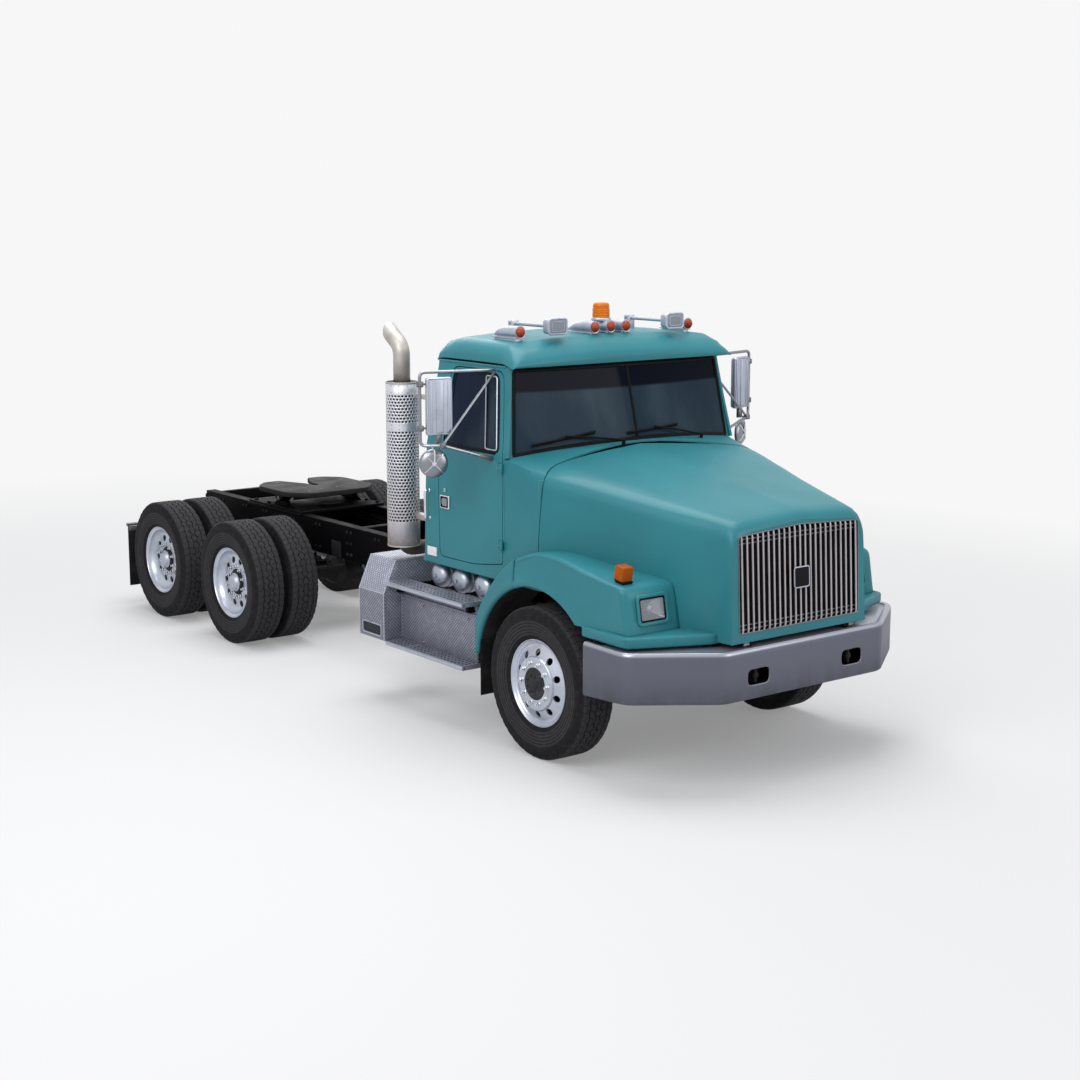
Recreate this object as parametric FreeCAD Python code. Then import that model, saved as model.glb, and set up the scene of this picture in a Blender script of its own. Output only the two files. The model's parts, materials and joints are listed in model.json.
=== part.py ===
"""Day-cab tractor unit of a semi truck, 6x4, built as separate sub-parts.

Millimetres. Stations (y) run rearward from the front axle, x is positive on the
truck's left side, z is the height above the floor. export() moves everything so
that the origin lies on the floor at the middle of the whole truck.
"""
import FreeCAD
import Part
import math
import os

V = FreeCAD.Vector

# ---- driving dimensions ----
WHEELBASE = 4922            # front axle to the middle of the tandem
TANDEM_SPREAD = 1312        # between the two drive axles
BUMPER_FACE = -1375         # station of the bumper's front face
TAIL_OVERHANG = 1328        # tandem middle to the rearmost edge
CAB_HALF = 1055             # cab half width at the belt line
RUNNING_GAP = 8             # seams between panels that part
WALL = 45                   # cab walls and doors, skin and lining together
SHELL = 12                  # moulded hood and fender shells

TYRE_RADIUS = 525
TYRE_WIDTH = 280
RIM_RADIUS = 302            # rim flange
RIM_WIDTH = 224
KINGPIN_HALF = 900          # to the steering axis
FRONT_TRACK_HALF = KINGPIN_HALF + 135   # to the middle of the front tyre
DUAL_MIDDLE = 905           # to the middle between twin tyres
DUAL_SPACING = 330
HUB_HOLE = 110              # wheel disc's centre hole radius
HAND_HOLES = 10
AXLE_Z = TYRE_RADIUS

RAIL_HALF = 430             # to the outer face of a frame rail
RAIL_BOTTOM = 740
RAIL_TOP = 1030
RAIL_FLANGE = 90
RAIL_WALL = 10
RAIL_FRONT = -1240
RAIL_REAR = WHEELBASE + 1178

FLOOR_Z = 1120              # underside of the cab
BELT_Z = 2000
GUTTER_Z = 2600             # top of the cab sides, where the roof sits
CAB_REAR = 1530             # rear wall at the floor
REAR_LEAN = 95              # how far the rear wall leans forward at the gutter
FIREWALL = 120
HOOD_SEAM = FIREWALL - RUNNING_GAP
HOOD_TOP_SEAM = 290         # the hood's rear edge on top, ahead of the glass
HOOD_WING = CAB_HALF - 195  # half width of that rearward tongue

HOOD_PIVOT_Y = -1310
HOOD_PIVOT_Z = 945
HOOD_HINGE_X = RAIL_HALF + 25   # the frame's half of the hood hinge ends here
HINGE_BARREL = 10
HINGE_PIN = 5
NOSE_HALF = 600             # hood half width at the grille
FENDER_HALF = CAB_HALF + 100
ARCH_RADIUS = 650
ARCH_Y = 30

DOOR_HINGE_X = CAB_HALF + 13
DOOR_HINGE_Y = 510
DOOR_FRONT = 516
DOOR_REAR = 1290
DOOR_BOTTOM = 1200
SEAM = 6                    # around a door

STACK_X = -(CAB_HALF - 55)
STACK_Y = 1835
STACK_RADIUS = 64
MUFFLER_RADIUS = 98
SHIELD_RADIUS = 122
STACK_MITRE_Z = 2673        # where the tip leans back
STACK_REACH = 155           # from the stack's axis to its cut-off mouth

TIE_ARM = 190               # steering arm, kingpin to ball
TIE_ROD_Z = 372

PLATE_PIVOT_Y = WHEELBASE - 152
PLATE_PIVOT_Z = 1120
PLATE_TOP = 1200
PLATE_THICK = 45
KINGPIN_BORE = 25.5

REAR_STATIONS = (WHEELBASE - TANDEM_SPREAD / 2, WHEELBASE + TANDEM_SPREAD / 2)
TAIL = WHEELBASE + TAIL_OVERHANG
ORIGIN_SHIFT = -(BUMPER_FACE + TAIL) / 2


# ---- shape helpers ----
def box(x0, x1, y0, y1, z0, z1):
    return Part.makeBox(x1 - x0, y1 - y0, z1 - z0, V(x0, y0, z0))


def rod(start, end, radius):
    axis = V(*end) - V(*start)
    return Part.makeCylinder(radius, axis.Length, V(*start), axis)


def polygon(points):
    return Part.makePolygon([V(*p) for p in points] + [V(*points[0])])


def prism(points, direction):
    return Part.Face(polygon(points)).extrude(V(*direction))


def side_prism(profile, x0, x1):
    """Profile of (y, z) drawn out across the truck."""
    return prism([(x0, y, z) for y, z in profile], (x1 - x0, 0, 0))


def front_prism(profile, y0, y1):
    """Profile of (x, z) drawn out along the truck."""
    return prism([(x, y0, z) for x, z in profile], (0, y1 - y0, 0))


def plan_prism(profile, z0, z1):
    """Profile of (x, y) drawn out upward."""
    return prism([(x, y, z0) for x, y in profile], (0, 0, z1 - z0))


def loft(sections):
    return Part.makeLoft([polygon(s) for s in sections], True, True)


def fuse(*shapes):
    whole = shapes[0]
    for shape in shapes[1:]:
        whole = whole.fuse(shape)
    return whole.removeSplitter()


def cut(shape, *tools):
    for tool in tools:
        shape = shape.cut(tool)
    return shape


def mirrored(shape):
    return shape.mirror(V(0, 0, 0), V(1, 0, 0))


def both(shape):
    """The left-side shape and its mirror image, as solids that do not touch."""
    return Part.makeCompound([shape, mirrored(shape)])


def halves(half):
    """Both sides' corners of a symmetrical outline, from the left side's, bottom to top."""
    return half + [(-a, b) for a, b in reversed(half) if a > 0]


def turned(profile, x, y, z):
    """Solid of revolution about a wheel's axis, from (x, radius) corners."""
    face = Part.Face(polygon([(a, r, 0) for a, r in profile]))
    solid = face.revolve(V(0, 0, 0), V(1, 0, 0), 360)
    solid.translate(V(x, y, z))
    return solid


# ---- frame ----
def frame_rails():
    outer, web, lip = RAIL_HALF, RAIL_HALF - RAIL_WALL, RAIL_HALF - RAIL_FLANGE
    channel = [
        (outer, RAIL_BOTTOM), (outer, RAIL_TOP), (lip, RAIL_TOP), (lip, RAIL_TOP - RAIL_WALL),
        (web, RAIL_TOP - RAIL_WALL), (web, RAIL_BOTTOM + RAIL_WALL),
        (lip, RAIL_BOTTOM + RAIL_WALL), (lip, RAIL_BOTTOM),
    ]
    rail = front_prism(channel, RAIL_FRONT, RAIL_REAR)
    horn = box(outer - 30, outer, BUMPER_FACE + SHELL, RAIL_FRONT, RAIL_BOTTOM + 65, RAIL_BOTTOM + 165)
    arm = box(outer, HOOD_HINGE_X, HOOD_PIVOT_Y, RAIL_FRONT + 60, HOOD_PIVOT_Z - 30, HOOD_PIVOT_Z + 8)
    axis = [(x, HOOD_PIVOT_Y, HOOD_PIVOT_Z) for x in (outer, HOOD_HINGE_X)]
    bored = cut(fuse(rail, horn, arm, rod(*axis, HINGE_BARREL)), rod(*axis, HINGE_PIN + 0.3))
    return both(bored)


def crossmembers():
    web = RAIL_HALF - RAIL_WALL
    pieces = []
    for station, depth in (
        (-1160, 60), (1150, 80), (2500, 80), (3500, 80),
        (WHEELBASE, 120), (RAIL_REAR - 60, 60),
    ):
        pieces.append(box(-web, web, station, station + depth, RAIL_BOTTOM + 20, RAIL_TOP - 20))
    return Part.makeCompound(pieces)


def bumper_outline(inset):
    corners = [(CAB_HALF + 165 - inset, -580), (CAB_HALF + 180 - inset, -998 + inset * 0.7),
               (714 - inset * 0.35, BUMPER_FACE + inset)]
    return corners + [(-x, y) for x, y in reversed(corners)]


BUMPER_BOTTOM = 606
BUMPER_TOP = 929
TOW_HALF = 427              # tow holes, from the middle
TOW_Z = 746
TOW_WIDE = 85               # half width and half height of a hole
TOW_HIGH = 50
LIP = 45                    # depth of the rolled edges


def front_bumper():
    """Wrap-round bumper with rolled edges and two tow holes, as plates that meet edge to edge."""
    outer, inner, lip = (bumper_outline(inset) for inset in (0, SHELL, LIP))
    edges = ((BUMPER_BOTTOM, BUMPER_BOTTOM + SHELL), (BUMPER_TOP - SHELL, BUMPER_TOP))
    plates = []
    for k in range(len(outer) - 1):
        front = k == 2
        if not front:
            run = [outer[k], outer[k + 1], inner[k + 1], inner[k]]
            plates.append(plan_prism(run, BUMPER_BOTTOM, BUMPER_TOP))
        for low, high in edges:
            plates.append(plan_prism([inner[k], inner[k + 1], lip[k + 1], lip[k]], low, high))
    bend_out, bend_in = outer[2][0], inner[2][0]
    near, far = TOW_HALF - TOW_WIDE, TOW_HALF + TOW_WIDE
    back = BUMPER_FACE + SHELL
    for side in (-1, 1):
        end = [(side * far, BUMPER_FACE), (side * bend_out, BUMPER_FACE),
               (side * bend_in, back), (side * far, back)]
        plates.append(plan_prism(end, BUMPER_BOTTOM, BUMPER_TOP))
        span = sorted((side * near, side * far))
        plates.append(box(*span, BUMPER_FACE, back, BUMPER_BOTTOM, TOW_Z - TOW_HIGH))
        plates.append(box(*span, BUMPER_FACE, back, TOW_Z + TOW_HIGH, BUMPER_TOP))
    plates.append(box(-near, near, BUMPER_FACE, back, BUMPER_BOTTOM, BUMPER_TOP))
    return Part.makeCompound(plates)


# ---- drive line ----
ENGINE_HALF = RAIL_HALF - RAIL_FLANGE - 15
ENGINE_FRONT = -980
ENGINE_TOP = 1550
SHAFT_Z = 600
GEARBOX_REAR = 900


def engine_block():
    block = box(-ENGINE_HALF, ENGINE_HALF, ENGINE_FRONT, FIREWALL - 15, SHAFT_Z, ENGINE_TOP)
    web = RAIL_HALF - RAIL_WALL
    for y in (-850, -20):
        block = fuse(block, box(-web, web, y, y + 80, RAIL_BOTTOM + 100, RAIL_BOTTOM + 180))
    return block


def transmission():
    case = box(-180, 180, FIREWALL - 15, 620, 560, 1020)
    tail = box(-120, 120, 620, GEARBOX_REAR, 520, 860)
    mount = box(-RAIL_HALF + RAIL_WALL, RAIL_HALF - RAIL_WALL, 500, 560, 800, 860)
    return fuse(case, tail, mount)


RADIATOR_HALF = 480


def radiator():
    return box(-RADIATOR_HALF, RADIATOR_HALF, -1170, -1090, RAIL_TOP, 1600)


SPRING_HALF_WIDTH = 45
FRONT_SPRING_SEAT = 505
REAR_SPRING_SEAT = AXLE_Z + 90


def front_axle():
    top = FRONT_SPRING_SEAT - 15
    beam = front_prism(halves([
        (0, 380), (KINGPIN_HALF - 300, 380), (KINGPIN_HALF - 120, 455), (KINGPIN_HALF, 465),
        (KINGPIN_HALF, 555), (KINGPIN_HALF - 130, 555), (KINGPIN_HALF - 300, top), (0, top)]), -45, 45)
    for side in (-1, 1):
        x = side * KINGPIN_HALF
        beam = beam.fuse(rod((x, 0, 462), (x, 0, 558), 45))
        beam = beam.fuse(box(side * RAIL_HALF - 45, side * RAIL_HALF + 45, -60, 60, top, top + 15))
        beam = beam.cut(rod((x, 0, 400), (x, 0, 620), KINGPIN_RADIUS + 0.3))
    return beam


def spring(front, middle, rear, seat, thick):
    """A pack of leaves, bowed down to its seat, with hangers up to the frame rail."""
    eye = RAIL_BOTTOM - 25
    ends = [V(0, front, eye - thick), V(0, rear, eye - thick), V(0, rear, eye), V(0, front, eye)]
    low = Part.Arc(ends[0], V(0, middle, seat), ends[1]).toShape()
    high = Part.Arc(ends[2], V(0, middle, seat + thick), ends[3]).toShape()
    outline = Part.Wire([low, Part.makeLine(ends[1], ends[2]), high, Part.makeLine(ends[3], ends[0])])
    leaves = Part.Face(outline).extrude(V(2 * SPRING_HALF_WIDTH, 0, 0))
    leaves.translate(V(RAIL_HALF - SPRING_HALF_WIDTH, 0, 0))
    hangers = [box(RAIL_HALF - SPRING_HALF_WIDTH, RAIL_HALF + SPRING_HALF_WIDTH,
                   y - 25, y + 25, eye - thick, RAIL_BOTTOM) for y in (front, rear)]
    return fuse(leaves, *hangers)


def leaf_springs():
    first, second = REAR_STATIONS
    pieces = []
    for front, middle, rear, seat, thick in (
        (-780, 0, 760, FRONT_SPRING_SEAT, 55),
        (first - 520, first, WHEELBASE - 130, REAR_SPRING_SEAT, 45),
        (WHEELBASE + 190, second, RAIL_REAR - 60, REAR_SPRING_SEAT, 45),
    ):
        left = spring(front, middle, rear, seat, thick)
        pieces += [left, mirrored(left)]
    return Part.makeCompound(pieces)


BOWL_RADIUS = 200
NOSE = 330                  # pinion nose ahead of the axle


def drive_axle(station):
    reach = DUAL_MIDDLE - 20
    axle = fuse(rod((-reach, station, AXLE_Z), (reach, station, AXLE_Z), 60),
                rod((0, station - 130, AXLE_Z), (0, station + 110, AXLE_Z), BOWL_RADIUS),
                rod((0, station - NOSE, SHAFT_Z), (0, station, SHAFT_Z), 80),
                rod((0, station, SHAFT_Z), (0, station + 160, SHAFT_Z), 60))
    for x in (-RAIL_HALF, RAIL_HALF):
        axle = axle.fuse(box(x - SPRING_HALF_WIDTH, x + SPRING_HALF_WIDTH, station - 60, station + 60,
                             AXLE_Z, REAR_SPRING_SEAT))
    return axle


def drive_axles():
    return Part.makeCompound([drive_axle(y) for y in REAR_STATIONS])


def drive_line():
    """Transmission, propeller shaft with its centre bearing, and the shaft between the axles."""
    first, second = REAR_STATIONS
    front = rod((0, GEARBOX_REAR, SHAFT_Z), (0, first - NOSE, SHAFT_Z), 50)
    hanger = box(-60, 60, 2500, 2540, SHAFT_Z, RAIL_BOTTOM + 20)
    between = rod((0, first + 160, SHAFT_Z), (0, second - NOSE, SHAFT_Z), 50)
    return Part.makeCompound([fuse(transmission(), front, hanger), between])


# ---- wheels and steering ----
KINGPIN_RADIUS = 20
HUB_RADIUS = 90
SPINDLE_RADIUS = 34
DRUM_RADIUS = 212


def tyre_solid(x, y):
    half, tread = TYRE_WIDTH / 2, TYRE_WIDTH / 2 - 25
    seat = RIM_WIDTH / 2 - 15.9
    right = [(seat, RIM_RADIUS - 18), (seat, RIM_RADIUS + 1), (seat + 14, RIM_RADIUS + 12),
             (half, RIM_RADIUS + 118), (tread + 8, TYRE_RADIUS - 30), (tread, TYRE_RADIUS)]
    profile = right + [(-a, r) for a, r in reversed(right)]
    return turned(profile, x, y, AXLE_Z)


def rim_profile(disc):
    """Rim barrel with a disc at the given distance from the rim's middle."""
    half, well = RIM_WIDTH / 2, 262
    return [
        (-half, RIM_RADIUS - 1), (-half, 276), (-half + 34, 256), (disc - 12, 256), (disc - 12, HUB_HOLE),
        (disc, HUB_HOLE), (disc, 256), (half - 34, 256), (half, 276), (half, RIM_RADIUS - 1),
        (half - 12, RIM_RADIUS - 1), (half - 16, 282), (half - 30, well + 4), (-half + 30, well + 4),
        (-half + 16, 282), (-half + 12, RIM_RADIUS - 1),
    ]


def with_hand_holes(wheel, x, y):
    for k in range(HAND_HOLES):
        angle = 2 * math.pi * k / HAND_HOLES
        at = (y + 198 * math.cos(angle), AXLE_Z + 198 * math.sin(angle))
        wheel = wheel.cut(rod((x - 30, *at), (x + 30, *at), 29))
    return wheel


def front_wheel(side):
    x = side * FRONT_TRACK_HALF
    disc = 60
    rim = rim_profile(disc)
    bore = SPINDLE_RADIUS + 0.3
    hub = [(-50, bore), (-50, HUB_RADIUS), (disc - 12, HUB_RADIUS), (disc - 12, HUB_HOLE),
           (disc + 5, HUB_HOLE), (disc + 65, 70), (disc + 90, 60), (disc + 90, 0), (disc + 70, 0),
           (disc + 70, bore)]
    drum = [(-70, DRUM_RADIUS), (-70, DRUM_RADIUS - 15), (disc - 26, DRUM_RADIUS - 15),
            (disc - 26, HUB_RADIUS), (disc - 12, HUB_RADIUS), (disc - 12, DRUM_RADIUS)]
    parts = [turned([(side * a, r) for a, r in profile], x, 0, AXLE_Z) for profile in (rim, hub, drum)]
    return with_hand_holes(fuse(*parts), x + side * disc, 0)


def rear_wheel(side, station):
    outer, inner = DUAL_MIDDLE + DUAL_SPACING / 2, DUAL_MIDDLE - DUAL_SPACING / 2
    offset = DUAL_SPACING / 2
    wheel = []
    for middle, disc in ((outer, -offset + 12), (inner, offset)):
        wheel.append(turned([(side * a, r) for a, r in dual_rim(disc)], side * middle, station, AXLE_Z))
    hub = [(-40, 60.3), (-40, HUB_HOLE - 2), (110, HUB_HOLE - 2), (175, 75), (185, 60),
           (185, 0), (-12, 0), (-12, 60.3)]
    drum = [(-200, DRUM_RADIUS), (-200, DRUM_RADIUS - 15), (-26, DRUM_RADIUS - 15), (-26, HUB_RADIUS),
            (-12, HUB_RADIUS), (-12, DRUM_RADIUS)]
    for profile in (hub, drum):
        wheel.append(turned([(side * a, r) for a, r in profile], side * DUAL_MIDDLE, station, AXLE_Z))
    flange = turned([(side * a, r) for a, r in ((0, 70), (0, 150), (12, 150), (12, 70))],
                    side * DUAL_MIDDLE, station, AXLE_Z)
    return with_hand_holes(fuse(*wheel, flange), side * DUAL_MIDDLE, station)


def dual_rim(disc):
    """Rim of a twin wheel: its cone and disc lie beyond the barrel's edge."""
    half, cone = RIM_WIDTH / 2, 228
    sign = 1 if disc > 0 else -1
    reach = abs(disc)
    return [(sign * a, r) for a, r in (
        (-half, RIM_RADIUS - 1), (-half, 276), (-half + 34, 254), (60, 254), (reach - 12, cone),
        (reach - 12, HUB_HOLE), (reach, HUB_HOLE), (reach, cone + 8), (half - 22, 260), (half, 276),
        (half, RIM_RADIUS - 1), (half - 12, RIM_RADIUS - 1), (half - 16, 282), (half - 30, 266),
        (-half + 30, 266), (-half + 16, 282), (-half + 12, RIM_RADIUS - 1))]


def knuckle(side):
    x = side * KINGPIN_HALF
    plate = box(*sorted((x + side * 50, x + side * 78)), -45, 45, 396, 622)
    ears = [box(*sorted((x - side * 38, x + side * 50)), -38, 38, low, high)
            for low, high in ((396, 458), (562, 622))]
    pin = rod((x, 0, 396), (x, 0, 622), KINGPIN_RADIUS)
    spindle = rod((x + side * 60, 0, AXLE_Z), (x + side * 225, 0, AXLE_Z), SPINDLE_RADIUS)
    arm = box(*sorted((x - side * 25, x + side * 25)), 30, TIE_ARM + 25, 396, 426)
    hole = rod((x, TIE_ARM, 390), (x, TIE_ARM, 430), 12.5)
    return cut(fuse(plate, *ears, pin, spindle, arm), hole)


def tie_rod():
    z = TIE_ROD_Z
    bar = rod((-KINGPIN_HALF, TIE_ARM, z), (KINGPIN_HALF, TIE_ARM, z), 19)
    ends = []
    for x in (-KINGPIN_HALF, KINGPIN_HALF):
        ends.append(rod((x, TIE_ARM, z - 22), (x, TIE_ARM, z + 20), 26))
        ends.append(rod((x, TIE_ARM, z), (x, TIE_ARM, 426), 12))
    return fuse(bar, *ends)


# ---- hood, fenders and lamps: one body that tilts forward ----
# hood sections: station of the top, forward lean at the bottom, then half widths and heights
HOOD_SECTIONS = (
    # station, lean, half_low, half_mid, z_mid, half_top, z_shoulder, z_centre
    (-1290, 30, NOSE_HALF + 10, NOSE_HALF, 1500, NOSE_HALF - 30, 1650, 1700),
    (-1260, 26, NOSE_HALF + 12, NOSE_HALF + 4, 1520, NOSE_HALF - 26, 1705, 1745),
    (-1180, 10, NOSE_HALF + 20, NOSE_HALF + 12, 1560, NOSE_HALF - 20, 1738, 1778),
    (HOOD_SEAM, 0, CAB_HALF, CAB_HALF, 1500, CAB_HALF - 165, 1955, 2005),
    (HOOD_TOP_SEAM + 60, 0, CAB_HALF + 8, CAB_HALF + 8, 1500, CAB_HALF - 150, 1985, 2050),
)
HOOD_BOTTOM = 960


def hood_solid(inset, bottom):
    """The hood's outline as a closed body; inset shrinks it to the inner face."""
    sections = []
    for station, lean, low, mid, z_mid, top, z_shoulder, z_centre in HOOD_SECTIONS:
        half = [(low - inset, bottom), (mid - inset, z_mid),
                (mid - inset - (mid - top) * 0.35, z_shoulder - inset - 85),
                (top - inset, z_shoulder - inset), (0, z_centre - inset)]
        corners = halves(half)
        fall = z_shoulder - HOOD_BOTTOM
        sections.append([(x, station - lean * (z_shoulder - z) / fall, z) for x, z in corners])
    return loft(sections)


GRILLE_HALF = 546
GRILLE_BOTTOM = 1021
GRILLE_TOP = 1645
TONGUE_Z = 1880             # the tongue starts at this height


def tongue_outline(gap, far):
    """Rear edge of the hood in plan, closed off at the station far; gap grows the tongue."""
    wing, seam = HOOD_WING + gap, HOOD_SEAM + gap
    half = [(1300, far), (1300, seam), (wing + 60, seam), (wing, seam + 60), (wing, HOOD_TOP_SEAM + gap)]
    return half + [(-x, y) for x, y in reversed(half)]


def hood_seam_cutter():
    """What lies behind the hood's rear edge: the edge steps back in a tongue on top."""
    low = box(-1300, 1300, HOOD_SEAM, 700, 800, TONGUE_Z)
    return fuse(low, plan_prism(tongue_outline(0, 700), TONGUE_Z, 2200))


def hood():
    outer = hood_solid(0, HOOD_BOTTOM)
    inner = hood_solid(SHELL, HOOD_BOTTOM - 20)
    nose = box(-800, 800, -1400, -1275, 900, 1760)
    inner = inner.cut(nose)
    shell = cut(outer, inner, hood_seam_cutter())
    arch = side_prism([(-640, 900), (-640, 960), (-500, 1130), (400, 1130), (400, 900)], -1300, 1300)
    opening = box(-GRILLE_HALF - 3, GRILLE_HALF + 3, -1400, -1200, GRILLE_BOTTOM - 3, GRILLE_TOP + 3)
    shell = cut(shell, arch, opening)
    for side in (-1, 1):
        near, far = HOOD_HINGE_X + 0.4, HOOD_HINGE_X + 50
        low = HOOD_PIVOT_Z
        barrel = rod((side * near, HOOD_PIVOT_Y, low), (side * far, HOOD_PIVOT_Y, low), HINGE_BARREL)
        pin = rod((side * (RAIL_HALF - 5), HOOD_PIVOT_Y, low), (side * far, HOOD_PIVOT_Y, low), HINGE_PIN)
        span = sorted((side * near, side * far))
        lug = box(*span, HOOD_PIVOT_Y - 8, HOOD_PIVOT_Y + 8, low, HOOD_BOTTOM + 4)
        shell = fuse(shell, barrel, pin, lug)
    return shell


def grille():
    bottom, top = -1318, -1284      # stations of the leaning slats
    bars = []
    for k in range(-12, 13):
        x = k * 45
        bars.append(rod((x, bottom, GRILLE_BOTTOM), (x, top, GRILLE_TOP), 9))
    for z in (GRILLE_BOTTOM + 8, 1110, 1560, GRILLE_TOP - 8):
        y = bottom + (top - bottom) * (z - GRILLE_BOTTOM) / (GRILLE_TOP - GRILLE_BOTTOM)
        bars.append(box(-GRILLE_HALF - 2.5, GRILLE_HALF + 2.5, y, y + 22, z - 8, z + 8))
    return fuse(*bars)


FENDER_TOP = ((-883, 1030), (-883, 1290), (-860, 1318), (-490, 1365), (-170, 1430), (255, 1350))
LEDGE_BOTTOM = 945
LEDGE_TOP = 1020


def arch_cylinder(radius):
    return rod((-1400, ARCH_Y, AXLE_Z), (1400, ARCH_Y, AXLE_Z), radius)


def fender():
    """Left fender: a shell open to the wheel, with the headlamp pod and its ledge."""
    rear = FENDER_TOP[-1][0]
    outline = list(FENDER_TOP) + [(rear, LEDGE_BOTTOM), (-883, LEDGE_BOTTOM)]
    inside = [(y + SHELL if y < -800 else y, z - SHELL) for y, z in FENDER_TOP[1:]]
    inside[-1] = (rear + 10, inside[-1][1])
    inside += [(rear + 10, LEDGE_BOTTOM - 50), (-883 + SHELL, LEDGE_BOTTOM - 50)]
    shell = cut(side_prism(outline, 500, FENDER_HALF), side_prism(inside, 400, FENDER_HALF - SHELL))
    ledge = plan_prism([(NOSE_HALF - 60, -1195), (652, -1192), (FENDER_HALF + 25, -955),
                        (FENDER_HALF + 32, -900), (FENDER_HALF + 20, -500), (NOSE_HALF - 60, -500)],
                       LEDGE_BOTTOM, LEDGE_TOP)
    whole = fuse(shell, ledge)
    cab_side = box(-1300, CAB_HALF + RUNNING_GAP, HOOD_SEAM, 400, 900, 2100)
    return cut(whole, arch_cylinder(ARCH_RADIUS), hood_solid(0, HOOD_BOTTOM), hood_seam_plug(), cab_side)


def hood_seam_plug():
    """Space under the hood's front wall that a fender must not enter."""
    return box(-NOSE_HALF - 5, NOSE_HALF + 5, -1400, -600, 900, 1100)


def fenders():
    return both(fender())


def front_lamps():
    """Headlamp in its bezel, and the turn signal on top of the fender."""
    inner, outer = FENDER_HALF - 405, FENDER_HALF - 110
    bezel = box(inner, outer, -913, -883, 1032, 1285)
    bezel = cut(bezel, box(inner + 36, outer - 36, -930, -893, 1078, 1240))
    block = cut(box(FENDER_HALF - 155, FENDER_HALF - 45, -825, -715, 1300, 1450),
                side_prism(list(FENDER_TOP) + [(255, 900), (-883, 900)], 500, FENDER_HALF))
    return both(Part.makeCompound([bezel, block]))


QUARTER_TOP = ((263, 1348), (445, 1214), (650, 985), (733, 797), (712, 600))


def quarter_fenders():
    """The rear part of each wheel arch, fixed under the cab."""
    outline = list(QUARTER_TOP) + [(263, 600)]
    inside = [(y - SHELL, z - SHELL) for y, z in QUARTER_TOP]
    inside[-1] = (inside[-1][0], 560)
    inside[0] = (200, inside[0][1])
    inside += [(200, 560)]
    shell = cut(side_prism(outline, 760, FENDER_HALF), side_prism(inside, 700, FENDER_HALF - SHELL))
    cab = box(-1300, CAB_HALF, 0, 1000, FLOOR_Z, 2000)
    return both(cut(shell, arch_cylinder(ARCH_RADIUS), cab))


# ---- cab ----
ROOF_INSET = 92             # how far the cab side leans in between belt and gutter
GLASS = 10
SCREEN = (                  # windscreen: half width, station and height of each corner
    (0, 322, 2062), (0, 461, GUTTER_Z - 8),
    (CAB_HALF - 58, 471, 1994), (CAB_HALF - 112, 561, GUTTER_Z - 8),
)


def cab_profile(inset, bottom, top=GUTTER_Z):
    """Half outline of the cab side, from the bottom up to the gutter."""
    lean = ROOF_INSET * (top - BELT_Z) / (GUTTER_Z - BELT_Z)
    return [(CAB_HALF - inset, bottom), (CAB_HALF - inset, BELT_Z), (CAB_HALF - inset - lean, top)]


def wall_band(thick, front, rear, bottom, top=GUTTER_Z):
    """Left cab side as a band of wall thickness, before openings are cut."""
    profile = cab_profile(0, bottom, top) + cab_profile(thick, bottom, top)[::-1]
    return front_prism(profile, front, rear)


def rear_plane(offset, bottom=FLOOR_Z - 100, top=3000):
    """Everything behind the leaning rear wall, moved forward by offset."""
    lean = REAR_LEAN * (top - FLOOR_Z) / (GUTTER_Z - FLOOR_Z)
    low = REAR_LEAN * (bottom - FLOOR_Z) / (GUTTER_Z - FLOOR_Z)
    return side_prism([(CAB_REAR - offset - low, bottom), (CAB_REAR - offset - lean, top),
                       (CAB_REAR + 900, top), (CAB_REAR + 900, bottom)], -1400, 1400)


def door_outline(gap):
    """Door in side view; gap grows it to the opening in the cab side."""
    return [(DOOR_FRONT + 14 - gap, DOOR_BOTTOM + 50 - gap), (DOOR_FRONT - gap, BELT_Z - 100),
            (DOOR_FRONT - gap, BELT_Z), (DOOR_FRONT + 100 - gap, GUTTER_Z - 30 + gap),
            (DOOR_REAR - 60 + gap, GUTTER_Z - 30 + gap), (DOOR_REAR + gap, BELT_Z - 250),
            (DOOR_REAR + gap, DOOR_BOTTOM - gap), (DOOR_REAR - 420, DOOR_BOTTOM - gap)]


def cab_side():
    """One side of the cab: front post, sill, rear post and the rail over the door."""
    side = wall_band(WALL, FIREWALL, CAB_REAR + 20, FLOOR_Z + WALL)
    low_y, low_z = SCREEN[2][1:]
    high_y, high_z = SCREEN[3][1:]
    front = side_prism([(0, 1948), (FIREWALL, 1948), (low_y, low_z), (high_y, high_z),
                        (high_y + 6, GUTTER_Z + 50), (0, GUTTER_Z + 50)], 0, 1400)
    side = cut(side, front, side_prism(door_outline(SEAM), 0, 1400), rear_plane(0))
    for z in HINGE_HEIGHTS:
        side = fuse(side, hinge_leaf(z - 40, z - 0.4, -1), hinge_leaf(z + 70.4, z + 110, -1))
    return side


def cab_sides():
    return both(cab_side())


def inside_limits(front, rear, bottom, top=GUTTER_Z):
    """The space between the two cab sides."""
    return front_prism(halves(cab_profile(WALL, bottom, top)), front, rear)


def cab_floor():
    floor = box(-CAB_HALF, CAB_HALF, FIREWALL, CAB_REAR + 20, FLOOR_Z, FLOOR_Z + WALL)
    floor = floor.cut(rear_plane(0))
    for x in (-RAIL_HALF + 45, RAIL_HALF - 45):
        for y in (300, 1380):
            floor = floor.fuse(box(x - 40, x + 40, y, y + 80, RAIL_TOP, FLOOR_Z))
    return floor


def rear_window_hole(margin):
    return box(-450 - margin, 450 + margin, 1200, 1700, 2050 - margin, 2430 + margin)


def cab_rear_wall():
    wall = inside_limits(CAB_REAR - 250, CAB_REAR + 20, FLOOR_Z + WALL)
    slab = rear_plane(WALL).cut(rear_plane(0))
    return wall.common(slab).cut(rear_window_hole(0))


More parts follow.
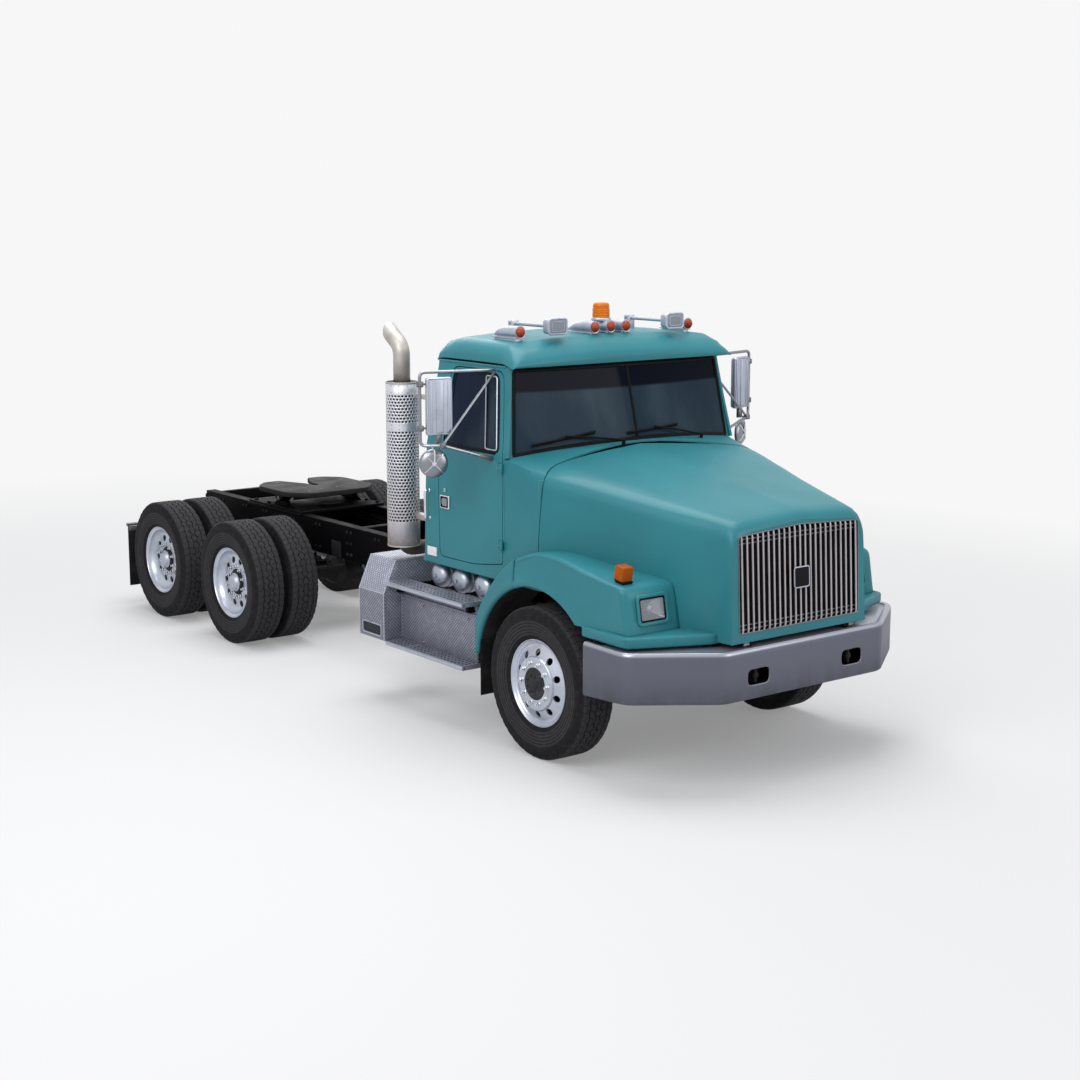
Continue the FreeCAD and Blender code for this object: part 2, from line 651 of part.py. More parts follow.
def cowl():
    """Firewall, and the panel in front of the windscreen."""
    firewall = inside_limits(FIREWALL, FIREWALL + WALL, FLOOR_Z + WALL, 1880)
    reach = CAB_HALF - WALL
    top = []
    for half, crest_y, crest_z, front_z in ((0, SCREEN[0][1], SCREEN[0][2], 1990),
                                            (reach, SCREEN[2][1], SCREEN[2][2], 1946)):
        top.append([(half, FIREWALL, 1880), (half, crest_y + 28, 1880), (half, crest_y + 28, crest_z - 2),
                    (half, crest_y - 4, crest_z - 2), (half, FIREWALL, front_z)])
    panel = loft(top)
    panel = cut(fuse(panel, mirrored(panel)), hood_tongue()).common(inside_limits(0, 900, 1800))
    return max(fuse(panel, firewall).Solids, key=lambda solid: solid.Volume)


def hood_tongue():
    """Space for the rear edge of the hood's top, grown by the running gap."""
    return plan_prism(tongue_outline(RUNNING_GAP, 0), TONGUE_Z + 15, 2200)


def pane(low_in, high_in, low_out, high_out, thick):
    """A flat-sided pane between an inner and an outer edge."""
    edges = []
    for low, high in ((low_in, high_in), (low_out, high_out)):
        edges.append([low, (low[0], low[1] + thick, low[2]), (high[0], high[1] + thick, high[2]), high])
    return loft(edges)


def cab_windows():
    left = pane(*SCREEN, GLASS)
    screen = fuse(left, mirrored(left)).common(inside_limits(0, 900, BELT_Z - 100))
    sheet = rear_plane(WALL / 2 + GLASS / 2).cut(rear_plane(WALL / 2 - GLASS / 2))
    rear = sheet.common(rear_window_hole(0))
    return Part.makeCompound([screen, rear])


# roof sections: station, half width, height of the edge, of the shoulder and of the middle
ROOF_SECTIONS = (
    (442, 1012, 2618, 2628, 2642),
    (500, 1000, 2640, 2690, 2722),
    (620, CAB_HALF - 85, 2650, 2768, 2800),
    (1250, CAB_HALF - 88, 2650, 2775, 2806),
    (1375, CAB_HALF - 92, 2645, 2738, 2762),
    (CAB_REAR - REAR_LEAN + 8, CAB_HALF - 98, 2625, 2636, 2650),
)


def roof_solid(inset):
    sections = []
    for station, half, edge, shoulder, middle in ROOF_SECTIONS:
        wide = half - inset
        outline = halves([(wide, GUTTER_Z - (1 if inset else 0)), (wide, edge - inset * 0.4),
                          (wide - 110, shoulder - inset), (0, middle - inset)])
        sections.append([(x, station, z) for x, z in outline])
    return loft(sections)


def cab_roof():
    hollow = roof_solid(40).common(box(-1100, 1100, 600, 1400, GUTTER_Z - 5, 3000))
    return roof_solid(0).cut(hollow)


# ---- doors ----
WINDOW = ((640, BELT_Z + 5), (712, GUTTER_Z - 75), (1180, GUTTER_Z - 75), (1238, BELT_Z + 5))


HINGE_HEIGHTS = (1330, 1850)
HINGE_RADIUS = 9


def hinge_leaf(low, high, way):
    """Barrel on the door's hinge axis with a strap to the skin, rearward (1) or forward (-1)."""
    barrel = rod((DOOR_HINGE_X, DOOR_HINGE_Y, low), (DOOR_HINGE_X, DOOR_HINGE_Y, high), HINGE_RADIUS)
    ys = sorted((DOOR_HINGE_Y, DOOR_HINGE_Y + way * 60))
    strap = box(CAB_HALF + 1, DOOR_HINGE_X, *ys, low, high)
    ys = sorted((DOOR_HINGE_Y + way * 22, DOOR_HINGE_Y + way * 60))
    return fuse(barrel, strap, box(CAB_HALF - 5, CAB_HALF + 1, *ys, low, high))


def door(side):
    leaf = wall_band(WALL, 400, 1400, DOOR_BOTTOM - 50).common(side_prism(door_outline(0), 0, 1400))
    hinges = [hinge_leaf(z, z + 70, 1) for z in HINGE_HEIGHTS]
    leaf = fuse(leaf.cut(side_prism(WINDOW, 0, 1400)), *hinges)
    return leaf if side > 0 else mirrored(leaf)


def door_glass(side):
    band = cab_profile(20, BELT_Z - 50) + cab_profile(25, BELT_Z - 50)[::-1]
    glass = front_prism(band, 500, 1300).common(side_prism(WINDOW, 0, 1400))
    return glass if side > 0 else mirrored(glass)


MIRROR_OUT = CAB_HALF + 483
MIRROR_TOP = 2588
MIRROR_LOW = 2108
MIRROR_TUBE = 13


def mirror(side):
    """Big mirror on a tube loop off the door, with a round wide-angle one under it."""
    top_in = (CAB_HALF - 112, 718, MIRROR_TOP - 30)
    low_in = (CAB_HALF - 28, 632, 1968)
    knee = (CAB_HALF + 250, 700, 2030)
    corners = [top_in, (MIRROR_OUT, 800, MIRROR_TOP), (MIRROR_OUT, 800, MIRROR_LOW), knee, low_in]
    tubes = [rod(a, b, MIRROR_TUBE) for a, b in zip(corners, corners[1:])]
    tubes += [rod((x, y, z - 16), (x, y, z + 16), MIRROR_TUBE + 2) for x, y, z in corners[1:-1]]
    tubes.append(rod(top_in, knee, MIRROR_TUBE - 3))
    head = box(-95, 95, -25, 25, 0, 400)
    head.rotate(V(0, 0, 0), V(0, 0, 1), 15)
    head.translate(V(MIRROR_OUT - 130, 765, 2152))
    arms = [rod((MIRROR_OUT - 60, 780, z), (MIRROR_OUT, 800, z), 8) for z in (2230, 2480)]
    disc = rod((MIRROR_OUT - 95, 765, 1960), (MIRROR_OUT - 95, 800, 1960), 100)
    stem = rod((MIRROR_OUT - 95, 782, 1960), (MIRROR_OUT - 95, 782, 2083), 8)
    whole = fuse(*tubes, head, *arms, disc, stem)
    whole = whole.cut(wall_band(WALL + 10, 400, 1400, DOOR_BOTTOM))
    return whole if side > 0 else mirrored(whole)


# ---- inside the cab ----
DRIVER_X = 460
SEAT_FLOOR = FLOOR_Z + WALL


def dashboard():
    inner = CAB_HALF - WALL - 30
    profile = [(FIREWALL + WALL, 1500), (520, 1480), (600, 1560), (600, 1760), (480, 1872),
               (FIREWALL + WALL, 1872)]
    return side_prism(profile, -inner, inner)


def steering_wheel():
    hub = V(DRIVER_X, 800, 1850)
    axis = V(0, 0.5, 0.866)
    ring = Part.makeTorus(225, 14, hub, axis)
    boss = Part.makeCylinder(50, 40, hub - axis * 30, axis)
    spokes = []
    for angle in (90, 210, 330):
        spoke = box(0, 225, -14, 14, -8, 8)
        spoke.rotate(V(0, 0, 0), V(0, 0, 1), angle)
        spoke.rotate(V(0, 0, 0), V(1, 0, 0), -30)
        spoke.translate(hub)
        spokes.append(spoke)
    column = Part.makeCylinder(30, 520, hub - axis * 520, axis).cut(dashboard())
    solids = fuse(ring, boss, *spokes, column).Solids
    return max(solids, key=lambda solid: solid.Volume)


def seat(x):
    base = box(x - 170, x + 170, 950, 1270, SEAT_FLOOR, 1440)
    cushion = box(x - 250, x + 250, 870, 1340, 1440, 1580)
    back = side_prism([(1230, 1580), (1345, 1580), (1370, 2230), (1290, 2230)], x - 240, x + 240)
    return fuse(base, cushion, back)


def seats():
    return Part.makeCompound([seat(DRIVER_X), seat(-DRIVER_X)])


# ---- on the outside of the cab ----
OUTER_LAMP = CAB_HALF - 275
ROOF_LAMPS = ((-OUTER_LAMP, 672, 2790), (-145, 632, 2800), (0, 629, 2802), (145, 632, 2800),
              (OUTER_LAMP, 672, 2790))


def roof_lamps():
    """Five torpedo-shaped marker lamps and two work lamps on arms."""
    pieces = []
    crown = roof_solid(0)
    crown.translate(V(0, 0, 0.3))
    for x, y, z in ROOF_LAMPS:
        foot = box(x - 25, x + 25, y + 30, y + 270, 2700, z + 20)
        body = rod((x, y, z + 41), (x, y + 300, z + 41), 41).fuse(foot)
        pieces.append(body.cut(crown).Solids[0])
    for x in (-543, 543):
        lamp = box(x - 80, x + 80, 530, 640, 2800, 2920)
        arm = rod((x, 640, 2865), (x, 1090, 2865), 14)
        foot = box(x - 25, x + 25, 1040, 1100, 2700, 2880)
        lamp = lamp.cut(box(x - 90, x + 90, 500, 700, 2700, 2812))
        pieces.append(fuse(lamp, arm, foot).cut(crown).Solids[0])
    pieces.append(beacon().cut(pieces[2]).Solids[0])
    return Part.makeCompound(pieces)


def beacon():
    """Warning beacon on its pedestal, behind the middle marker lamp."""
    base = rod((0, 742, 2700), (0, 742, 2897), 45).fuse(rod((0, 742, 2880), (0, 742, 2900), 72))
    dome = rod((0, 742, 2900), (0, 742, 3008), 62)
    return fuse(base.cut(roof_solid(0)), dome)


TREAD_IN = CAB_HALF - 55
TREAD_OUT = CAB_HALF + 145


def cab_steps():
    """Two treads under each door, on brackets from the frame or from the fuel tank."""
    right = [box(-TREAD_OUT, -TREAD_IN, 810, 1808, z - 35, z) for z in (485, 940)]
    right.append(box(-CAB_HALF, -CAB_HALF + 12, 910, 1800, 485, 905))
    for y in (850, 1740):
        right.append(box(-CAB_HALF - 60, -RAIL_HALF, y, y + 40, 850, 905))
    left = [box(TREAD_OUT - 115, TREAD_OUT, 860, 1460, z - 35, z) for z in (495, 860)]
    for y in (880, 1420):
        left.append(box(TANK_X, TREAD_OUT - 10, y, y + 12, 460, 860))
    left_whole = fuse(*left).cut(fuel_tank())
    return Part.makeCompound([fuse(*right)] + left_whole.Solids)


BOX_FRONT = 1812
BOX_REAR = 2160


def battery_box():
    profile = [(-TREAD_OUT, 480), (-TREAD_OUT, 840), (-TREAD_OUT + 110, 1085), (-620, 1085), (-620, 480)]
    body = front_prism(profile, BOX_FRONT, BOX_REAR)
    for y in (BOX_FRONT + 40, BOX_REAR - 90):
        body = body.fuse(box(-620, -RAIL_HALF, y, y + 50, 850, 950))
    return body


TANK_RADIUS = 305
TANK_X = RAIL_HALF + 370
TANK_Z = 780


def tank_cylinder(grow):
    return rod((TANK_X, 850, TANK_Z), (TANK_X, 2050, TANK_Z), TANK_RADIUS + grow)


def fuel_tank():
    tank = tank_cylinder(0)
    for y in (1000, 1850):
        strap = rod((TANK_X, y, TANK_Z), (TANK_X, y + 60, TANK_Z), TANK_RADIUS + 4)
        tank = fuse(tank, strap, box(RAIL_HALF, TANK_X, y, y + 60, 640, 960))
    return tank


def air_tanks():
    tanks = []
    for y in (890, 1169, 1437):
        tank = rod((-CAB_HALF + 65, y, 1018), (-560, y, 1018), 93)
        tank = tank.makeFillet(50, [e for e in tank.Edges if e.Curve.TypeId == "Part::GeomCircle"])
        tanks.append(fuse(tank, box(-700, -RAIL_HALF, y - 20, y + 20, 1000, 1026)))
    return Part.makeCompound(tanks)


ELBOW_Z = 1155              # axis of the exhaust's run across the frame


def exhaust_stack():
    bend = 110
    pipe = 55
    y = STACK_Y
    corner = Part.makeTorus(bend, pipe, V(STACK_X + bend, y, ELBOW_Z + bend), V(0, 1, 0))
    corner = corner.common(box(STACK_X - pipe, STACK_X + bend, y - 100, y + 100,
                               ELBOW_Z - pipe, ELBOW_Z + bend))
    up = rod((STACK_X, y, ELBOW_Z + bend), (STACK_X, y, 2500), pipe)
    muffler = rod((STACK_X, y, 1330), (STACK_X, y, 2380), MUFFLER_RADIUS)
    wide = rod((STACK_X, y, 2380), (STACK_X, y, STACK_MITRE_Z), STACK_RADIUS)
    across = rod((STACK_X + bend, y, ELBOW_Z), (-RAIL_HALF + 180, y, ELBOW_Z), pipe)
    down = box(-RAIL_HALF + 100, -RAIL_HALF + 210, y - 60, y + 60, RAIL_TOP + 5, ELBOW_Z + 58)
    tip = rod((STACK_X, y, STACK_MITRE_Z), (STACK_X, y + 250, STACK_MITRE_Z + 156), STACK_RADIUS)
    tip = tip.fuse(Part.makeSphere(STACK_RADIUS, V(STACK_X, y, STACK_MITRE_Z)))
    tip = tip.cut(box(STACK_X - 200, STACK_X + 200, y + STACK_REACH, y + 500, 2400, 3000))
    ahead = rod((-RAIL_HALF + 155, y, 1075), (-RAIL_HALF + 155, 640, 1075), 38)
    return fuse(corner, up, muffler, wide, across, down, tip, ahead)


def heat_shield():
    """Perforated guard round the stack, with its brackets to the cab's rear corner."""
    tube = rod((STACK_X, STACK_Y, 1190), (STACK_X, STACK_Y, 2418), SHIELD_RADIUS)
    tube = tube.cut(rod((STACK_X, STACK_Y, 1100), (STACK_X, STACK_Y, 2500), SHIELD_RADIUS - 8))
    notch = rod((STACK_X, STACK_Y, ELBOW_Z), (0, STACK_Y, ELBOW_Z), 70)
    tube = tube.cut(notch)
    for z in (1500, 2200):
        for angle in (45, 135, 225, 315):
            stud = box(MUFFLER_RADIUS - 1, SHIELD_RADIUS - 4, -10, 10, 0, 30)
            stud.rotate(V(0, 0, 0), V(0, 0, 1), angle)
            stud.translate(V(STACK_X, STACK_Y, z))
            hollow = rod((STACK_X, STACK_Y, z - 5), (STACK_X, STACK_Y, z + 40), MUFFLER_RADIUS)
            tube = tube.fuse(stud.cut(hollow))
    for z in (1400, 2300):
        bar = box(STACK_X + 25, STACK_X + 105, CAB_REAR - REAR_LEAN - 60, STACK_Y, z, z + 40)
        bar = bar.common(rear_plane(0))
        inside = rod((STACK_X, STACK_Y, z - 5), (STACK_X, STACK_Y, z + 45), SHIELD_RADIUS - 4)
        tube = tube.fuse(bar.cut(inside))
    return tube


# ---- behind the cab ----
def fifth_wheel_base():
    base = box(-RAIL_HALF, RAIL_HALF, PLATE_PIVOT_Y - 440, PLATE_PIVOT_Y + 500, RAIL_TOP, RAIL_TOP + 20)
    for side in (-1, 1):
        stand = side_prism([(PLATE_PIVOT_Y - 110, RAIL_TOP + 20), (PLATE_PIVOT_Y + 110, RAIL_TOP + 20),
                            (PLATE_PIVOT_Y + 35, PLATE_PIVOT_Z + 25), (PLATE_PIVOT_Y - 35, PLATE_PIVOT_Z + 25)],
                           *sorted((side * 330, side * 375)))
        base = base.fuse(stand)
    bore = rod((-400, PLATE_PIVOT_Y, PLATE_PIVOT_Z), (400, PLATE_PIVOT_Y, PLATE_PIVOT_Z), 20.3)
    return cut(base, bore)


JAW_Y = PLATE_PIVOT_Y + 30  # the trailer kingpin's station


def fifth_wheel_plate():
    """Rocking top plate: two horns, a throat, and jaws closed round the kingpin."""
    low = PLATE_TOP - PLATE_THICK
    half = RAIL_HALF + 20
    front, rear = PLATE_PIVOT_Y - 400, PLATE_PIVOT_Y + 440
    outline = [(-half + 160, front), (half - 160, front), (half, front + 170), (half, rear - 150),
               (half - 140, rear), (150, rear), (34, JAW_Y + 110), (-34, JAW_Y + 110), (-150, rear),
               (-half + 140, rear), (-half, rear - 150),
               (-half, front + 170)]
    plate = plan_prism(outline, low, PLATE_TOP)
    for side in (-1, 1):
        for inner, outer in ((295, 324), (381, 410)):
            ear = box(*sorted((side * inner, side * outer)), PLATE_PIVOT_Y - 45, PLATE_PIVOT_Y + 45,
                      PLATE_PIVOT_Z - 25, low)
            plate = plate.fuse(ear)
        pin = [(side * x, PLATE_PIVOT_Y, PLATE_PIVOT_Z) for x in (295, 410)]
        plate = plate.fuse(rod(*pin, 20))
    return plate.cut(rod((0, JAW_Y, low - 1), (0, JAW_Y, PLATE_TOP + 1), KINGPIN_BORE))


FLAP_Y = TAIL - 20


def mudflap_hangers():
    bar = rod((RAIL_HALF, FLAP_Y, 760), (CAB_HALF + 145, FLAP_Y, 760), 16)
    arm = box(RAIL_HALF, RAIL_HALF + 30, RAIL_REAR - 80, TAIL, 740, 790)
    return both(fuse(bar, arm))


def mudflaps():
    front = box(800, FENDER_HALF - SHELL, 655, 667, 300, 760)
    rear = box(620, CAB_HALF + 135, FLAP_Y - 5, FLAP_Y + 5, 180, 760)
    rear = rear.cut(rod((RAIL_HALF, FLAP_Y, 760), (CAB_HALF + 145, FLAP_Y, 760), 16))
    return both(Part.makeCompound([front, rear]))


def tail_lamps():
    return both(box(470, 640, FLAP_Y - 16, FLAP_Y + 16, 776, 880))


PIECES = {
    "frame_rails": frame_rails, "crossmembers": crossmembers, "front_bumper": front_bumper,
    "engine_block": engine_block, "drive_line": drive_line, "radiator": radiator,
    "front_axle": front_axle, "leaf_springs": leaf_springs, "drive_axles": drive_axles, "tie_rod": tie_rod,
    "hood": hood, "fenders": fenders, "grille": grille, "front_lamps": front_lamps,
    "quarter_fenders": quarter_fenders, "mudflaps": mudflaps, "mudflap_hangers": mudflap_hangers,
    "cab_floor": cab_floor, "cab_sides": cab_sides, "cab_rear_wall": cab_rear_wall, "cowl": cowl,
    "cab_roof": cab_roof, "cab_windows": cab_windows, "roof_lamps": roof_lamps,
    "dashboard": dashboard, "steering_wheel": steering_wheel, "seats": seats,
    "cab_steps": cab_steps, "battery_box": battery_box, "fuel_tank": fuel_tank, "air_tanks": air_tanks,
    "exhaust_stack": exhaust_stack, "heat_shield": heat_shield, "tail_lamps": tail_lamps,
    "fifth_wheel_base": fifth_wheel_base, "fifth_wheel_plate": fifth_wheel_plate,
}


def export(name, shape):
    shape.translate(V(0, ORIGIN_SHIFT, 0))
    shape.exportStep(f"parts/{name}.step")


def main():
    os.makedirs("parts", exist_ok=True)
    for name, make in PIECES.items():
        export(name, make())
    for side, word in ((1, "left"), (-1, "right")):
        export(f"door_{word}", door(side))
        export(f"door_glass_{word}", door_glass(side))
        export(f"mirror_{word}", mirror(side))
        export(f"knuckle_{word}", knuckle(side))
        export(f"front_wheel_{word}", front_wheel(side))
        export(f"front_tyre_{word}", tyre_solid(side * FRONT_TRACK_HALF, 0))
        for place, station in zip(("forward", "rearward"), REAR_STATIONS):
            tyres = [tyre_solid(side * (DUAL_MIDDLE + k * DUAL_SPACING / 2), station) for k in (-1, 1)]
            export(f"{place}_wheels_{word}", rear_wheel(side, station))
            export(f"{place}_tyres_{word}", Part.makeCompound(tyres))


main()
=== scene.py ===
"""Looks of a day-cab tractor unit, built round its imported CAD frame.

Sizes are in metres. Stations (y) run rearward from the front axle, x is positive on the
truck's left side and z is the height above the floor.
"""
import json
import logging
import math
from collections.abc import Callable, Iterable, Sequence
from dataclasses import dataclass, field
from enum import Enum

import bmesh
import bpy
from mathutils import Matrix, Vector

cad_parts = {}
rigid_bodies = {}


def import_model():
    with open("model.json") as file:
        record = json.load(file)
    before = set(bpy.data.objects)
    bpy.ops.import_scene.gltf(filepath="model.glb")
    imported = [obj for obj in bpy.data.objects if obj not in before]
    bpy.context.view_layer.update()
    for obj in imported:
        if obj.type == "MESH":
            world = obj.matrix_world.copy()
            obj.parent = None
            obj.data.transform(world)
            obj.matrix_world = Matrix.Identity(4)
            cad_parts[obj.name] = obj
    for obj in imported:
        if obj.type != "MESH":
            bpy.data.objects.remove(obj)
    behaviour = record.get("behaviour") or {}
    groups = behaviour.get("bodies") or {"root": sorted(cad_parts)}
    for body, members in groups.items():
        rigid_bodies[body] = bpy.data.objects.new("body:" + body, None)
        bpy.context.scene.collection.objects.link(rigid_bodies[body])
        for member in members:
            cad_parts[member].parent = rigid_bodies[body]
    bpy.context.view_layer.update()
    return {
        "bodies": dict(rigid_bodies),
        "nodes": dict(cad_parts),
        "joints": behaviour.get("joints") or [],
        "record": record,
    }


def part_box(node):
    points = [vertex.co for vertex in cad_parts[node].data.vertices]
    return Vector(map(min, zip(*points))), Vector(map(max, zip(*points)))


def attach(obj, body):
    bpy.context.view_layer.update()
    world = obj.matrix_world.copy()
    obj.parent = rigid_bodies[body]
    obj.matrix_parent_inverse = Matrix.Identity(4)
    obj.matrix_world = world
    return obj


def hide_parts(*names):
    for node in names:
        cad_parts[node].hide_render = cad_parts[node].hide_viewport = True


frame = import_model()
LOG = logging.getLogger("tractor")
Point = Sequence[float]
Colour = tuple[float, float, float]


def middle(node: str) -> Vector:
    """Centre of a CAD node's box, in the row frame."""
    low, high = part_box(node)
    return (low + high) / 2


AXLE_Y = middle("front_tyre_left").y
TYRE_R = middle("front_tyre_left").z
FENDER_HALF = 1.155
RAIL_X = 0.43  # outer face of the frame rails
REAR_AXLES = (middle("forward_tyres_left").y - AXLE_Y, middle("rearward_tyres_left").y - AXLE_Y)
KINGPIN_X = middle("knuckle_left").x


class Side(Enum):
    """A side of the truck, by its sign along x."""

    LEFT = 1
    RIGHT = -1

    @property
    def word(self) -> str:
        """Ending of the names of the nodes and bodies on this side."""
        return self.name.lower()


# ---- shader kit ----
class Value:
    """A shader number; working with it adds its Math nodes."""

    def __init__(self, shader: "Shader", socket: bpy.types.NodeSocket) -> None:
        """Wraps a socket of a shader's tree."""
        self.shader = shader
        self.socket = socket

    def math(self, operation: str, *others: "Value | float", flip: bool = False) -> "Value":
        """Adds one Math node.

        Args:
            operation: the node's operation.
            others: its other inputs.
            flip: puts this value last instead of first.

        Returns:
            The node's result.
        """
        terms: list[Value | float] = [self, *others]
        if flip:
            terms.reverse()
        node = self.shader.node("ShaderNodeMath", {"operation": operation}, dict(enumerate(terms)))
        return Value(self.shader, node.outputs[0])

    def __add__(self, other: "Value | float") -> "Value":
        """Sum."""
        return self.math("ADD", other)

    __radd__ = __add__

    def __sub__(self, other: "Value | float") -> "Value":
        """Difference."""
        return self.math("SUBTRACT", other)

    def __rsub__(self, other: float) -> "Value":
        """Difference, with the value taken away."""
        return self.math("SUBTRACT", other, flip=True)

    def __mul__(self, other: "Value | float") -> "Value":
        """Product."""
        return self.math("MULTIPLY", other)

    __rmul__ = __mul__

    def __truediv__(self, other: "Value | float") -> "Value":
        """Quotient."""
        return self.math("DIVIDE", other)

    def __abs__(self) -> "Value":
        """Size without sign."""
        return self.math("ABSOLUTE")

    def fract(self) -> "Value":
        """Part after the decimal point."""
        return self.math("FRACT")

    def sine(self) -> "Value":
        """Sine."""
        return self.math("SINE")

    def low(self, other: "Value | float") -> "Value":
        """The smaller of the two."""
        return self.math("MINIMUM", other)

    def high(self, other: "Value | float") -> "Value":
        """The larger of the two."""
        return self.math("MAXIMUM", other)

    def step(self, start: float, end: float, first: float = 0.0, last: float = 1.0) -> "Value":
        """Smooth step from first to last as the value goes from start to end."""
        node = self.shader.node("ShaderNodeMapRange", {"interpolation_type": "SMOOTHSTEP"},
                                {"Value": self, "From Min": start, "From Max": end,
                                 "To Min": first, "To Max": last})
        return Value(self.shader, node.outputs[0])


class Shader:
    """A material in the making."""

    def __init__(self, name: str) -> None:
        """Starts an empty node tree with one Principled shader."""
        self.material = bpy.data.materials.new(name)
        self.material.use_nodes = True
        self.tree = self.material.node_tree
        self.tree.nodes.clear()
        self.out = self.node("ShaderNodeOutputMaterial")
        self.surface = self.node("ShaderNodeBsdfPrincipled")
        self.tree.links.new(self.surface.outputs[0], self.out.inputs["Surface"])

    def node(self, kind: str, settings: dict | None = None, inputs: dict | None = None) -> bpy.types.Node:
        """Adds any node.

        Args:
            kind: its type name.
            settings: its own settings.
            inputs: socket name or number to a value, a Value or a socket.

        Returns:
            The node.
        """
        made = self.tree.nodes.new(kind)
        for key, value in (settings or {}).items():
            setattr(made, key, value)
        for key, value in (inputs or {}).items():
            self.feed(made.inputs[key], value)
        return made

    def feed(self, socket: bpy.types.NodeSocket, value: object) -> None:
        """Puts a number, a colour, a Value or a socket on a socket."""
        if isinstance(value, Value):
            self.tree.links.new(value.socket, socket)
        elif isinstance(value, bpy.types.NodeSocket):
            self.tree.links.new(value, socket)
        elif socket.type == "RGBA":
            socket.default_value = (*value[:3], 1.0)
        else:
            socket.default_value = value

    def place(self, scale: Point = (1, 1, 1), source: str = "Object") -> bpy.types.NodeSocket:
        """Object or UV coordinates, scaled."""
        coords = self.node("ShaderNodeTexCoord").outputs[source]
        return self.node("ShaderNodeMapping", None, {"Vector": coords, "Scale": tuple(scale)}).outputs[0]

    def axes(self, vector: bpy.types.NodeSocket) -> tuple[Value, Value, Value]:
        """The three numbers of a vector."""
        split = self.node("ShaderNodeSeparateXYZ", None, {0: vector})
        return tuple(Value(self, out) for out in split.outputs)

    def noise(self, scale: float, detail: float, vector: bpy.types.NodeSocket | None = None) -> Value:
        """Cloudy noise about one half."""
        inputs = {"Scale": scale, "Detail": detail, "Vector": vector or self.place()}
        return Value(self, self.node("ShaderNodeTexNoise", None, inputs).outputs["Fac"])

    def cells(self, scale: float) -> Value:
        """Distance from the nearest cell centre."""
        inputs = {"Scale": scale, "Vector": self.place()}
        return Value(self, self.node("ShaderNodeTexVoronoi", None, inputs).outputs["Distance"])

    def mix(self, factor: "Value | float", first: object, second: object) -> bpy.types.NodeSocket:
        """A colour between two colours."""
        made = self.node("ShaderNodeMix", {"data_type": "RGBA"}, {0: factor, 6: first, 7: second})
        return made.outputs[2]

    def bump(self, height: Value, distance: float, strength: float) -> bpy.types.NodeSocket:
        """A normal from a height; distance is that of a height of 1, in metres."""
        made = self.node("ShaderNodeBump", None,
                         {"Height": height, "Distance": distance, "Strength": strength})
        return made.outputs[0]

    def facing_up(self) -> Value:
        """How far a surface faces upward, from -1 to 1."""
        return self.axes(self.node("ShaderNodeNewGeometry").outputs["Normal"])[2]

    def dress(self, **inputs: object) -> bpy.types.Material:
        """Sets the Principled shader's sockets, with _ for a space, and returns the material."""
        for key, value in inputs.items():
            self.feed(self.surface.inputs[key.replace("_", " ")], value)
        return self.material


def tone(red: int, green: int, blue: int) -> Colour:
    """Linear colour of a display colour given from 0 to 255."""
    return tuple((c / 255 / 12.92) if c < 11 else ((c / 255 + 0.055) / 1.055) ** 2.4
                 for c in (red, green, blue))


# ---- finishes ----
@dataclass(frozen=True)
class Enamel:
    """Body paint: clear-coated, with faint clouding, dust low down and fine orange peel."""

    name: str = "teal_enamel"
    colour: Colour = tone(40, 118, 128)
    dusty: Colour = tone(60, 112, 117)
    roughness: float = 0.42
    coat: float = 0.12

    def build(self) -> bpy.types.Material:
        """Makes the material."""
        s = Shader(self.name)
        z = s.axes(s.place())[2]
        cloud = s.noise(1.7, 4)
        specks = s.noise(60, 5)
        dust = z.step(1.5, 0.75, 0.0, 0.55) * specks.step(0.35, 0.75)
        shade = s.mix(cloud.step(0.3, 0.75), self.colour, tuple(c * 0.86 for c in self.colour))
        worn = s.mix(dust, shade, self.dusty)
        peel = s.noise(240, 2)
        return s.dress(Base_Color=worn, Roughness=self.roughness + dust * 0.3 + cloud * 0.06,
                       Specular_IOR_Level=0.22, Coat_Weight=self.coat, Coat_Roughness=0.15,
                       Normal=s.bump(peel, 0.0002, 0.35))


@dataclass(frozen=True)
class ChassisPaint:
    """Satin black paint under road dust, with chips down to a rustier tone."""

    name: str = "chassis_black"
    colour: Colour = tone(3, 3, 5)
    dust: Colour = tone(26, 25, 25)
    chip: Colour = tone(24, 18, 15)
    roughness: float = 0.55

    def build(self) -> bpy.types.Material:
        """Makes the material."""
        s = Shader(self.name)
        up = s.facing_up().step(0.2, 1.0)
        grit = s.noise(14, 6)
        dust = up * grit.step(0.35, 0.7, 0.05, 0.4) + grit.step(0.6, 0.8) * 0.15
        chips = s.noise(85, 3).step(0.7, 0.76) * 0.6
        base = s.mix(chips, s.mix(dust, self.colour, self.dust), self.chip)
        return s.dress(Base_Color=base, Roughness=self.roughness + dust * 0.35, Specular_IOR_Level=0.06,
                       Normal=s.bump(s.noise(180, 3), 0.0006, 0.5))


@dataclass(frozen=True)
class Metal:
    """Bare metal: brushed or polished along one axis, clouded and a little stained."""

    name: str
    colour: Colour
    stain: Colour
    roughness: float = 0.25
    metallic: float = 1.0
    grain: tuple[float, float, float] = (1, 1, 1)
    staining: float = 0.3
    depth: float = 0.0003

    def build(self) -> bpy.types.Material:
        """Makes the material."""
        s = Shader(self.name)
        brushed = s.noise(90, 4, s.place(scale=self.grain))
        cloud = s.noise(5, 5)
        spots = cloud.step(0.45, 0.8) * self.staining
        return s.dress(Base_Color=s.mix(spots + brushed.step(0.4, 0.9) * 0.1, self.colour, self.stain),
                       Metallic=self.metallic - spots * 0.3,
                       Roughness=self.roughness + spots * 0.3 + brushed.step(0.3, 0.8) * 0.08,
                       Normal=s.bump(brushed, self.depth, 0.4))


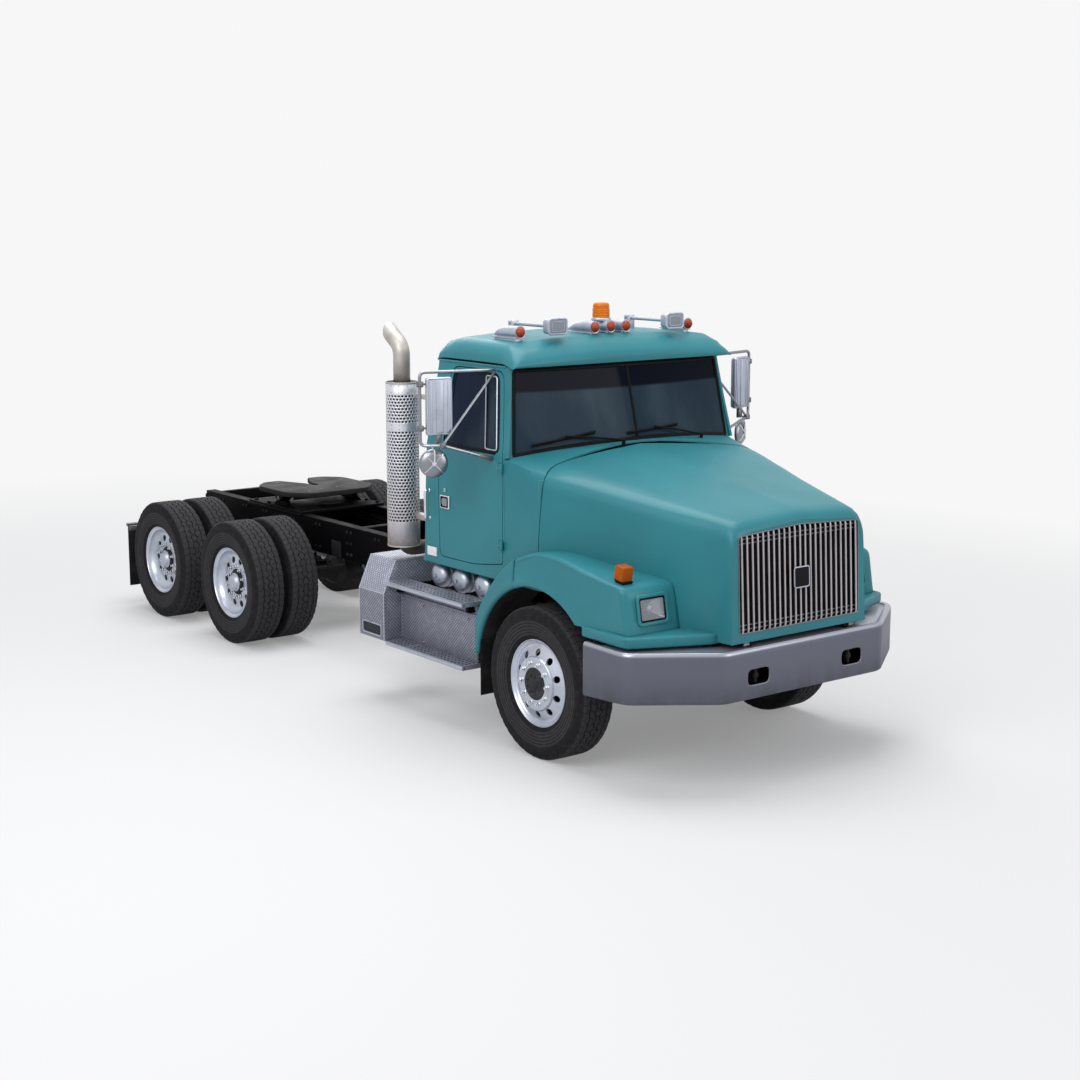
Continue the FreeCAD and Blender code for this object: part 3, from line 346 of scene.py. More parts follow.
@dataclass(frozen=True)
class BumperMetal:
    """Dull grey bumper skin: vertical wipe marks, road film low down, and a painted highlight along its top
    edge.
    """

    name: str = "bumper_metal"
    colour: Colour = tone(98, 100, 113)
    film: Colour = tone(60, 61, 69)
    # colour of the painted highlight along the top edge
    bright: Colour = tone(158, 160, 172)

    def build(self) -> bpy.types.Material:
        """Makes the material."""
        s = Shader(self.name)
        z = s.axes(s.place())[2]
        wipes = s.noise(3.5, 5, s.place(scale=(2.2, 2.2, 0.9)))
        grime = z.step(0.82, 0.58, 0.0, 0.75) * wipes.step(0.25, 0.8, 0.4, 1.0)
        # painted highlight: the band just under the top edge is painted lighter
        edge = z.step(0.905, 0.925)
        base = s.mix(edge, s.mix(grime, self.colour, self.film), self.bright)
        return s.dress(Base_Color=base, Metallic=0.75 - grime * 0.3,
                       Roughness=0.42 + grime * 0.2 - edge * 0.15 + wipes * 0.1,
                       Normal=s.bump(s.noise(150, 3), 0.0003, 0.4))


@dataclass(frozen=True)
class TreadPlate:
    """Rolled plate with raised lozenges, every other one turned across, the lozenges worn brighter, and
    painted lighter on up-facing surfaces as painted light.
    """

    name: str = "tread_plate"
    along: int = 1
    across: int = 2
    pitch: float = 0.028
    colour: Colour = tone(176, 180, 194)
    low: Colour = tone(104, 106, 118)
    # gain of the painted light: how much lighter up-facing surfaces are painted
    bright: float = 1.7

    def build(self) -> bpy.types.Material:
        """Makes the material."""
        s = Shader(self.name)
        axes = s.axes(s.place())
        u = axes[self.along] / self.pitch
        v = axes[self.across] / self.pitch
        diamonds = []
        for offset, tilt in ((0.0, 1.0), (0.5, -1.0)):
            a = (u + offset).fract() - 0.5
            b = (v + offset).fract() - 0.5
            long_way = abs(a + b * tilt)
            short_way = abs(a - b * tilt)
            lozenge = (long_way * 1.4 + short_way * 4.0).step(0.8, 0.5)
            diamonds.append(lozenge)
        raised = diamonds[0].high(diamonds[1])
        grime = s.noise(20, 5)
        # painted light: surfaces facing up are painted lighter than upright ones, as if lit from above
        up = s.facing_up().step(-0.1, 0.55)
        low = s.mix(up, self.low, tuple(c * self.bright for c in self.low))
        high = s.mix(up, self.colour, tuple(min(c * self.bright, 0.86) for c in self.colour))
        base = s.mix(raised * 0.8 + grime.step(0.4, 0.8) * 0.2, low, high)
        return s.dress(Base_Color=base, Metallic=0.45, Roughness=0.5 - raised * 0.16 + grime * 0.12,
                       Normal=s.bump(raised, 0.0016, 0.8))


@dataclass(frozen=True)
class HeatedSteel:
    """Bright sheet steel, browned by heat towards its foot."""

    name: str
    bottom: float
    top: float
    colour: Colour = tone(205, 206, 214)
    brown: Colour = tone(118, 98, 84)

    def build(self) -> bpy.types.Material:
        """Makes the material."""
        s = Shader(self.name)
        z = s.axes(s.place())[2]
        cloud = s.noise(7, 5, s.place(scale=(1, 1, 0.35)))
        heat = z.step(self.top - 0.5, self.bottom, 0.0, 0.8) * cloud.step(0.25, 0.75, 0.35, 1.0)
        return s.dress(Base_Color=s.mix(heat, self.colour, self.brown), Metallic=0.7,
                       Roughness=0.45 + heat * 0.2, Normal=s.bump(cloud, 0.002, 0.2))


@dataclass(frozen=True)
class TyreRubber:
    """Tyre rubber on the tyre's own UV map: u along the tread, v from bead to bead."""

    name: str = "tyre_rubber"
    colour: Colour = tone(20, 20, 23)
    dust: Colour = tone(66, 65, 67)

    def build(self) -> bpy.types.Material:
        """Makes the material."""
        s = Shader(self.name)
        u, v, _ = s.axes(s.place(source="UV"))
        ribs = (v * 190.0).sine() * 0.5 + 0.5
        wall = abs(v - 0.5).step(0.27, 0.3) * abs(v - 0.5).step(0.46, 0.43)
        sipes = (u * 62.0 + abs((v * 9.0).fract() - 0.5) * 0.8).fract()
        cuts = sipes.step(0.06, 0.02) + sipes.step(0.94, 0.98)
        tread = abs(v - 0.5).step(0.196, 0.18)
        grime = s.noise(26, 6)
        base = s.mix(grime.step(0.35, 0.9) * 0.3 + wall * (ribs * 0.45 + 0.1) + tread * 0.48, self.colour,
                     self.dust)
        height = ribs * wall * 0.25 - cuts * tread
        # painted shade: the sipe cuts across the tread are painted near-black
        return s.dress(Base_Color=s.mix(cuts * tread, base, tone(8, 8, 9)), Specular_IOR_Level=0.15,
                       Roughness=0.72 + grime * 0.18, Normal=s.bump(height, 0.0012, 0.7))


@dataclass(frozen=True)
class Soft:
    """Rubber or moulded plastic with a fine grain."""

    name: str
    colour: Colour
    dust: Colour
    roughness: float = 0.62
    grain: float = 350.0
    depth: float = 0.0004

    def build(self) -> bpy.types.Material:
        """Makes the material."""
        s = Shader(self.name)
        grain = s.cells(self.grain)
        cloud = s.noise(11, 5)
        base = s.mix(cloud.step(0.45, 0.85) * 0.6, self.colour, self.dust)
        return s.dress(Base_Color=base, Roughness=self.roughness + cloud * 0.12, Specular_IOR_Level=0.12,
                       Normal=s.bump(grain, self.depth, 0.5))


@dataclass(frozen=True)
class Cloth:
    """Woven seat cloth: two sets of threads, with a stripe down the middle panels."""

    name: str = "seat_cloth"
    colour: Colour = tone(62, 66, 74)
    light: Colour = tone(98, 102, 112)
    thread: float = 520.0

    def build(self) -> bpy.types.Material:
        """Makes the material."""
        s = Shader(self.name)
        x, y, z = s.axes(s.place())
        wave = self.thread * 2 * math.pi
        warp = (x * wave * 0.25).sine()
        weft = ((y + z) * wave * 0.25).sine()
        weave = warp * weft * 0.5 + 0.5
        fuzz = s.noise(220, 4)
        stripe = (x * 30.0).fract().step(0.38, 0.44) * (x * 30.0).fract().step(0.62, 0.56)
        base = s.mix(weave * 0.35 + stripe * 0.25 + fuzz.step(0.5, 0.9) * 0.2, self.colour, self.light)
        return s.dress(Base_Color=base, Roughness=0.85 + fuzz * 0.1, Sheen_Weight=0.25,
                       Normal=s.bump(weave + fuzz * 0.5, 0.0006, 0.6))


@dataclass(frozen=True)
class Glass:
    """See-through sheet: tinted, darker above the band, with faint wiper smears."""

    name: str
    colour: Colour
    alpha: float
    smear: float = 0.08
    roughness: float = 0.05
    band: float = 9.0

    def build(self) -> bpy.types.Material:
        """Makes the material."""
        s = Shader(self.name)
        smears = s.noise(3.2, 5, s.place(scale=(1, 1, 0.4)))
        shade = s.axes(s.place())[2].step(self.band - 0.012, self.band + 0.012)
        clear = s.mix(smears.step(0.4, 0.8) * 0.5, self.colour, tone(66, 80, 88))
        return s.dress(Base_Color=s.mix(shade, clear, tone(4, 9, 22)),
                       Alpha=(smears.step(0.35, 0.85) * self.smear + shade * 0.1 + self.alpha).low(1.0),
                       Roughness=self.roughness + smears * 0.05, Specular_IOR_Level=0.04,
                       Normal=s.bump(s.noise(2.0, 2), 0.0015, 0.15))


@dataclass(frozen=True)
class Lens:
    """Moulded coloured lens with fine upright flutes."""

    name: str
    colour: Colour
    deep: Colour
    alpha: float = 1.0
    flutes: float = 140.0
    axis: int = 0
    gloss: float = 0.25

    def build(self) -> bpy.types.Material:
        """Makes the material."""
        s = Shader(self.name)
        line = (s.axes(s.place())[self.axis] * self.flutes * 2 * math.pi).sine() * 0.5 + 0.5
        cloud = s.noise(40, 3)
        return s.dress(Base_Color=s.mix(line * 0.35 + cloud * 0.25, self.colour, self.deep),
                       Alpha=self.alpha, Roughness=0.3 + cloud * 0.08, Specular_IOR_Level=self.gloss,
                       Normal=s.bump(line, 0.0012, 0.6))


@dataclass(frozen=True)
class Cast:
    """Painted casting with a sandy skin and oily dust."""

    name: str = "casting"
    colour: Colour = tone(24, 24, 26)
    dust: Colour = tone(60, 54, 48)

    def build(self) -> bpy.types.Material:
        """Makes the material."""
        s = Shader(self.name)
        sand = s.noise(130, 5)
        dust = s.noise(6, 6).step(0.42, 0.75)
        return s.dress(Base_Color=s.mix(dust * 0.6, self.colour, self.dust), Specular_IOR_Level=0.15,
                       Roughness=0.6 + dust * 0.25, Normal=s.bump(sand, 0.0016, 0.6))


# ---- mesh kit ----
def around(count: int, phase: float = 0.0) -> list[float]:
    """Angles of evenly spaced places on a circle; phase shifts them by a share of a step."""
    return [2 * math.pi * (k + phase) / count for k in range(count)]


def circle(centre: Point, radius: float, count: int) -> list[Vector]:
    """Evenly spaced points of an upright circle across the truck."""
    x, y, z = centre
    return [Vector((x + radius * math.cos(a), y, z + radius * math.sin(a))) for a in around(count)]


def lengthwise(at: Point) -> Matrix:
    """Lays what was turned about z along the truck, with its origin at a point."""
    return Matrix.Translation(at) @ Matrix.Rotation(math.radians(-90), 4, "X")


def smooth_line(points: Sequence[Point], count: int) -> list[Vector]:
    """Evenly spaced points on a smooth line through a few points.

    Args:
        points: what the line passes through.
        count: how many points to return.

    Returns:
        Points along a Catmull-Rom line, ends included.
    """
    knots = [Vector(p) for p in points]
    knots = [knots[0] * 2 - knots[1], *knots, knots[-1] * 2 - knots[-2]]
    fine: list[Vector] = []
    for a, b, c, d in zip(knots, knots[1:], knots[2:], knots[3:]):
        for k in range(16):
            t = k / 16
            fine.append(0.5 * (2 * b + (c - a) * t + (2 * a - 5 * b + 4 * c - d) * t * t
                               + (3 * b - a - 3 * c + d) * t ** 3))
    fine.append(knots[-2])
    return spaced(fine, count)


def oblong(centre: Point, wide: float, high: float, soft: float, steps: int) -> list[Vector]:
    """Outline of a rounded upright rectangle across x, from the middle of its top and back to it.

    Args:
        centre: its middle.
        wide: half its width.
        high: half its height.
        soft: radius of its corners.
        steps: points to a corner.
    """
    x, y, z = centre
    corners = [(0, high), (wide, high), (wide, -high), (-wide, -high), (-wide, high), (0, high)]
    return rounded([(x + a, y, z + b) for a, b in corners], [0, soft, soft, soft, soft, 0], steps)


def spaced(points: Sequence[Point], count: int) -> list[Vector]:
    """Points at even steps along a chain of straight runs."""
    chain = [Vector(p) for p in points]
    marks = [0.0]
    for a, b in zip(chain, chain[1:]):
        marks.append(marks[-1] + (b - a).length)
    result: list[Vector] = []
    k = 0
    for i in range(count):
        at = marks[-1] * i / (count - 1)
        while k < len(chain) - 2 and marks[k + 1] < at:
            k += 1
        run = marks[k + 1] - marks[k]
        result.append(chain[k].lerp(chain[k + 1], (at - marks[k]) / run if run else 0.0))
    return result


def rounded(points: Sequence[Point], radii: Sequence[float], steps: int) -> list[Vector]:
    """An open chain with its inner corners rounded.

    Args:
        points: the corners.
        radii: how far before and after each corner the curve starts; the ends' are not used.
        steps: points on each curve.

    Returns:
        The chain's points; every corner gives steps + 1 of them, even with a radius of 0.
    """
    chain = [Vector(p) for p in points]
    result = [chain[0]]
    for before, corner, after, radius in zip(chain, chain[1:], chain[2:], radii[1:]):
        start = corner + (before - corner).normalized() * min(radius, (before - corner).length * 0.49)
        end = corner + (after - corner).normalized() * min(radius, (after - corner).length * 0.49)
        for k in range(steps + 1):
            t = k / steps
            result.append(start.lerp(corner, t).lerp(corner.lerp(end, t), t))
    result.append(chain[-1])
    return result


class Shape:
    """A mesh in the making, in stations from the front axle."""

    def __init__(self) -> None:
        """Starts empty."""
        self.bm = bmesh.new()

    def block(self, low: Point, high: Point, bevel: float = 0.0, segments: int = 2,
              turn: Matrix | None = None) -> "Shape":
        """Adds a box between opposite corners, with rounded edges; turn is a rotation about its centre."""
        size = Vector([abs(b - a) for a, b in zip(low, high)])
        centre = (Vector(high) + Vector(low)) / 2
        verts = bmesh.ops.create_cube(self.bm, size=1.0)["verts"]
        bmesh.ops.scale(self.bm, vec=size, verts=verts)
        if bevel:
            edges = list({e for v in verts for e in v.link_edges})
            made = bmesh.ops.bevel(self.bm, geom=edges, offset=bevel, segments=segments, profile=0.5,
                                   affect="EDGES", material=-1)
            verts = list({v for f in made["faces"] for v in f.verts} | {v for v in verts if v.is_valid})
        if turn is not None:
            bmesh.ops.rotate(self.bm, cent=(0, 0, 0), matrix=turn.to_3x3(), verts=verts)
        bmesh.ops.translate(self.bm, vec=centre, verts=verts)
        return self

    def rod(self, start: Point, end: Point, radius: float, tip: float | None = None, sides: int = 20,
            bevel: float = 0.0) -> "Shape":
        """Adds a round bar or cone between two points; bevel rounds its rims."""
        a, b = Vector(start), Vector(end)
        turn = (b - a).to_track_quat("Z", "Y").to_matrix().to_4x4()
        verts = bmesh.ops.create_cone(self.bm, cap_ends=True, segments=sides, radius1=radius,
                                      radius2=radius if tip is None else tip,
                                      depth=(b - a).length)["verts"]
        if bevel:
            rims = [e for e in {e for v in verts for e in v.link_edges}
                    if abs(e.verts[0].co.z - e.verts[1].co.z) < 1e-6]
            made = bmesh.ops.bevel(self.bm, geom=rims, offset=bevel, segments=2, profile=0.5,
                                   affect="EDGES", material=-1)
            verts = list({v for f in made["faces"] for v in f.verts} | {v for v in verts if v.is_valid})
        bmesh.ops.transform(self.bm, matrix=Matrix.Translation((a + b) / 2) @ turn, verts=verts)
        return self

    def ball(self, centre: Point, radius: float, scale: Point = (1, 1, 1), segments: int = 20) -> "Shape":
        """Adds a ball, stretched by scale."""
        verts = bmesh.ops.create_uvsphere(self.bm, u_segments=segments, v_segments=segments // 2,
                                          radius=radius)["verts"]
        bmesh.ops.scale(self.bm, vec=scale, verts=verts)
        bmesh.ops.translate(self.bm, vec=centre, verts=verts)
        return self

    def plate(self, outline: Sequence[Point], push: Point, bevel: float = 0.0, segments: int = 2) -> "Shape":
        """Adds a flat outline drawn out along push, with rounded edges."""
        verts = [self.bm.verts.new(p) for p in outline]
        face = self.bm.faces.new(verts)
        made = bmesh.ops.extrude_face_region(self.bm, geom=[face], use_keep_orig=True)["geom"]
        moved = [g for g in made if isinstance(g, bmesh.types.BMVert)]
        bmesh.ops.translate(self.bm, vec=push, verts=moved)
        faces = list({f for v in verts + moved for f in v.link_faces})
        bmesh.ops.recalc_face_normals(self.bm, faces=faces)
        if bevel:
            edges = list({e for f in faces for e in f.edges})
            bmesh.ops.bevel(self.bm, geom=edges, offset=bevel, segments=segments, profile=0.5,
                            affect="EDGES", material=-1)
        return self

    def lathe(self, profile: Sequence[Point], centre: Point, axis: Point, steps: int,
              closed: bool = True) -> list[bmesh.types.BMVert]:
        """Adds a turned solid from (along, radius) corners.

        Args:
            profile: its corners; the last joins the first when closed.
            centre: the point on the axis where along is 0.
            axis: direction of the axis, along x or z.
            steps: how many slices.
            closed: whether the profile is a loop.

        Returns:
            The new vertices.
        """
        along = Vector(axis)
        out = Vector((0, 0, 1)) if abs(along.z) < 0.5 else Vector((0, 1, 0))
        chain = [self.bm.verts.new(Vector(centre) + along * a + out * r) for a, r in profile]
        pairs = list(zip(chain, chain[1:])) + ([(chain[-1], chain[0])] if closed else [])
        edges = [self.bm.edges.new(pair) for pair in pairs]
        before = set(self.bm.verts) - set(chain)
        bmesh.ops.spin(self.bm, geom=chain + edges, cent=centre, axis=along, dvec=(0, 0, 0),
                       angle=2 * math.pi, steps=steps, use_merge=True)
        made = [v for v in self.bm.verts if v not in before]
        bmesh.ops.remove_doubles(self.bm, verts=made, dist=1e-5)
        made = [v for v in self.bm.verts if v not in before]
        bmesh.ops.recalc_face_normals(self.bm, faces=list({f for v in made for f in v.link_faces}))
        return made

    def skin(self, rows: Sequence[Sequence[Point]], thick: float = 0.0, loop: bool = False) -> "Shape":
        """Adds a surface through rows of points, all of one length.

        Args:
            rows: the rows, whose faces look to the left of the way the rows run on.
            thick: wall thickness, added on the inner side.
            loop: joins each row's last point to its first.

        Returns:
            This shape.
        """
        across, down = len(rows[0]), len(rows)
        verts = bmesh.ops.create_grid(self.bm, x_segments=across - 1, y_segments=down - 1, size=1.0)["verts"]
        for vert in verts:
            i = round((vert.co.x + 1) / 2 * (across - 1))
            j = round((vert.co.y + 1) / 2 * (down - 1))
            vert.co = Vector(rows[j][i])
        if loop:
            bmesh.ops.remove_doubles(self.bm, verts=verts, dist=1e-5)
            verts = [v for v in verts if v.is_valid]
        if thick:
            faces = list({f for v in verts for f in v.link_faces})
            bmesh.ops.solidify(self.bm, geom=faces, thickness=thick)
        return self

    def pipe(self, points: Sequence[Point], radius: float, bend: float = 0.0, sides: int = 12) -> "Shape":
        """Adds a round tube along runs whose corners are bent over the length bend."""
        line = rounded(points, [bend] * len(points), 6) if bend else [Vector(p) for p in points]
        curve = bpy.data.curves.new("run", "CURVE")
        curve.dimensions = "3D"
        curve.bevel_depth = radius
        curve.bevel_resolution = max(1, sides // 4 - 1)
        curve.use_fill_caps = True
        spline = curve.splines.new("POLY")
        spline.points.add(len(line) - 1)
        for knot, at in zip(spline.points, line):
            knot.co = (*at, 1)
        holder = bpy.data.objects.new("run", curve)
        mesh = bpy.data.meshes.new_from_object(holder)
        self.bm.from_mesh(mesh)
        bpy.data.objects.remove(holder)
        bpy.data.curves.remove(curve)
        bpy.data.meshes.remove(mesh)
        return self

    def hose(self, line: Sequence[Point], radius: float, sides: int) -> "Shape":
        """Adds an open-ended round tube that follows a line lying in the plane across x."""
        knots = [Vector(p) for p in line]
        rows = []
        for k, at in enumerate(knots):
            along = (knots[min(k + 1, len(knots) - 1)] - knots[max(k - 1, 0)]).normalized()
            out = along.cross(Vector((1, 0, 0)))
            rows.append([at + (Vector((1, 0, 0)) * math.cos(a) + out * math.sin(a)) * radius
                         for a in (2 * math.pi * i / sides for i in range(sides + 1))])
        return self.skin(rows, loop=True).turned_out()

    def nuts(self, centre: Point, radius: float, count: int, size: float, height: float,
             axis: Point = (1, 0, 0), sides: int = 6, phase: float = 0.0) -> "Shape":
        """Adds a ring of nuts or studs standing along the axis."""
        along = Vector(axis)
        out = Vector((0, 0, 1)) if abs(along.z) < 0.5 else Vector((0, 1, 0))
        for angle in around(count, phase):
            spoke = Matrix.Rotation(angle, 3, along) @ (out * radius)
            foot = Vector(centre) + spoke
            self.rod(foot, foot + along * height, size, size * 0.92, sides, size * 0.12)
        return self

    def drill(self, cutter: "Shape") -> "Shape":
        """Takes another shape out of this one."""
        mine, theirs = (Shape.loose(s) for s in (self, cutter))
        cut = mine.modifiers.new("cut", "BOOLEAN")
        cut.operation = "DIFFERENCE"
        cut.solver = "EXACT"
        cut.object = theirs
        mesh = bpy.data.meshes.new_from_object(mine.evaluated_get(bpy.context.evaluated_depsgraph_get()))
        self.bm = bmesh.new()
        self.bm.from_mesh(mesh)
        for holder in (mine, theirs):
            bpy.data.objects.remove(holder)
        return self

    @staticmethod
    def loose(shape: "Shape") -> bpy.types.Object:
        """A plain object of a shape, for a modifier to work on."""
        mesh = bpy.data.meshes.new("loose")
        shape.bm.to_mesh(mesh)
        holder = bpy.data.objects.new("loose", mesh)
        bpy.context.scene.collection.objects.link(holder)
        return holder

    def add(self, other: "Shape", mirror: bool = False, matrix: Matrix | None = None) -> "Shape":
        """Adds a copy of another shape, mirrored across the truck or moved by a matrix."""
        mesh = bpy.data.meshes.new("copy")
        other.bm.to_mesh(mesh)
        if matrix is not None:
            mesh.transform(matrix)
        if mirror:
            mesh.transform(Matrix.Scale(-1, 4, (1, 0, 0)))
            mesh.flip_normals()
        self.bm.from_mesh(mesh)
        bpy.data.meshes.remove(mesh)
        return self

    def both(self) -> "Shape":
        """Adds this shape's mirror image on the other side."""
        return self.add(self, mirror=True)

    def facing(self, way: Point) -> "Shape":
        """Turns an open shell's faces to look mostly one way."""
        faces = self.bm.faces[:]
        bmesh.ops.recalc_face_normals(self.bm, faces=faces)
        if sum(f.normal.dot(Vector(way)) * f.calc_area() for f in faces) < 0:
            bmesh.ops.reverse_faces(self.bm, faces=faces)
        return self

    def turned_out(self) -> "Shape":
        """Points every face outward; for closed meshes."""
        bmesh.ops.recalc_face_normals(self.bm, faces=self.bm.faces[:])
        return self

    def walled(self, thickness: float) -> "Shape":
        """Gives an open shell a wall on its inner side."""
        bmesh.ops.solidify(self.bm, geom=self.bm.faces[:], thickness=thickness)
        return self.turned_out()

    def merged(self, gap: float) -> "Shape":
        """Joins corners that lie within a gap of each other."""
        bmesh.ops.remove_doubles(self.bm, verts=self.bm.verts[:], dist=gap)
        return self

    def divided(self) -> "Shape":
        """Cuts up the edges that run further than reach along the truck."""
        reach, cuts = 0.12, 3
        edges = [e for e in self.bm.edges if abs(e.verts[0].co.y - e.verts[1].co.y) > reach]
        bmesh.ops.subdivide_edges(self.bm, edges=edges, cuts=cuts, use_grid_fill=True)
        return self

    def finish(self, name: str, material: bpy.types.Material, body: str, slot: str,
               replaces: Iterable[str] = (), angle: float = 35.0, soft: float = 0.0,
               divide: int = 0, wall: float = 0.0) -> bpy.types.Object:
        """Makes the piece, in the row frame.

        Args:
            name: the piece's name.
            material: its finish.
            body: the body it moves with.
            slot: the record's material slot; not used.
            replaces: CAD nodes it stands for.
            angle: edges sharper than this, in degrees, stay crisp.
            soft: width of a live bevel on sharp edges.
            divide: levels of subdivision.
            wall: thickness given to an open shell, inward.

        Returns:
            The object.
        """
        bmesh.ops.translate(self.bm, vec=(0, AXLE_Y, 0), verts=self.bm.verts)
        mesh = bpy.data.meshes.new(name)
        for face in self.bm.faces:
            face.smooth = True
        self.bm.to_mesh(mesh)
        self.bm.free()
        mesh.materials.append(material)
        piece = bpy.data.objects.new(name, mesh)
        bpy.context.scene.collection.objects.link(piece)
        if wall:
            shell = piece.modifiers.new("wall", "SOLIDIFY")
            shell.thickness = wall
            shell.offset = -1.0
        if soft:
            edge = piece.modifiers.new("edge", "BEVEL")
            edge.width = soft
            edge.segments = 2
            edge.limit_method = "ANGLE"
            edge.angle_limit = math.radians(angle)
        if divide:
            finer = piece.modifiers.new("finer", "SUBSURF")
            finer.levels = finer.render_levels = divide
        mesh.set_sharp_from_angle(angle=math.radians(angle))
        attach(piece, body)
        nodes = list(replaces)
        if nodes:
            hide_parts(*nodes)
        LOG.info("%s on %s, %d faces", name, body, len(mesh.polygons))
        return piece


class Finishes:
    """Every finish of the truck, made once."""

    def __init__(self) -> None:
        """Builds the materials."""
        shield_low, shield_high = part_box("heat_shield")
        chrome = tone(214, 216, 222)
        self.enamel = Enamel().build()
        self.black = ChassisPaint().build()
        self.bumper = BumperMetal().build()
        self.tread_side = TreadPlate("tread_plate_side", 1, 2).build()
        self.tread_top = TreadPlate("tread_plate_top", 0, 1).build()
        self.tread_face = TreadPlate("tread_plate_face", 0, 2).build()
        self.cast = Cast().build()
        self.plate_grease = Cast("greased_plate", tone(24, 24, 26), tone(54, 52, 50)).build()
        self.chrome = Metal("bright_chrome", chrome, tone(120, 122, 130), 0.12, 1.0, staining=0.2).build()
        self.polished = Metal("polished_aluminium", tone(190, 196, 208), tone(120, 124, 134), 0.3, 0.9,
                              (0.3, 1, 1), 0.5).build()
        self.hub = Cast("hub_casting", tone(40, 41, 44), tone(84, 84, 88)).build()
        self.tank = Metal("brushed_tank", tone(176, 182, 194), tone(112, 116, 126), 0.36, 1.0,
                          (1, 0.03, 1), 0.3).build()
        self.pipe = Metal("stack_pipe", tone(184, 180, 174), tone(128, 120, 112), 0.46, 0.7,
                          (1, 1, 0.3), 0.55).build()
        self.dull = Metal("dull_steel", tone(120, 120, 124), tone(72, 68, 64), 0.45, 0.9,
                          staining=0.5).build()
        self.shield = HeatedSteel("shield_steel", shield_low.z, shield_high.z).build()
        self.satin = Metal("satin_aluminium", tone(176, 181, 194), tone(112, 115, 126), 0.4, 0.75,
                           staining=0.4).build()
        self.bar = Metal("grille_bar", tone(176, 171, 175), tone(112, 106, 110), 0.4, 0.7,
                         staining=0.4).build()
        self.tube = Metal("satin_tube", tone(140, 143, 150), tone(84, 84, 90), 0.3, 0.9, staining=0.3).build()
        self.tyre = TyreRubber().build()
        self.rubber = Soft("sheet_rubber", tone(22, 22, 24), tone(54, 51, 49), 0.75).build()
        self.seal = Soft("window_seal", tone(8, 8, 10), tone(24, 24, 26), 0.6).build()
        self.plastic = Soft("moulded_plastic", tone(52, 53, 58), tone(72, 73, 78), 0.6).build()
        self.housing = Metal("lamp_housing", tone(150, 153, 164), tone(84, 86, 94), 0.36, 0.6,
                             staining=0.6).build()
        self.lamp_glass = Lens("work_glass", tone(140, 146, 156), tone(104, 110, 120), 1.0, 90.0).build()
        self.elbow = Metal("heated_steel", tone(84, 76, 68), tone(56, 48, 42), 0.55, 0.5,
                           staining=0.6).build()
        self.cloth = Cloth().build()
        self.screen = Glass("tinted_screen", tone(36, 52, 64), 0.92, 0.08, band=2.43).build()
        self.side_glass = Glass("side_glass", tone(24, 34, 52), 0.9, 0.08).build()
        self.mirror = Metal("mirror_glass", tone(190, 200, 210), tone(170, 178, 186), 0.04, 1.0,
                            staining=0.1, depth=0.00005).build()
        self.clear = Lens("clear_lens", tone(236, 238, 242), tone(190, 194, 202), 0.16, 90.0,
                          gloss=0.5).build()
        self.amber = Lens("amber_lens", tone(168, 80, 0), tone(112, 44, 0), 1.0, 120.0, gloss=0.12).build()
        self.amber_round = Lens("beacon_lens", tone(222, 122, 6), tone(168, 66, 2), 1.0, 60.0, 2).build()
        self.marker = Lens("marker_lens", tone(160, 58, 26), tone(96, 32, 14), 1.0, 60.0).build()
        self.red = Lens("red_lens", tone(150, 20, 18), tone(84, 8, 10), 1.0, 110.0).build()
        self.plate = Soft("blank_plate", tone(216, 218, 218), tone(176, 178, 176), 0.5).build()


def stack_axis() -> tuple[float, float]:
    """Where the exhaust stack stands, as x and station."""
    low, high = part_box("heat_shield")
    radius = 0.122
    at = Vector((low.x + radius, high.y - radius, 0))
    return at.x, at.y - AXLE_Y


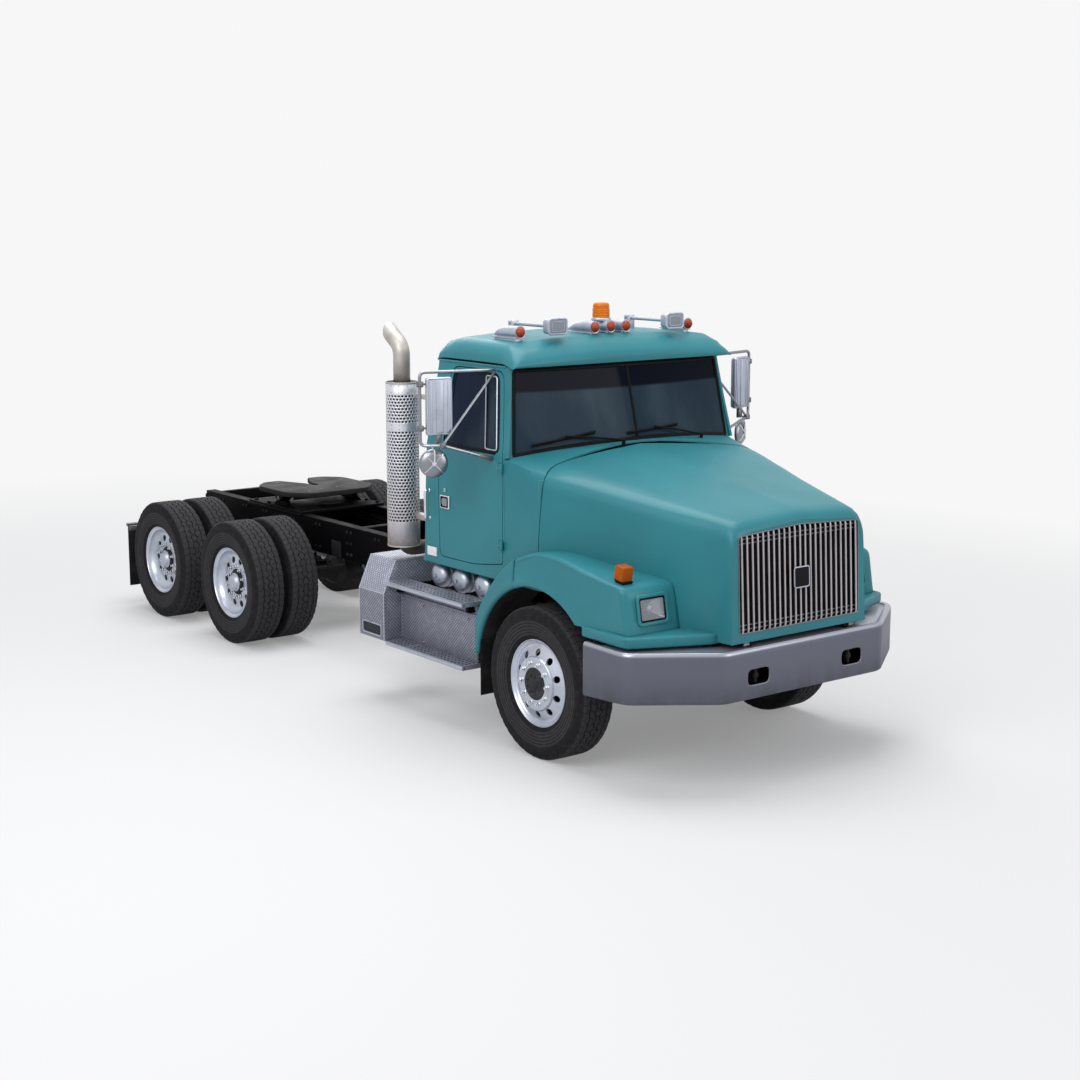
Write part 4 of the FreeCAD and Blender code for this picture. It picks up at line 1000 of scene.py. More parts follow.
@dataclass
class Studio:
    """Camera, lights and floor."""

    eye: Vector = field(default_factory=lambda: Vector((-8.479, -11.9855, 3.702)))
    yaw: float = -37.6
    pitch: float = 10.33
    focal: float = 1840.6
    image: int = 1080
    pale: float = 0.93

    def build(self) -> None:
        """Sets up the scene."""
        scene = bpy.context.scene
        scene.view_settings.view_transform = "Standard"
        camera = bpy.data.cameras.new("camera")
        camera.sensor_width = 36.0
        camera.lens = self.focal / self.image * camera.sensor_width
        holder = bpy.data.objects.new("camera", camera)
        holder.location = self.eye
        holder.rotation_euler = (math.radians(90 - self.pitch), 0.0, math.radians(self.yaw))
        scene.collection.objects.link(holder)
        scene.camera = holder
        self.light("top", (0.5, 0.5, 13), 9.0, 1300)
        self.light("key", (-9, -5, 8), 7.0, 680)
        self.light("front", (5, -14, 6), 7.0, 520)
        self.light("back", (4, 12, 8), 8.0, 420)
        self.backdrop()
        self.floor()

    def light(self, name: str, at: Point, size: float, power: float) -> None:
        """Adds a large square lamp aimed at the truck's middle."""
        lamp = bpy.data.lights.new(name, "AREA")
        lamp.size = size
        lamp.energy = power
        holder = bpy.data.objects.new(name, lamp)
        holder.location = at
        holder.rotation_euler = (Vector((0, 0, 1.2)) - Vector(at)).to_track_quat("-Z", "Y").to_euler()
        bpy.context.scene.collection.objects.link(holder)

    def seen(self, s: Shader) -> Value:
        """1 for rays from the camera, off gloss or through glass."""
        path = s.node("ShaderNodeLightPath").outputs
        direct = Value(s, path["Is Camera Ray"])
        return direct.high(Value(s, path["Is Glossy Ray"])).high(Value(s, path["Is Transmission Ray"]))

    def backdrop(self) -> None:
        """World: even soft light, seen as a pale backdrop."""
        world = bpy.data.worlds.new("backdrop")
        world.use_nodes = True
        bpy.context.scene.world = world
        s = Shader.__new__(Shader)
        s.tree = world.node_tree
        s.tree.nodes.clear()
        look = s.mix(self.seen(s), (0.48, 0.49, 0.51), (self.pale,) * 3)
        glow = s.node("ShaderNodeBackground", None, {"Color": look, "Strength": 1.0})
        out = s.node("ShaderNodeOutputWorld")
        s.tree.links.new(glow.outputs[0], out.inputs["Surface"])

    def floor(self) -> None:
        """Pale floor that keeps the truck's soft shadow and fades into the backdrop."""
        bm = bmesh.new()
        bmesh.ops.create_grid(bm, x_segments=8, y_segments=8, size=120.0)
        mesh = bpy.data.meshes.new("floor")
        bm.to_mesh(mesh)
        bm.free()
        s = Shader("floor")
        x, y, _ = s.axes(s.place())
        away = ((x * x) + (y * y) * 0.6).math("SQRT")
        fade = away.step(3.5, 10.0, 0.25, 1.0)
        s.dress(Base_Color=(0.6, 0.6, 0.61), Roughness=0.9, Specular_IOR_Level=0.1)
        glow = s.node("ShaderNodeEmission", None, {"Color": (self.pale,) * 3, "Strength": 1.0})
        blend = s.node("ShaderNodeMixShader", None, {0: fade * self.seen(s), 1: s.surface.outputs[0],
                                                     2: glow.outputs[0]})
        s.tree.links.new(blend.outputs[0], s.out.inputs["Surface"])
        mesh.materials.append(s.material)
        floor = bpy.data.objects.new("floor", mesh)
        bpy.context.scene.collection.objects.link(floor)


@dataclass
class Tyre:
    """A ribbed road tyre on its wheel's axis, centred on the origin."""

    radius: float = TYRE_R
    half: float = 0.139
    tread: float = 0.114
    bead: float = 0.303
    grooves: tuple[float, ...] = (-0.072, -0.021, 0.021, 0.072)
    groove: float = 0.0055
    depth: float = 0.013
    slices: int = 176
    wander: float = 0.0045
    links: float = 0.0105

    def profile(self) -> list[tuple[float, float]]:
        """Corners of the tyre's section, from one bead round to the other."""
        wall = [(0.098, self.bead - 0.012), (0.11, self.bead), (0.122, self.bead + 0.016),
                (0.13, 0.345), (0.1365, 0.385), (self.half, 0.422), (0.1375, 0.455), (0.133, 0.482),
                (0.1305, 0.487), (0.1305, 0.497), (0.127, 0.508), (0.121, self.radius - 0.007)]
        tread = [(self.tread, self.radius - 0.0015)]
        for at in reversed(self.grooves):
            crown = self.radius - 0.0015 + 0.0015 * (1 - (at / self.tread) ** 2)
            tread += [(at + self.groove, crown), (at + self.groove * 0.5, crown - self.depth),
                      (at - self.groove * 0.5, crown - self.depth), (at - self.groove, crown)]
        tread.append((-self.tread, self.radius - 0.0015))
        return wall + tread + [(-a, r) for a, r in reversed(wall)]

    def build(self) -> Shape:
        """Turns the tyre, sets its grooves zigzagging, the middle pair as chain links, and maps it."""
        shape = Shape()
        shape.lathe(self.profile(), (0, 0, 0), (1, 0, 0), self.slices)
        step = 2 * math.pi / self.slices
        for vert in shape.bm.verts:
            ring = math.hypot(vert.co.y, vert.co.z)
            if ring > self.radius - 0.02 and abs(vert.co.x) < 0.1:
                index = round(math.atan2(vert.co.y, vert.co.z) / step)
                swing = math.copysign(self.links, vert.co.x) if abs(vert.co.x) < 0.045 else self.wander
                vert.co.x += swing * (-1, -0.3, 1, 0.3)[index % 4]
            elif ring > 0.496 and abs(vert.co.x) > 0.112:
                index = round(math.atan2(vert.co.y, vert.co.z) / step)
                if index % 4 == 0:
                    vert.co.x *= 0.972
        layer = shape.bm.loops.layers.uv.new("UVMap")
        for face in shape.bm.faces:
            centre = face.calc_center_median()
            base = math.atan2(centre.y, centre.z)
            for loop in face.loops:
                co = loop.vert.co
                turn = math.atan2(co.y, co.z) - base
                turn = (turn + math.pi) % (2 * math.pi) - math.pi + base
                ring = math.hypot(co.y, co.z)
                across = co.x if ring > 0.49 else math.copysign(0.13 + (0.49 - ring), co.x)
                loop[layer].uv = (turn / (2 * math.pi) + 0.5, 0.5 + across / 0.65)
        return shape


def hand_holes(start: float, end: float, ring: float, hole: float, angles: Iterable[float]) -> Shape:
    """Cutter for a wheel's hand holes, from start to end along x."""
    cutter = Shape()
    for angle in angles:
        y, z = ring * math.sin(angle), ring * math.cos(angle)
        cutter.rod((start, y, z), (end, y, z), hole, sides=28)
    return cutter


@dataclass
class SteerWheel:
    """Polished front wheel: bulging disc with hand holes, and its hub."""

    half: float = 0.112
    holes: int = 10
    hole_ring: float = 0.214
    hole: float = 0.0245
    bolt_ring: float = 0.141

    def rim(self) -> Shape:
        """Rim and disc, with the hand holes cut through."""
        shape = Shape()
        outer = [(0.112, 0.3005), (0.1115, 0.2965), (0.107, 0.2935), (0.101, 0.288), (0.0975, 0.279),
                 (0.0925, 0.2735), (0.088, 0.27), (0.086, 0.264), (0.087, 0.256), (0.092, 0.246),
                 (0.102, 0.227), (0.111, 0.207), (0.1165, 0.196), (0.119, 0.19), (0.129, 0.186),
                 (0.1345, 0.182), (0.137, 0.175), (0.137, 0.112), (0.128, 0.11)]
        inner = [(0.128, 0.168), (0.121, 0.179), (0.11, 0.184), (0.101, 0.203), (0.092, 0.222), (0.08, 0.24),
                 (0.064, 0.25), (0.04, 0.252), (-0.07, 0.254), (-0.085, 0.262), (-0.098, 0.276),
                 (-0.102, 0.289), (-0.112, 0.2965), (-0.112, 0.3005), (-0.106, 0.3015), (-0.1, 0.2985),
                 (-0.094, 0.291), (-0.089, 0.283), (-0.06, 0.2695), (0.06, 0.2745), (0.088, 0.285),
                 (0.094, 0.291), (0.1, 0.299), (0.106, 0.3015)]
        shape.lathe(outer + inner, (0, 0, 0), (1, 0, 0), 100)
        return shape.drill(hand_holes(0.04, 0.16, self.hole_ring, self.hole, around(self.holes)))

    def hub(self) -> Shape:
        """Hub barrel, its pilot and the drum's face behind the hand holes."""
        shape = Shape()
        shape.lathe([(0.163, 0.0), (0.163, 0.028), (0.161, 0.04), (0.157, 0.047), (0.152, 0.05),
                     (0.1515, 0.072), (0.148, 0.078), (0.144, 0.08), (0.142, 0.094), (0.139, 0.104),
                     (0.13, 0.11), (0.05, 0.109), (0.05, 0.0)], (0, 0, 0), (1, 0, 0), 60, closed=False)
        shape.nuts((0.15, 0, 0), 0.062, 8, 0.0075, 0.009, phase=0.5)
        return shape

    def cap(self) -> Shape:
        """Hub's oil cap."""
        shape = Shape()
        shape.lathe([(0.165, 0.0), (0.165, 0.026), (0.1625, 0.033), (0.156, 0.036), (0.156, 0.0)],
                    (0, 0, 0), (1, 0, 0), 40, closed=False)
        return shape

    def nuts(self) -> Shape:
        """Wheel nuts on their washers, with studs showing."""
        shape = Shape()
        shape.nuts((0.1365, 0, 0), self.bolt_ring, self.holes, 0.0215, 0.004, sides=20, phase=0.5)
        shape.nuts((0.139, 0, 0), self.bolt_ring, self.holes, 0.0175, 0.017, phase=0.5)
        shape.nuts((0.15, 0, 0), self.bolt_ring, self.holes, 0.01, 0.014, sides=12, phase=0.5)
        return shape

    def drum(self) -> Shape:
        """Brake drum behind the disc."""
        shape = Shape()
        shape.lathe([(0.038, 0.1), (0.04, 0.19), (0.03, 0.206), (-0.05, 0.211), (-0.07, 0.211),
                     (-0.07, 0.197), (-0.02, 0.196), (0.016, 0.19), (0.02, 0.1)], (0, 0, 0), (1, 0, 0), 60)
        return shape


@dataclass
class DriveWheel:
    """Twin rear wheels: the outer one shows a shallow dish with a stepped hub standing in it."""

    middle: float = 0.905
    holes: int = 10
    hole_ring: float = 0.192
    hole: float = 0.029
    bolt_ring: float = 0.136

    def dish(self) -> Shape:
        """Inner wheel: rim with its plate at the outer end, centred on its own rim."""
        shape = Shape()
        profile = [(-0.112, 0.3005), (-0.1115, 0.2965), (-0.107, 0.2935), (-0.101, 0.288), (-0.0975, 0.279),
                   (-0.094, 0.2735), (-0.06, 0.268), (0.0, 0.262), (0.06, 0.257), (0.105, 0.252),
                   (0.131, 0.243), (0.153, 0.229), (0.165, 0.214), (0.165, 0.112), (0.176, 0.11),
                   (0.176, 0.216), (0.164, 0.234), (0.146, 0.25), (0.086, 0.264), (0.098, 0.276),
                   (0.102, 0.289), (0.112, 0.2965), (0.112, 0.3005), (0.106, 0.3015), (0.1, 0.2985),
                   (0.089, 0.283), (0.06, 0.2695), (-0.06, 0.2745), (-0.088, 0.285), (-0.1, 0.299),
                   (-0.106, 0.3015)]
        shape.lathe(profile, (0, 0, 0), (1, 0, 0), 100)
        return self.pierced(shape, 0.165)

    def face(self) -> Shape:
        """Outer wheel: rim with a shallow dish, centred on its own rim."""
        shape = Shape()
        profile = [(0.112, 0.3005), (0.1115, 0.2965), (0.107, 0.2935), (0.101, 0.288), (0.0975, 0.279),
                   (0.094, 0.2735), (0.082, 0.27), (0.068, 0.262), (0.054, 0.25), (0.044, 0.238),
                   (0.038, 0.226), (0.038, 0.205), (0.042, 0.172), (0.042, 0.112), (0.031, 0.11),
                   (0.03, 0.2), (0.027, 0.23), (0.02, 0.245), (0.0, 0.252), (-0.07, 0.254), (-0.085, 0.262),
                   (-0.098, 0.276), (-0.102, 0.289), (-0.112, 0.2965), (-0.112, 0.3005), (-0.106, 0.3015),
                   (-0.1, 0.2985), (-0.094, 0.291), (-0.089, 0.283), (-0.06, 0.2695), (0.06, 0.2745),
                   (0.088, 0.285), (0.094, 0.291), (0.1, 0.299), (0.106, 0.3015)]
        shape.lathe(profile, (0, 0, 0), (1, 0, 0), 100)
        return self.pierced(shape, 0.038)

    def pierced(self, shape: Shape, plate: float) -> Shape:
        """Cuts the hand holes through a plate at a place along x."""
        low, high = plate - 0.05, plate + 0.05
        return shape.drill(hand_holes(low, high, self.hole_ring, self.hole, around(self.holes, 0.5)))

    def hub(self) -> Shape:
        """Axle hub with its flange and the cap's ring of bolts, centred between the twins."""
        shape = Shape()
        shape.lathe([(0.262, 0.0), (0.262, 0.034), (0.259, 0.041), (0.246, 0.045), (0.23, 0.056),
                     (0.226, 0.06), (0.225, 0.0925), (0.214, 0.098), (0.2, 0.108), (0.0, 0.108), (0.0, 0.0)],
                    (0, 0, 0), (1, 0, 0), 60, closed=False)
        shape.nuts((0.225, 0, 0), 0.0865, 12, 0.005, 0.006, phase=0.5)
        return shape

    def cap(self) -> Shape:
        """Axle shaft's bright flange over the hub."""
        shape = Shape()
        shape.lathe([(0.2635, 0.0), (0.2635, 0.044), (0.2605, 0.053), (0.252, 0.061), (0.236, 0.07),
                     (0.2315, 0.079), (0.225, 0.08), (0.225, 0.0)], (0, 0, 0), (1, 0, 0), 48, closed=False)
        return shape

    def nuts(self) -> Shape:
        """Wheel nuts with studs standing out through the outer dish."""
        shape = Shape()
        shape.nuts((0.2065, 0, 0), self.bolt_ring, self.holes, 0.0215, 0.004, sides=20)
        shape.nuts((0.209, 0, 0), self.bolt_ring, self.holes, 0.0175, 0.019)
        shape.nuts((0.226, 0, 0), self.bolt_ring, self.holes, 0.01, 0.018, sides=12)
        return shape

    def drum(self) -> Shape:
        """Brake drum inside the inner wheel."""
        shape = Shape()
        shape.lathe([(-0.012, 0.09), (-0.013, 0.195), (-0.026, 0.21), (-0.12, 0.212), (-0.2, 0.212),
                     (-0.2, 0.198), (-0.04, 0.196), (-0.026, 0.09)], (0, 0, 0), (1, 0, 0), 60)
        return shape


class RunningGear:
    """All wheels and tyres."""

    def __init__(self, finishes: Finishes) -> None:
        """Makes the shared shapes."""
        self.f = finishes
        self.tyre = Tyre().build()
        self.steer = SteerWheel()
        self.drive = DriveWheel()

    def build(self) -> None:
        """Dresses every wheel."""
        parts = {"rim": self.steer.rim(), "hub": self.steer.hub(), "nuts": self.steer.nuts(),
                 "drum": self.steer.drum(), "oil_cap": self.steer.cap()}
        outer = Shape().add(self.drive.face(), matrix=Matrix.Translation((0.165, 0, 0)))
        outer.add(self.drive.dish(), matrix=Matrix.Translation((-0.165, 0, 0)))
        twin = {"rim": outer, "hub": self.drive.hub(), "nuts": self.drive.nuts(),
                "drum": self.drive.drum(), "cap": self.drive.cap()}
        pair = Shape().add(self.tyre, matrix=Matrix.Translation((0.165, 0, 0)))
        pair.add(self.tyre, matrix=Matrix.Translation((-0.165, 0, 0)))
        front_x = middle("front_tyre_left").x
        for side in Side:
            at = Matrix.Translation((front_x, 0, TYRE_R))
            self.wheel(f"front_{side.word}", side, at, parts, self.tyre,
                       f"front_wheel_{side.word}", f"front_tyre_{side.word}")
            for place, station in zip(("forward", "rearward"), REAR_AXLES):
                at = Matrix.Translation((self.drive.middle, station, TYRE_R))
                self.wheel(f"{place}_{side.word}", side, at, twin, pair,
                           f"{place}_wheels_{side.word}", f"{place}_tyres_{side.word}")

    def wheel(self, name: str, side: Side, at: Matrix, parts: dict[str, Shape], rubber: Shape,
              wheel_node: str, tyre_node: str) -> None:
        """Places one wheel's pieces.

        Args:
            name: ending of the pieces' names.
            side: which side; the right side's are mirrored.
            at: where the shapes' origin goes on the left side.
            parts: rim, hub, nuts and drum.
            rubber: the tyre or the pair.
            wheel_node: the CAD wheel they stand for, which is also its body.
            tyre_node: the CAD tyre.
        """
        looks = {"rim": self.f.polished, "hub": self.f.hub, "nuts": self.f.chrome, "drum": self.f.cast,
                 "cap": self.f.satin, "oil_cap": self.f.hub}
        slots = {"rim": "aluminium", "hub": "cast", "nuts": "chrome", "drum": "cast", "cap": "aluminium",
                 "oil_cap": "cast"}
        for part, shape in parts.items():
            placed = Shape().add(shape, mirror=False, matrix=at)
            if side is Side.RIGHT:
                placed = Shape().add(placed, mirror=True)
            placed.finish(f"{part}_{name}", looks[part], wheel_node, slots[part],
                          [wheel_node] if part == "rim" else [], 30)
        placed = Shape().add(rubber, matrix=at)
        if side is Side.RIGHT:
            placed = Shape().add(placed, mirror=True)
        placed.finish(f"tyre_{name}", self.f.tyre, wheel_node, "tyre", [tyre_node], 40)


# ---- front of the truck ----
@dataclass
class Bumper:
    """Wrap-round bumper of pressed metal with rolled edges and two tow eyes."""

    finishes: Finishes
    bottom: float = 0.606
    top: float = 0.929
    end_bottom: float = 0.58
    wall: float = 0.01
    tow_x: float = 0.427
    tow_z: float = 0.746
    plan: tuple[tuple[float, float], ...] = ((1.218, -0.58), (1.2345, -0.998), (0.714, -1.3745))

    def line(self) -> list[Vector]:
        """Outer face in plan, from the left end round to the right one."""
        half = [Vector((x, y, 0)) for x, y in self.plan]
        whole = half + [Vector((-p.x, p.y, 0)) for p in reversed(half)]
        return rounded(whole, [0, 0.075, 0.05, 0.05, 0.075, 0], 6)

    def build(self) -> None:
        """Makes the skin, the bright roll and the tow eyes."""
        face = self.line()
        rows = []
        section = ((0.04, self.bottom + 0.004), (0.012, self.bottom), (0.003, self.bottom + 0.006),
                   (0.0, self.bottom + 0.02), (0.001, 0.7), (0.0, 0.8), (0.0, self.top - 0.045),
                   (0.0005, self.top - 0.018), (0.004, self.top - 0.006), (0.012, self.top),
                   (0.03, self.top - 0.001), (0.034, self.top - 0.003))
        count = len(face)
        for inward, z in section:
            row = []
            for i, at in enumerate(face):
                a, b = face[max(i - 1, 0)], face[min(i + 1, count - 1)]
                run = (b - a).normalized()
                inner = Vector((-run.y, run.x, 0))
                if inner.dot(Vector((0, -0.2, 0)) - at) < 0:
                    inner = -inner
                drop = (self.bottom - self.end_bottom) * max(0.0, (at.y + 0.95) / 0.37)
                low = z - drop * (self.top - z) / (self.top - self.bottom) if at.y > -0.95 else z
                row.append(at + inner * inward + Vector((0, 0, low)))
            rows.append(row)
        skin = Shape().skin(rows).turned_out().walled(self.wall * 0.6)
        cutter = Shape()
        for sign in (-1, 1):
            cutter.block((sign * self.tow_x - 0.1, -1.43, self.tow_z - 0.057),
                         (sign * self.tow_x + 0.1, -1.25, self.tow_z + 0.057), 0.045, 5)
        skin.drill(cutter)
        skin.finish("bumper_skin", self.finishes.bumper, "chassis", "bumper_metal", ["front_bumper"], 40)
        self.shelf()
        self.eyes()
        self.stays()
        self.splash_guards()

    def splash_guards(self) -> None:
        """Black rubber sheets behind the bumper's ends, ahead of the tyres: painted shade that closes the gap
        between the bumper and the fender ledges.
        """
        sheet = Shape()
        sheet.block((-1.185, -0.644, 0.7), (-0.56, -0.634, 0.952), 0.002)
        sheet.block((-1.185, -0.648, 0.905), (-0.56, -0.643, 0.945), 0.001)
        # painted shade: dark sheets stand where there is only the shaded gap above the tyres
        sheet.both().finish("splash_guards", self.finishes.rubber, "chassis", "rubber")

    def shelf(self) -> None:
        """Flange turned in from the bumper's top edge, with a folded rear lip."""
        outer = [(-1.192, -0.7), (-1.2035, -0.985), (-0.703, -1.3445)]
        inner = [(-0.56, -1.13), (-0.985, -0.85), (-0.985, -0.7)]
        plan = outer + [(-x, y) for x, y in reversed(outer)] + [(-x, y) for x, y in reversed(inner)] + inner
        top = self.top - 0.002
        sheet = Shape().plate([(x, y, top - 0.005) for x, y in plan], (0, 0, 0.005), 0.0015)
        lip = [(x, y) for x, y in reversed(inner)] + [(-x, y) for x, y in inner]
        sheet.add(Shape().skin([[(x, y, z) for x, y in lip] for z in (top - 0.003, top - 0.11)], 0.005))
        sheet.finish("bumper_shelf", self.finishes.bumper, "chassis", "bumper_metal", angle=30)

    def eyes(self) -> None:
        """Raised rims round the tow holes, a black pocket behind each as painted shade inside the hole, and a
        pin across each.
        """
        rims, pockets, pins = Shape(), Shape(), Shape()
        for sign in (-1, 1):
            x = sign * self.tow_x
            loop = oblong((x, -1.374, self.tow_z), 0.1, 0.057, 0.045, 6)
            rims.pipe(loop + [loop[1]], 0.0062, sides=12)
            liner = [[p + Vector((0, 0.006 + deep, 0)) for p in loop + [loop[0]]] for deep in (0.0, 0.072)]
            pockets.skin(liner, 0.003)
            pockets.plate([p + Vector((0, 0.076, 0)) for p in loop[:-1]], (0, 0.004, 0))
            pins.rod((x, -1.342, self.tow_z - 0.047), (x, -1.342, self.tow_z + 0.047), 0.013)
            pins.ball((x, -1.342, self.tow_z), 0.026, (1, 0.8, 1), 16)
        rims.finish("tow_rims", self.finishes.dull, "chassis", "bumper_metal")
        # painted shade: the pockets take black chassis paint so the tow holes read dark
        pockets.turned_out().finish("tow_pockets", self.finishes.black, "chassis", "frame_black")
        pins.finish("tow_pins", self.finishes.cast, "chassis", "cast")

    def stays(self) -> None:
        """Stays from the frame out to the bumper's ends, and its bolts."""
        stays = Shape()
        bolts = Shape()
        for sign in (-1, 1):
            stays.pipe([(sign * 0.41, -1.15, 0.8), (sign * 0.8, -1.08, 0.78), (sign * 1.195, -0.93, 0.77)],
                       0.022, 0.05)
            for z in (0.665, 0.87):
                bolts.ball((sign * 0.6, -1.374, z), 0.012, (1, 0.35, 1), 14)
            bolts.ball((sign * 1.2255, -0.76, 0.8), 0.012, (0.35, 1, 1), 14)
        stays.finish("bumper_stays", self.finishes.black, "chassis", "frame_black")
        bolts.finish("bumper_bolts", self.finishes.chrome, "chassis", "chrome")


def seam_line(gap: float = 0.0) -> list[tuple[float, float]]:
    """Rear edge of the hood's top in plan, from right to left; gap moves it back."""
    half = [(1.3, 0.112), (0.99, 0.112), (0.925, 0.158), (0.62, 0.24), (0.25, 0.284), (0.0, 0.29)]
    chain = [Vector((x, y + gap, 0)) for x, y in half]
    chain += [Vector((-p.x, p.y, 0)) for p in reversed(chain[:-1])]
    return [(p.x, p.y) for p in rounded(chain, [0, 0.05, 0.05, 0.2, 0.2, 0, 0.2, 0.2, 0.05, 0.05, 0], 5)]


@dataclass
class Hood:
    """Tilting hood: nose shell, grille, fenders with lamp pods, and their lamps."""

    finishes: Finishes
    bottom: float = 0.96
    seam: float = 0.112
    grille_half: float = 0.546
    grille_low: float = 1.021
    grille_high: float = 1.645
    arch_centre: tuple[float, float] = (0.03, TYRE_R)
    arch: float = 0.65
    fender_half: float = 1.155
    lamp_in: float = 0.818
    lamp_out: float = 1.026
    lamp_low: float = 1.094
    lamp_high: float = 1.24
    # Station, forward lean at the foot, half widths at foot, middle and top, heights of middle, top, centre.
    sections: tuple[tuple[float, ...], ...] = (
        (-1.29, 0.03, 0.61, 0.6, 0.57, 1.5, 1.65, 1.7),
        (-1.282, 0.029, 0.611, 0.602, 0.572, 1.505, 1.672, 1.722),
        (-1.262, 0.026, 0.612, 0.604, 0.574, 1.52, 1.7, 1.744),
        (-1.225, 0.018, 0.616, 0.607, 0.576, 1.54, 1.722, 1.761),
        (-1.175, 0.01, 0.62, 0.612, 0.58, 1.56, 1.736, 1.776),
        (-0.9, 0.006, 0.714, 0.706, 0.645, 1.55, 1.782, 1.828),
        (-0.6, 0.003, 0.816, 0.812, 0.712, 1.535, 1.832, 1.88),
        (-0.3, 0.0, 0.917, 0.916, 0.79, 1.52, 1.886, 1.934),
        (0.0, 0.0, 1.018, 1.018, 0.862, 1.505, 1.937, 1.987),
        (0.112, 0.0, 1.054, 1.054, 0.889, 1.5, 1.954, 2.004),
        (0.29, 0.0, 1.06, 1.06, 0.9, 1.5, 1.975, 2.036),
    )

    def section(self, row: tuple[float, ...]) -> list[Vector]:
        """One half section of the nose, from the bottom edge up and in to the centre line."""
        station, lean, low, mid, top, z_mid, shoulder, centre = row
        edge = mid - (mid - top) * 0.3
        corners = [Vector((low, self.bottom, 0)), Vector((mid, z_mid, 0)),
                   Vector((edge, shoulder - 0.055, 0)), Vector((top - 0.03, shoulder + 0.004, 0)),
                   Vector((top * 0.5, shoulder * 0.45 + centre * 0.55, 0)), Vector((0, centre, 0))]
        soft = rounded(corners, [0, 0.3, 0.055, 0.08, 0.22, 0], 6)
        line = spaced(soft, 46)
        return [Vector((p.x, station - lean * (shoulder - p.y) / (shoulder - self.bottom), p.y))
                for p in line]

    def build(self) -> None:
        """Makes every piece of the hood."""
        self.shell()
        self.face()
        self.grille()
        self.fenders()
        self.ledges()
        self.lamps()
        self.markers()

    def shell(self) -> None:
        """Top and sides, stepping back in a tongue ahead of the glass."""
        rows = [self.section(r) for r in self.sections]
        left = Shape().skin([[(-p.x, p.y, p.z) for p in row] for row in rows])
        left.add(Shape().skin([row[::-1] for row in rows]))
        left.merged(1e-4).turned_out().divided().turned_out().walled(0.008)
        behind = Shape()
        seam = self.seam
        behind.plate([(-1.3, seam, 0.7), (1.3, seam, 0.7), (1.3, 0.7, 0.7), (-1.3, 0.7, 0.7)], (0, 0, 1.18))
        left.drill(behind)
        behind = Shape()
        back = [Vector((x, y, 1.8795)) for x, y in seam_line()]
        behind.plate([(-1.3, 0.7, 1.8795), *reversed(back), (1.3, 0.7, 1.8795)], (0, 0, 0.4))
        left.drill(behind)
        arch = Shape()
        arch.plate([(-1.3, -0.64, 0.9), (-1.3, -0.64, 0.99), (-1.3, -0.5, 1.13), (-1.3, 0.2, 1.13),
                    (-1.3, 0.2, 0.9)], (2.6, 0, 0))
        left.drill(arch)
        left.finish("hood_shell", self.finishes.enamel, "hood", "paint", ["hood"], 40, soft=0.003)

    def face(self) -> None:
        """Front panel round the grille, its rolled frame, and the hinge lugs below."""
        row = self.section(self.sections[0])
        low, high = self.grille_low, self.grille_high
        half = self.grille_half

        def at(x: float, z: float) -> Vector:
            """A point of the leaning front plane."""
            return Vector((x, -1.29 - 0.03 * (1.65 - z) / 0.69 + 0.001, z))

        ring = [Vector((-p.x, 0, p.z)) for p in row] + [Vector((p.x, 0, p.z)) for p in reversed(row)][1:]
        hole = rounded([(0, 0, low), (-half, 0, low), (-half, 0, high), (0, 0, high + 0.028),
                        (half, 0, high), (half, 0, low), (0, 0, low)],
                       [0, 0.02, 0.02, 0.0, 0.02, 0.02, 0], 4)
        plate = Shape()
        outline = [at(p.x, p.z) for p in ring]
        plate.plate(outline, (0, 0.018, 0))
        cutter = Shape()
        cutter.plate([(p.x, -1.45, p.z) for p in hole[:-1]], (0, 0.4, 0))
        plate.turned_out().drill(cutter)
        plate.finish("hood_face", self.finishes.enamel, "hood", "paint", angle=40, soft=0.004)
        rim = Shape()
        rim.pipe([at(p.x * 0.997, p.z) + Vector((0, -0.001, 0)) for p in hole], 0.0045, sides=10)
        rim.finish("grille_surround", self.finishes.dull, "hood", "chrome")
        lugs = Shape()
        for sign in (-1, 1):
            lugs.rod((sign * 0.4555, -1.31, 0.945), (sign * 0.505, -1.31, 0.945), 0.01, bevel=0.002)
            lugs.rod((sign * 0.425, -1.31, 0.945), (sign * 0.47, -1.31, 0.945), 0.005)
            lugs.block((sign * 0.458, -1.318, 0.945), (sign * 0.502, -1.302, 0.975), 0.003)
        lugs.finish("hood_hinge_lugs", self.finishes.dull, "hood", "chrome")

    def grille(self) -> None:
        """Upright round bars, cross rails, a black sheet behind them as painted shade, and a blank badge
        plate.
        """
        low, high, half = self.grille_low, self.grille_high, self.grille_half

        def at(x: float, z: float, proud: float = 0.0) -> Vector:
            """A point of the grille's leaning plane."""
            return Vector((x, -1.318 + 0.034 * (z - low) / (high - low) - proud, z))

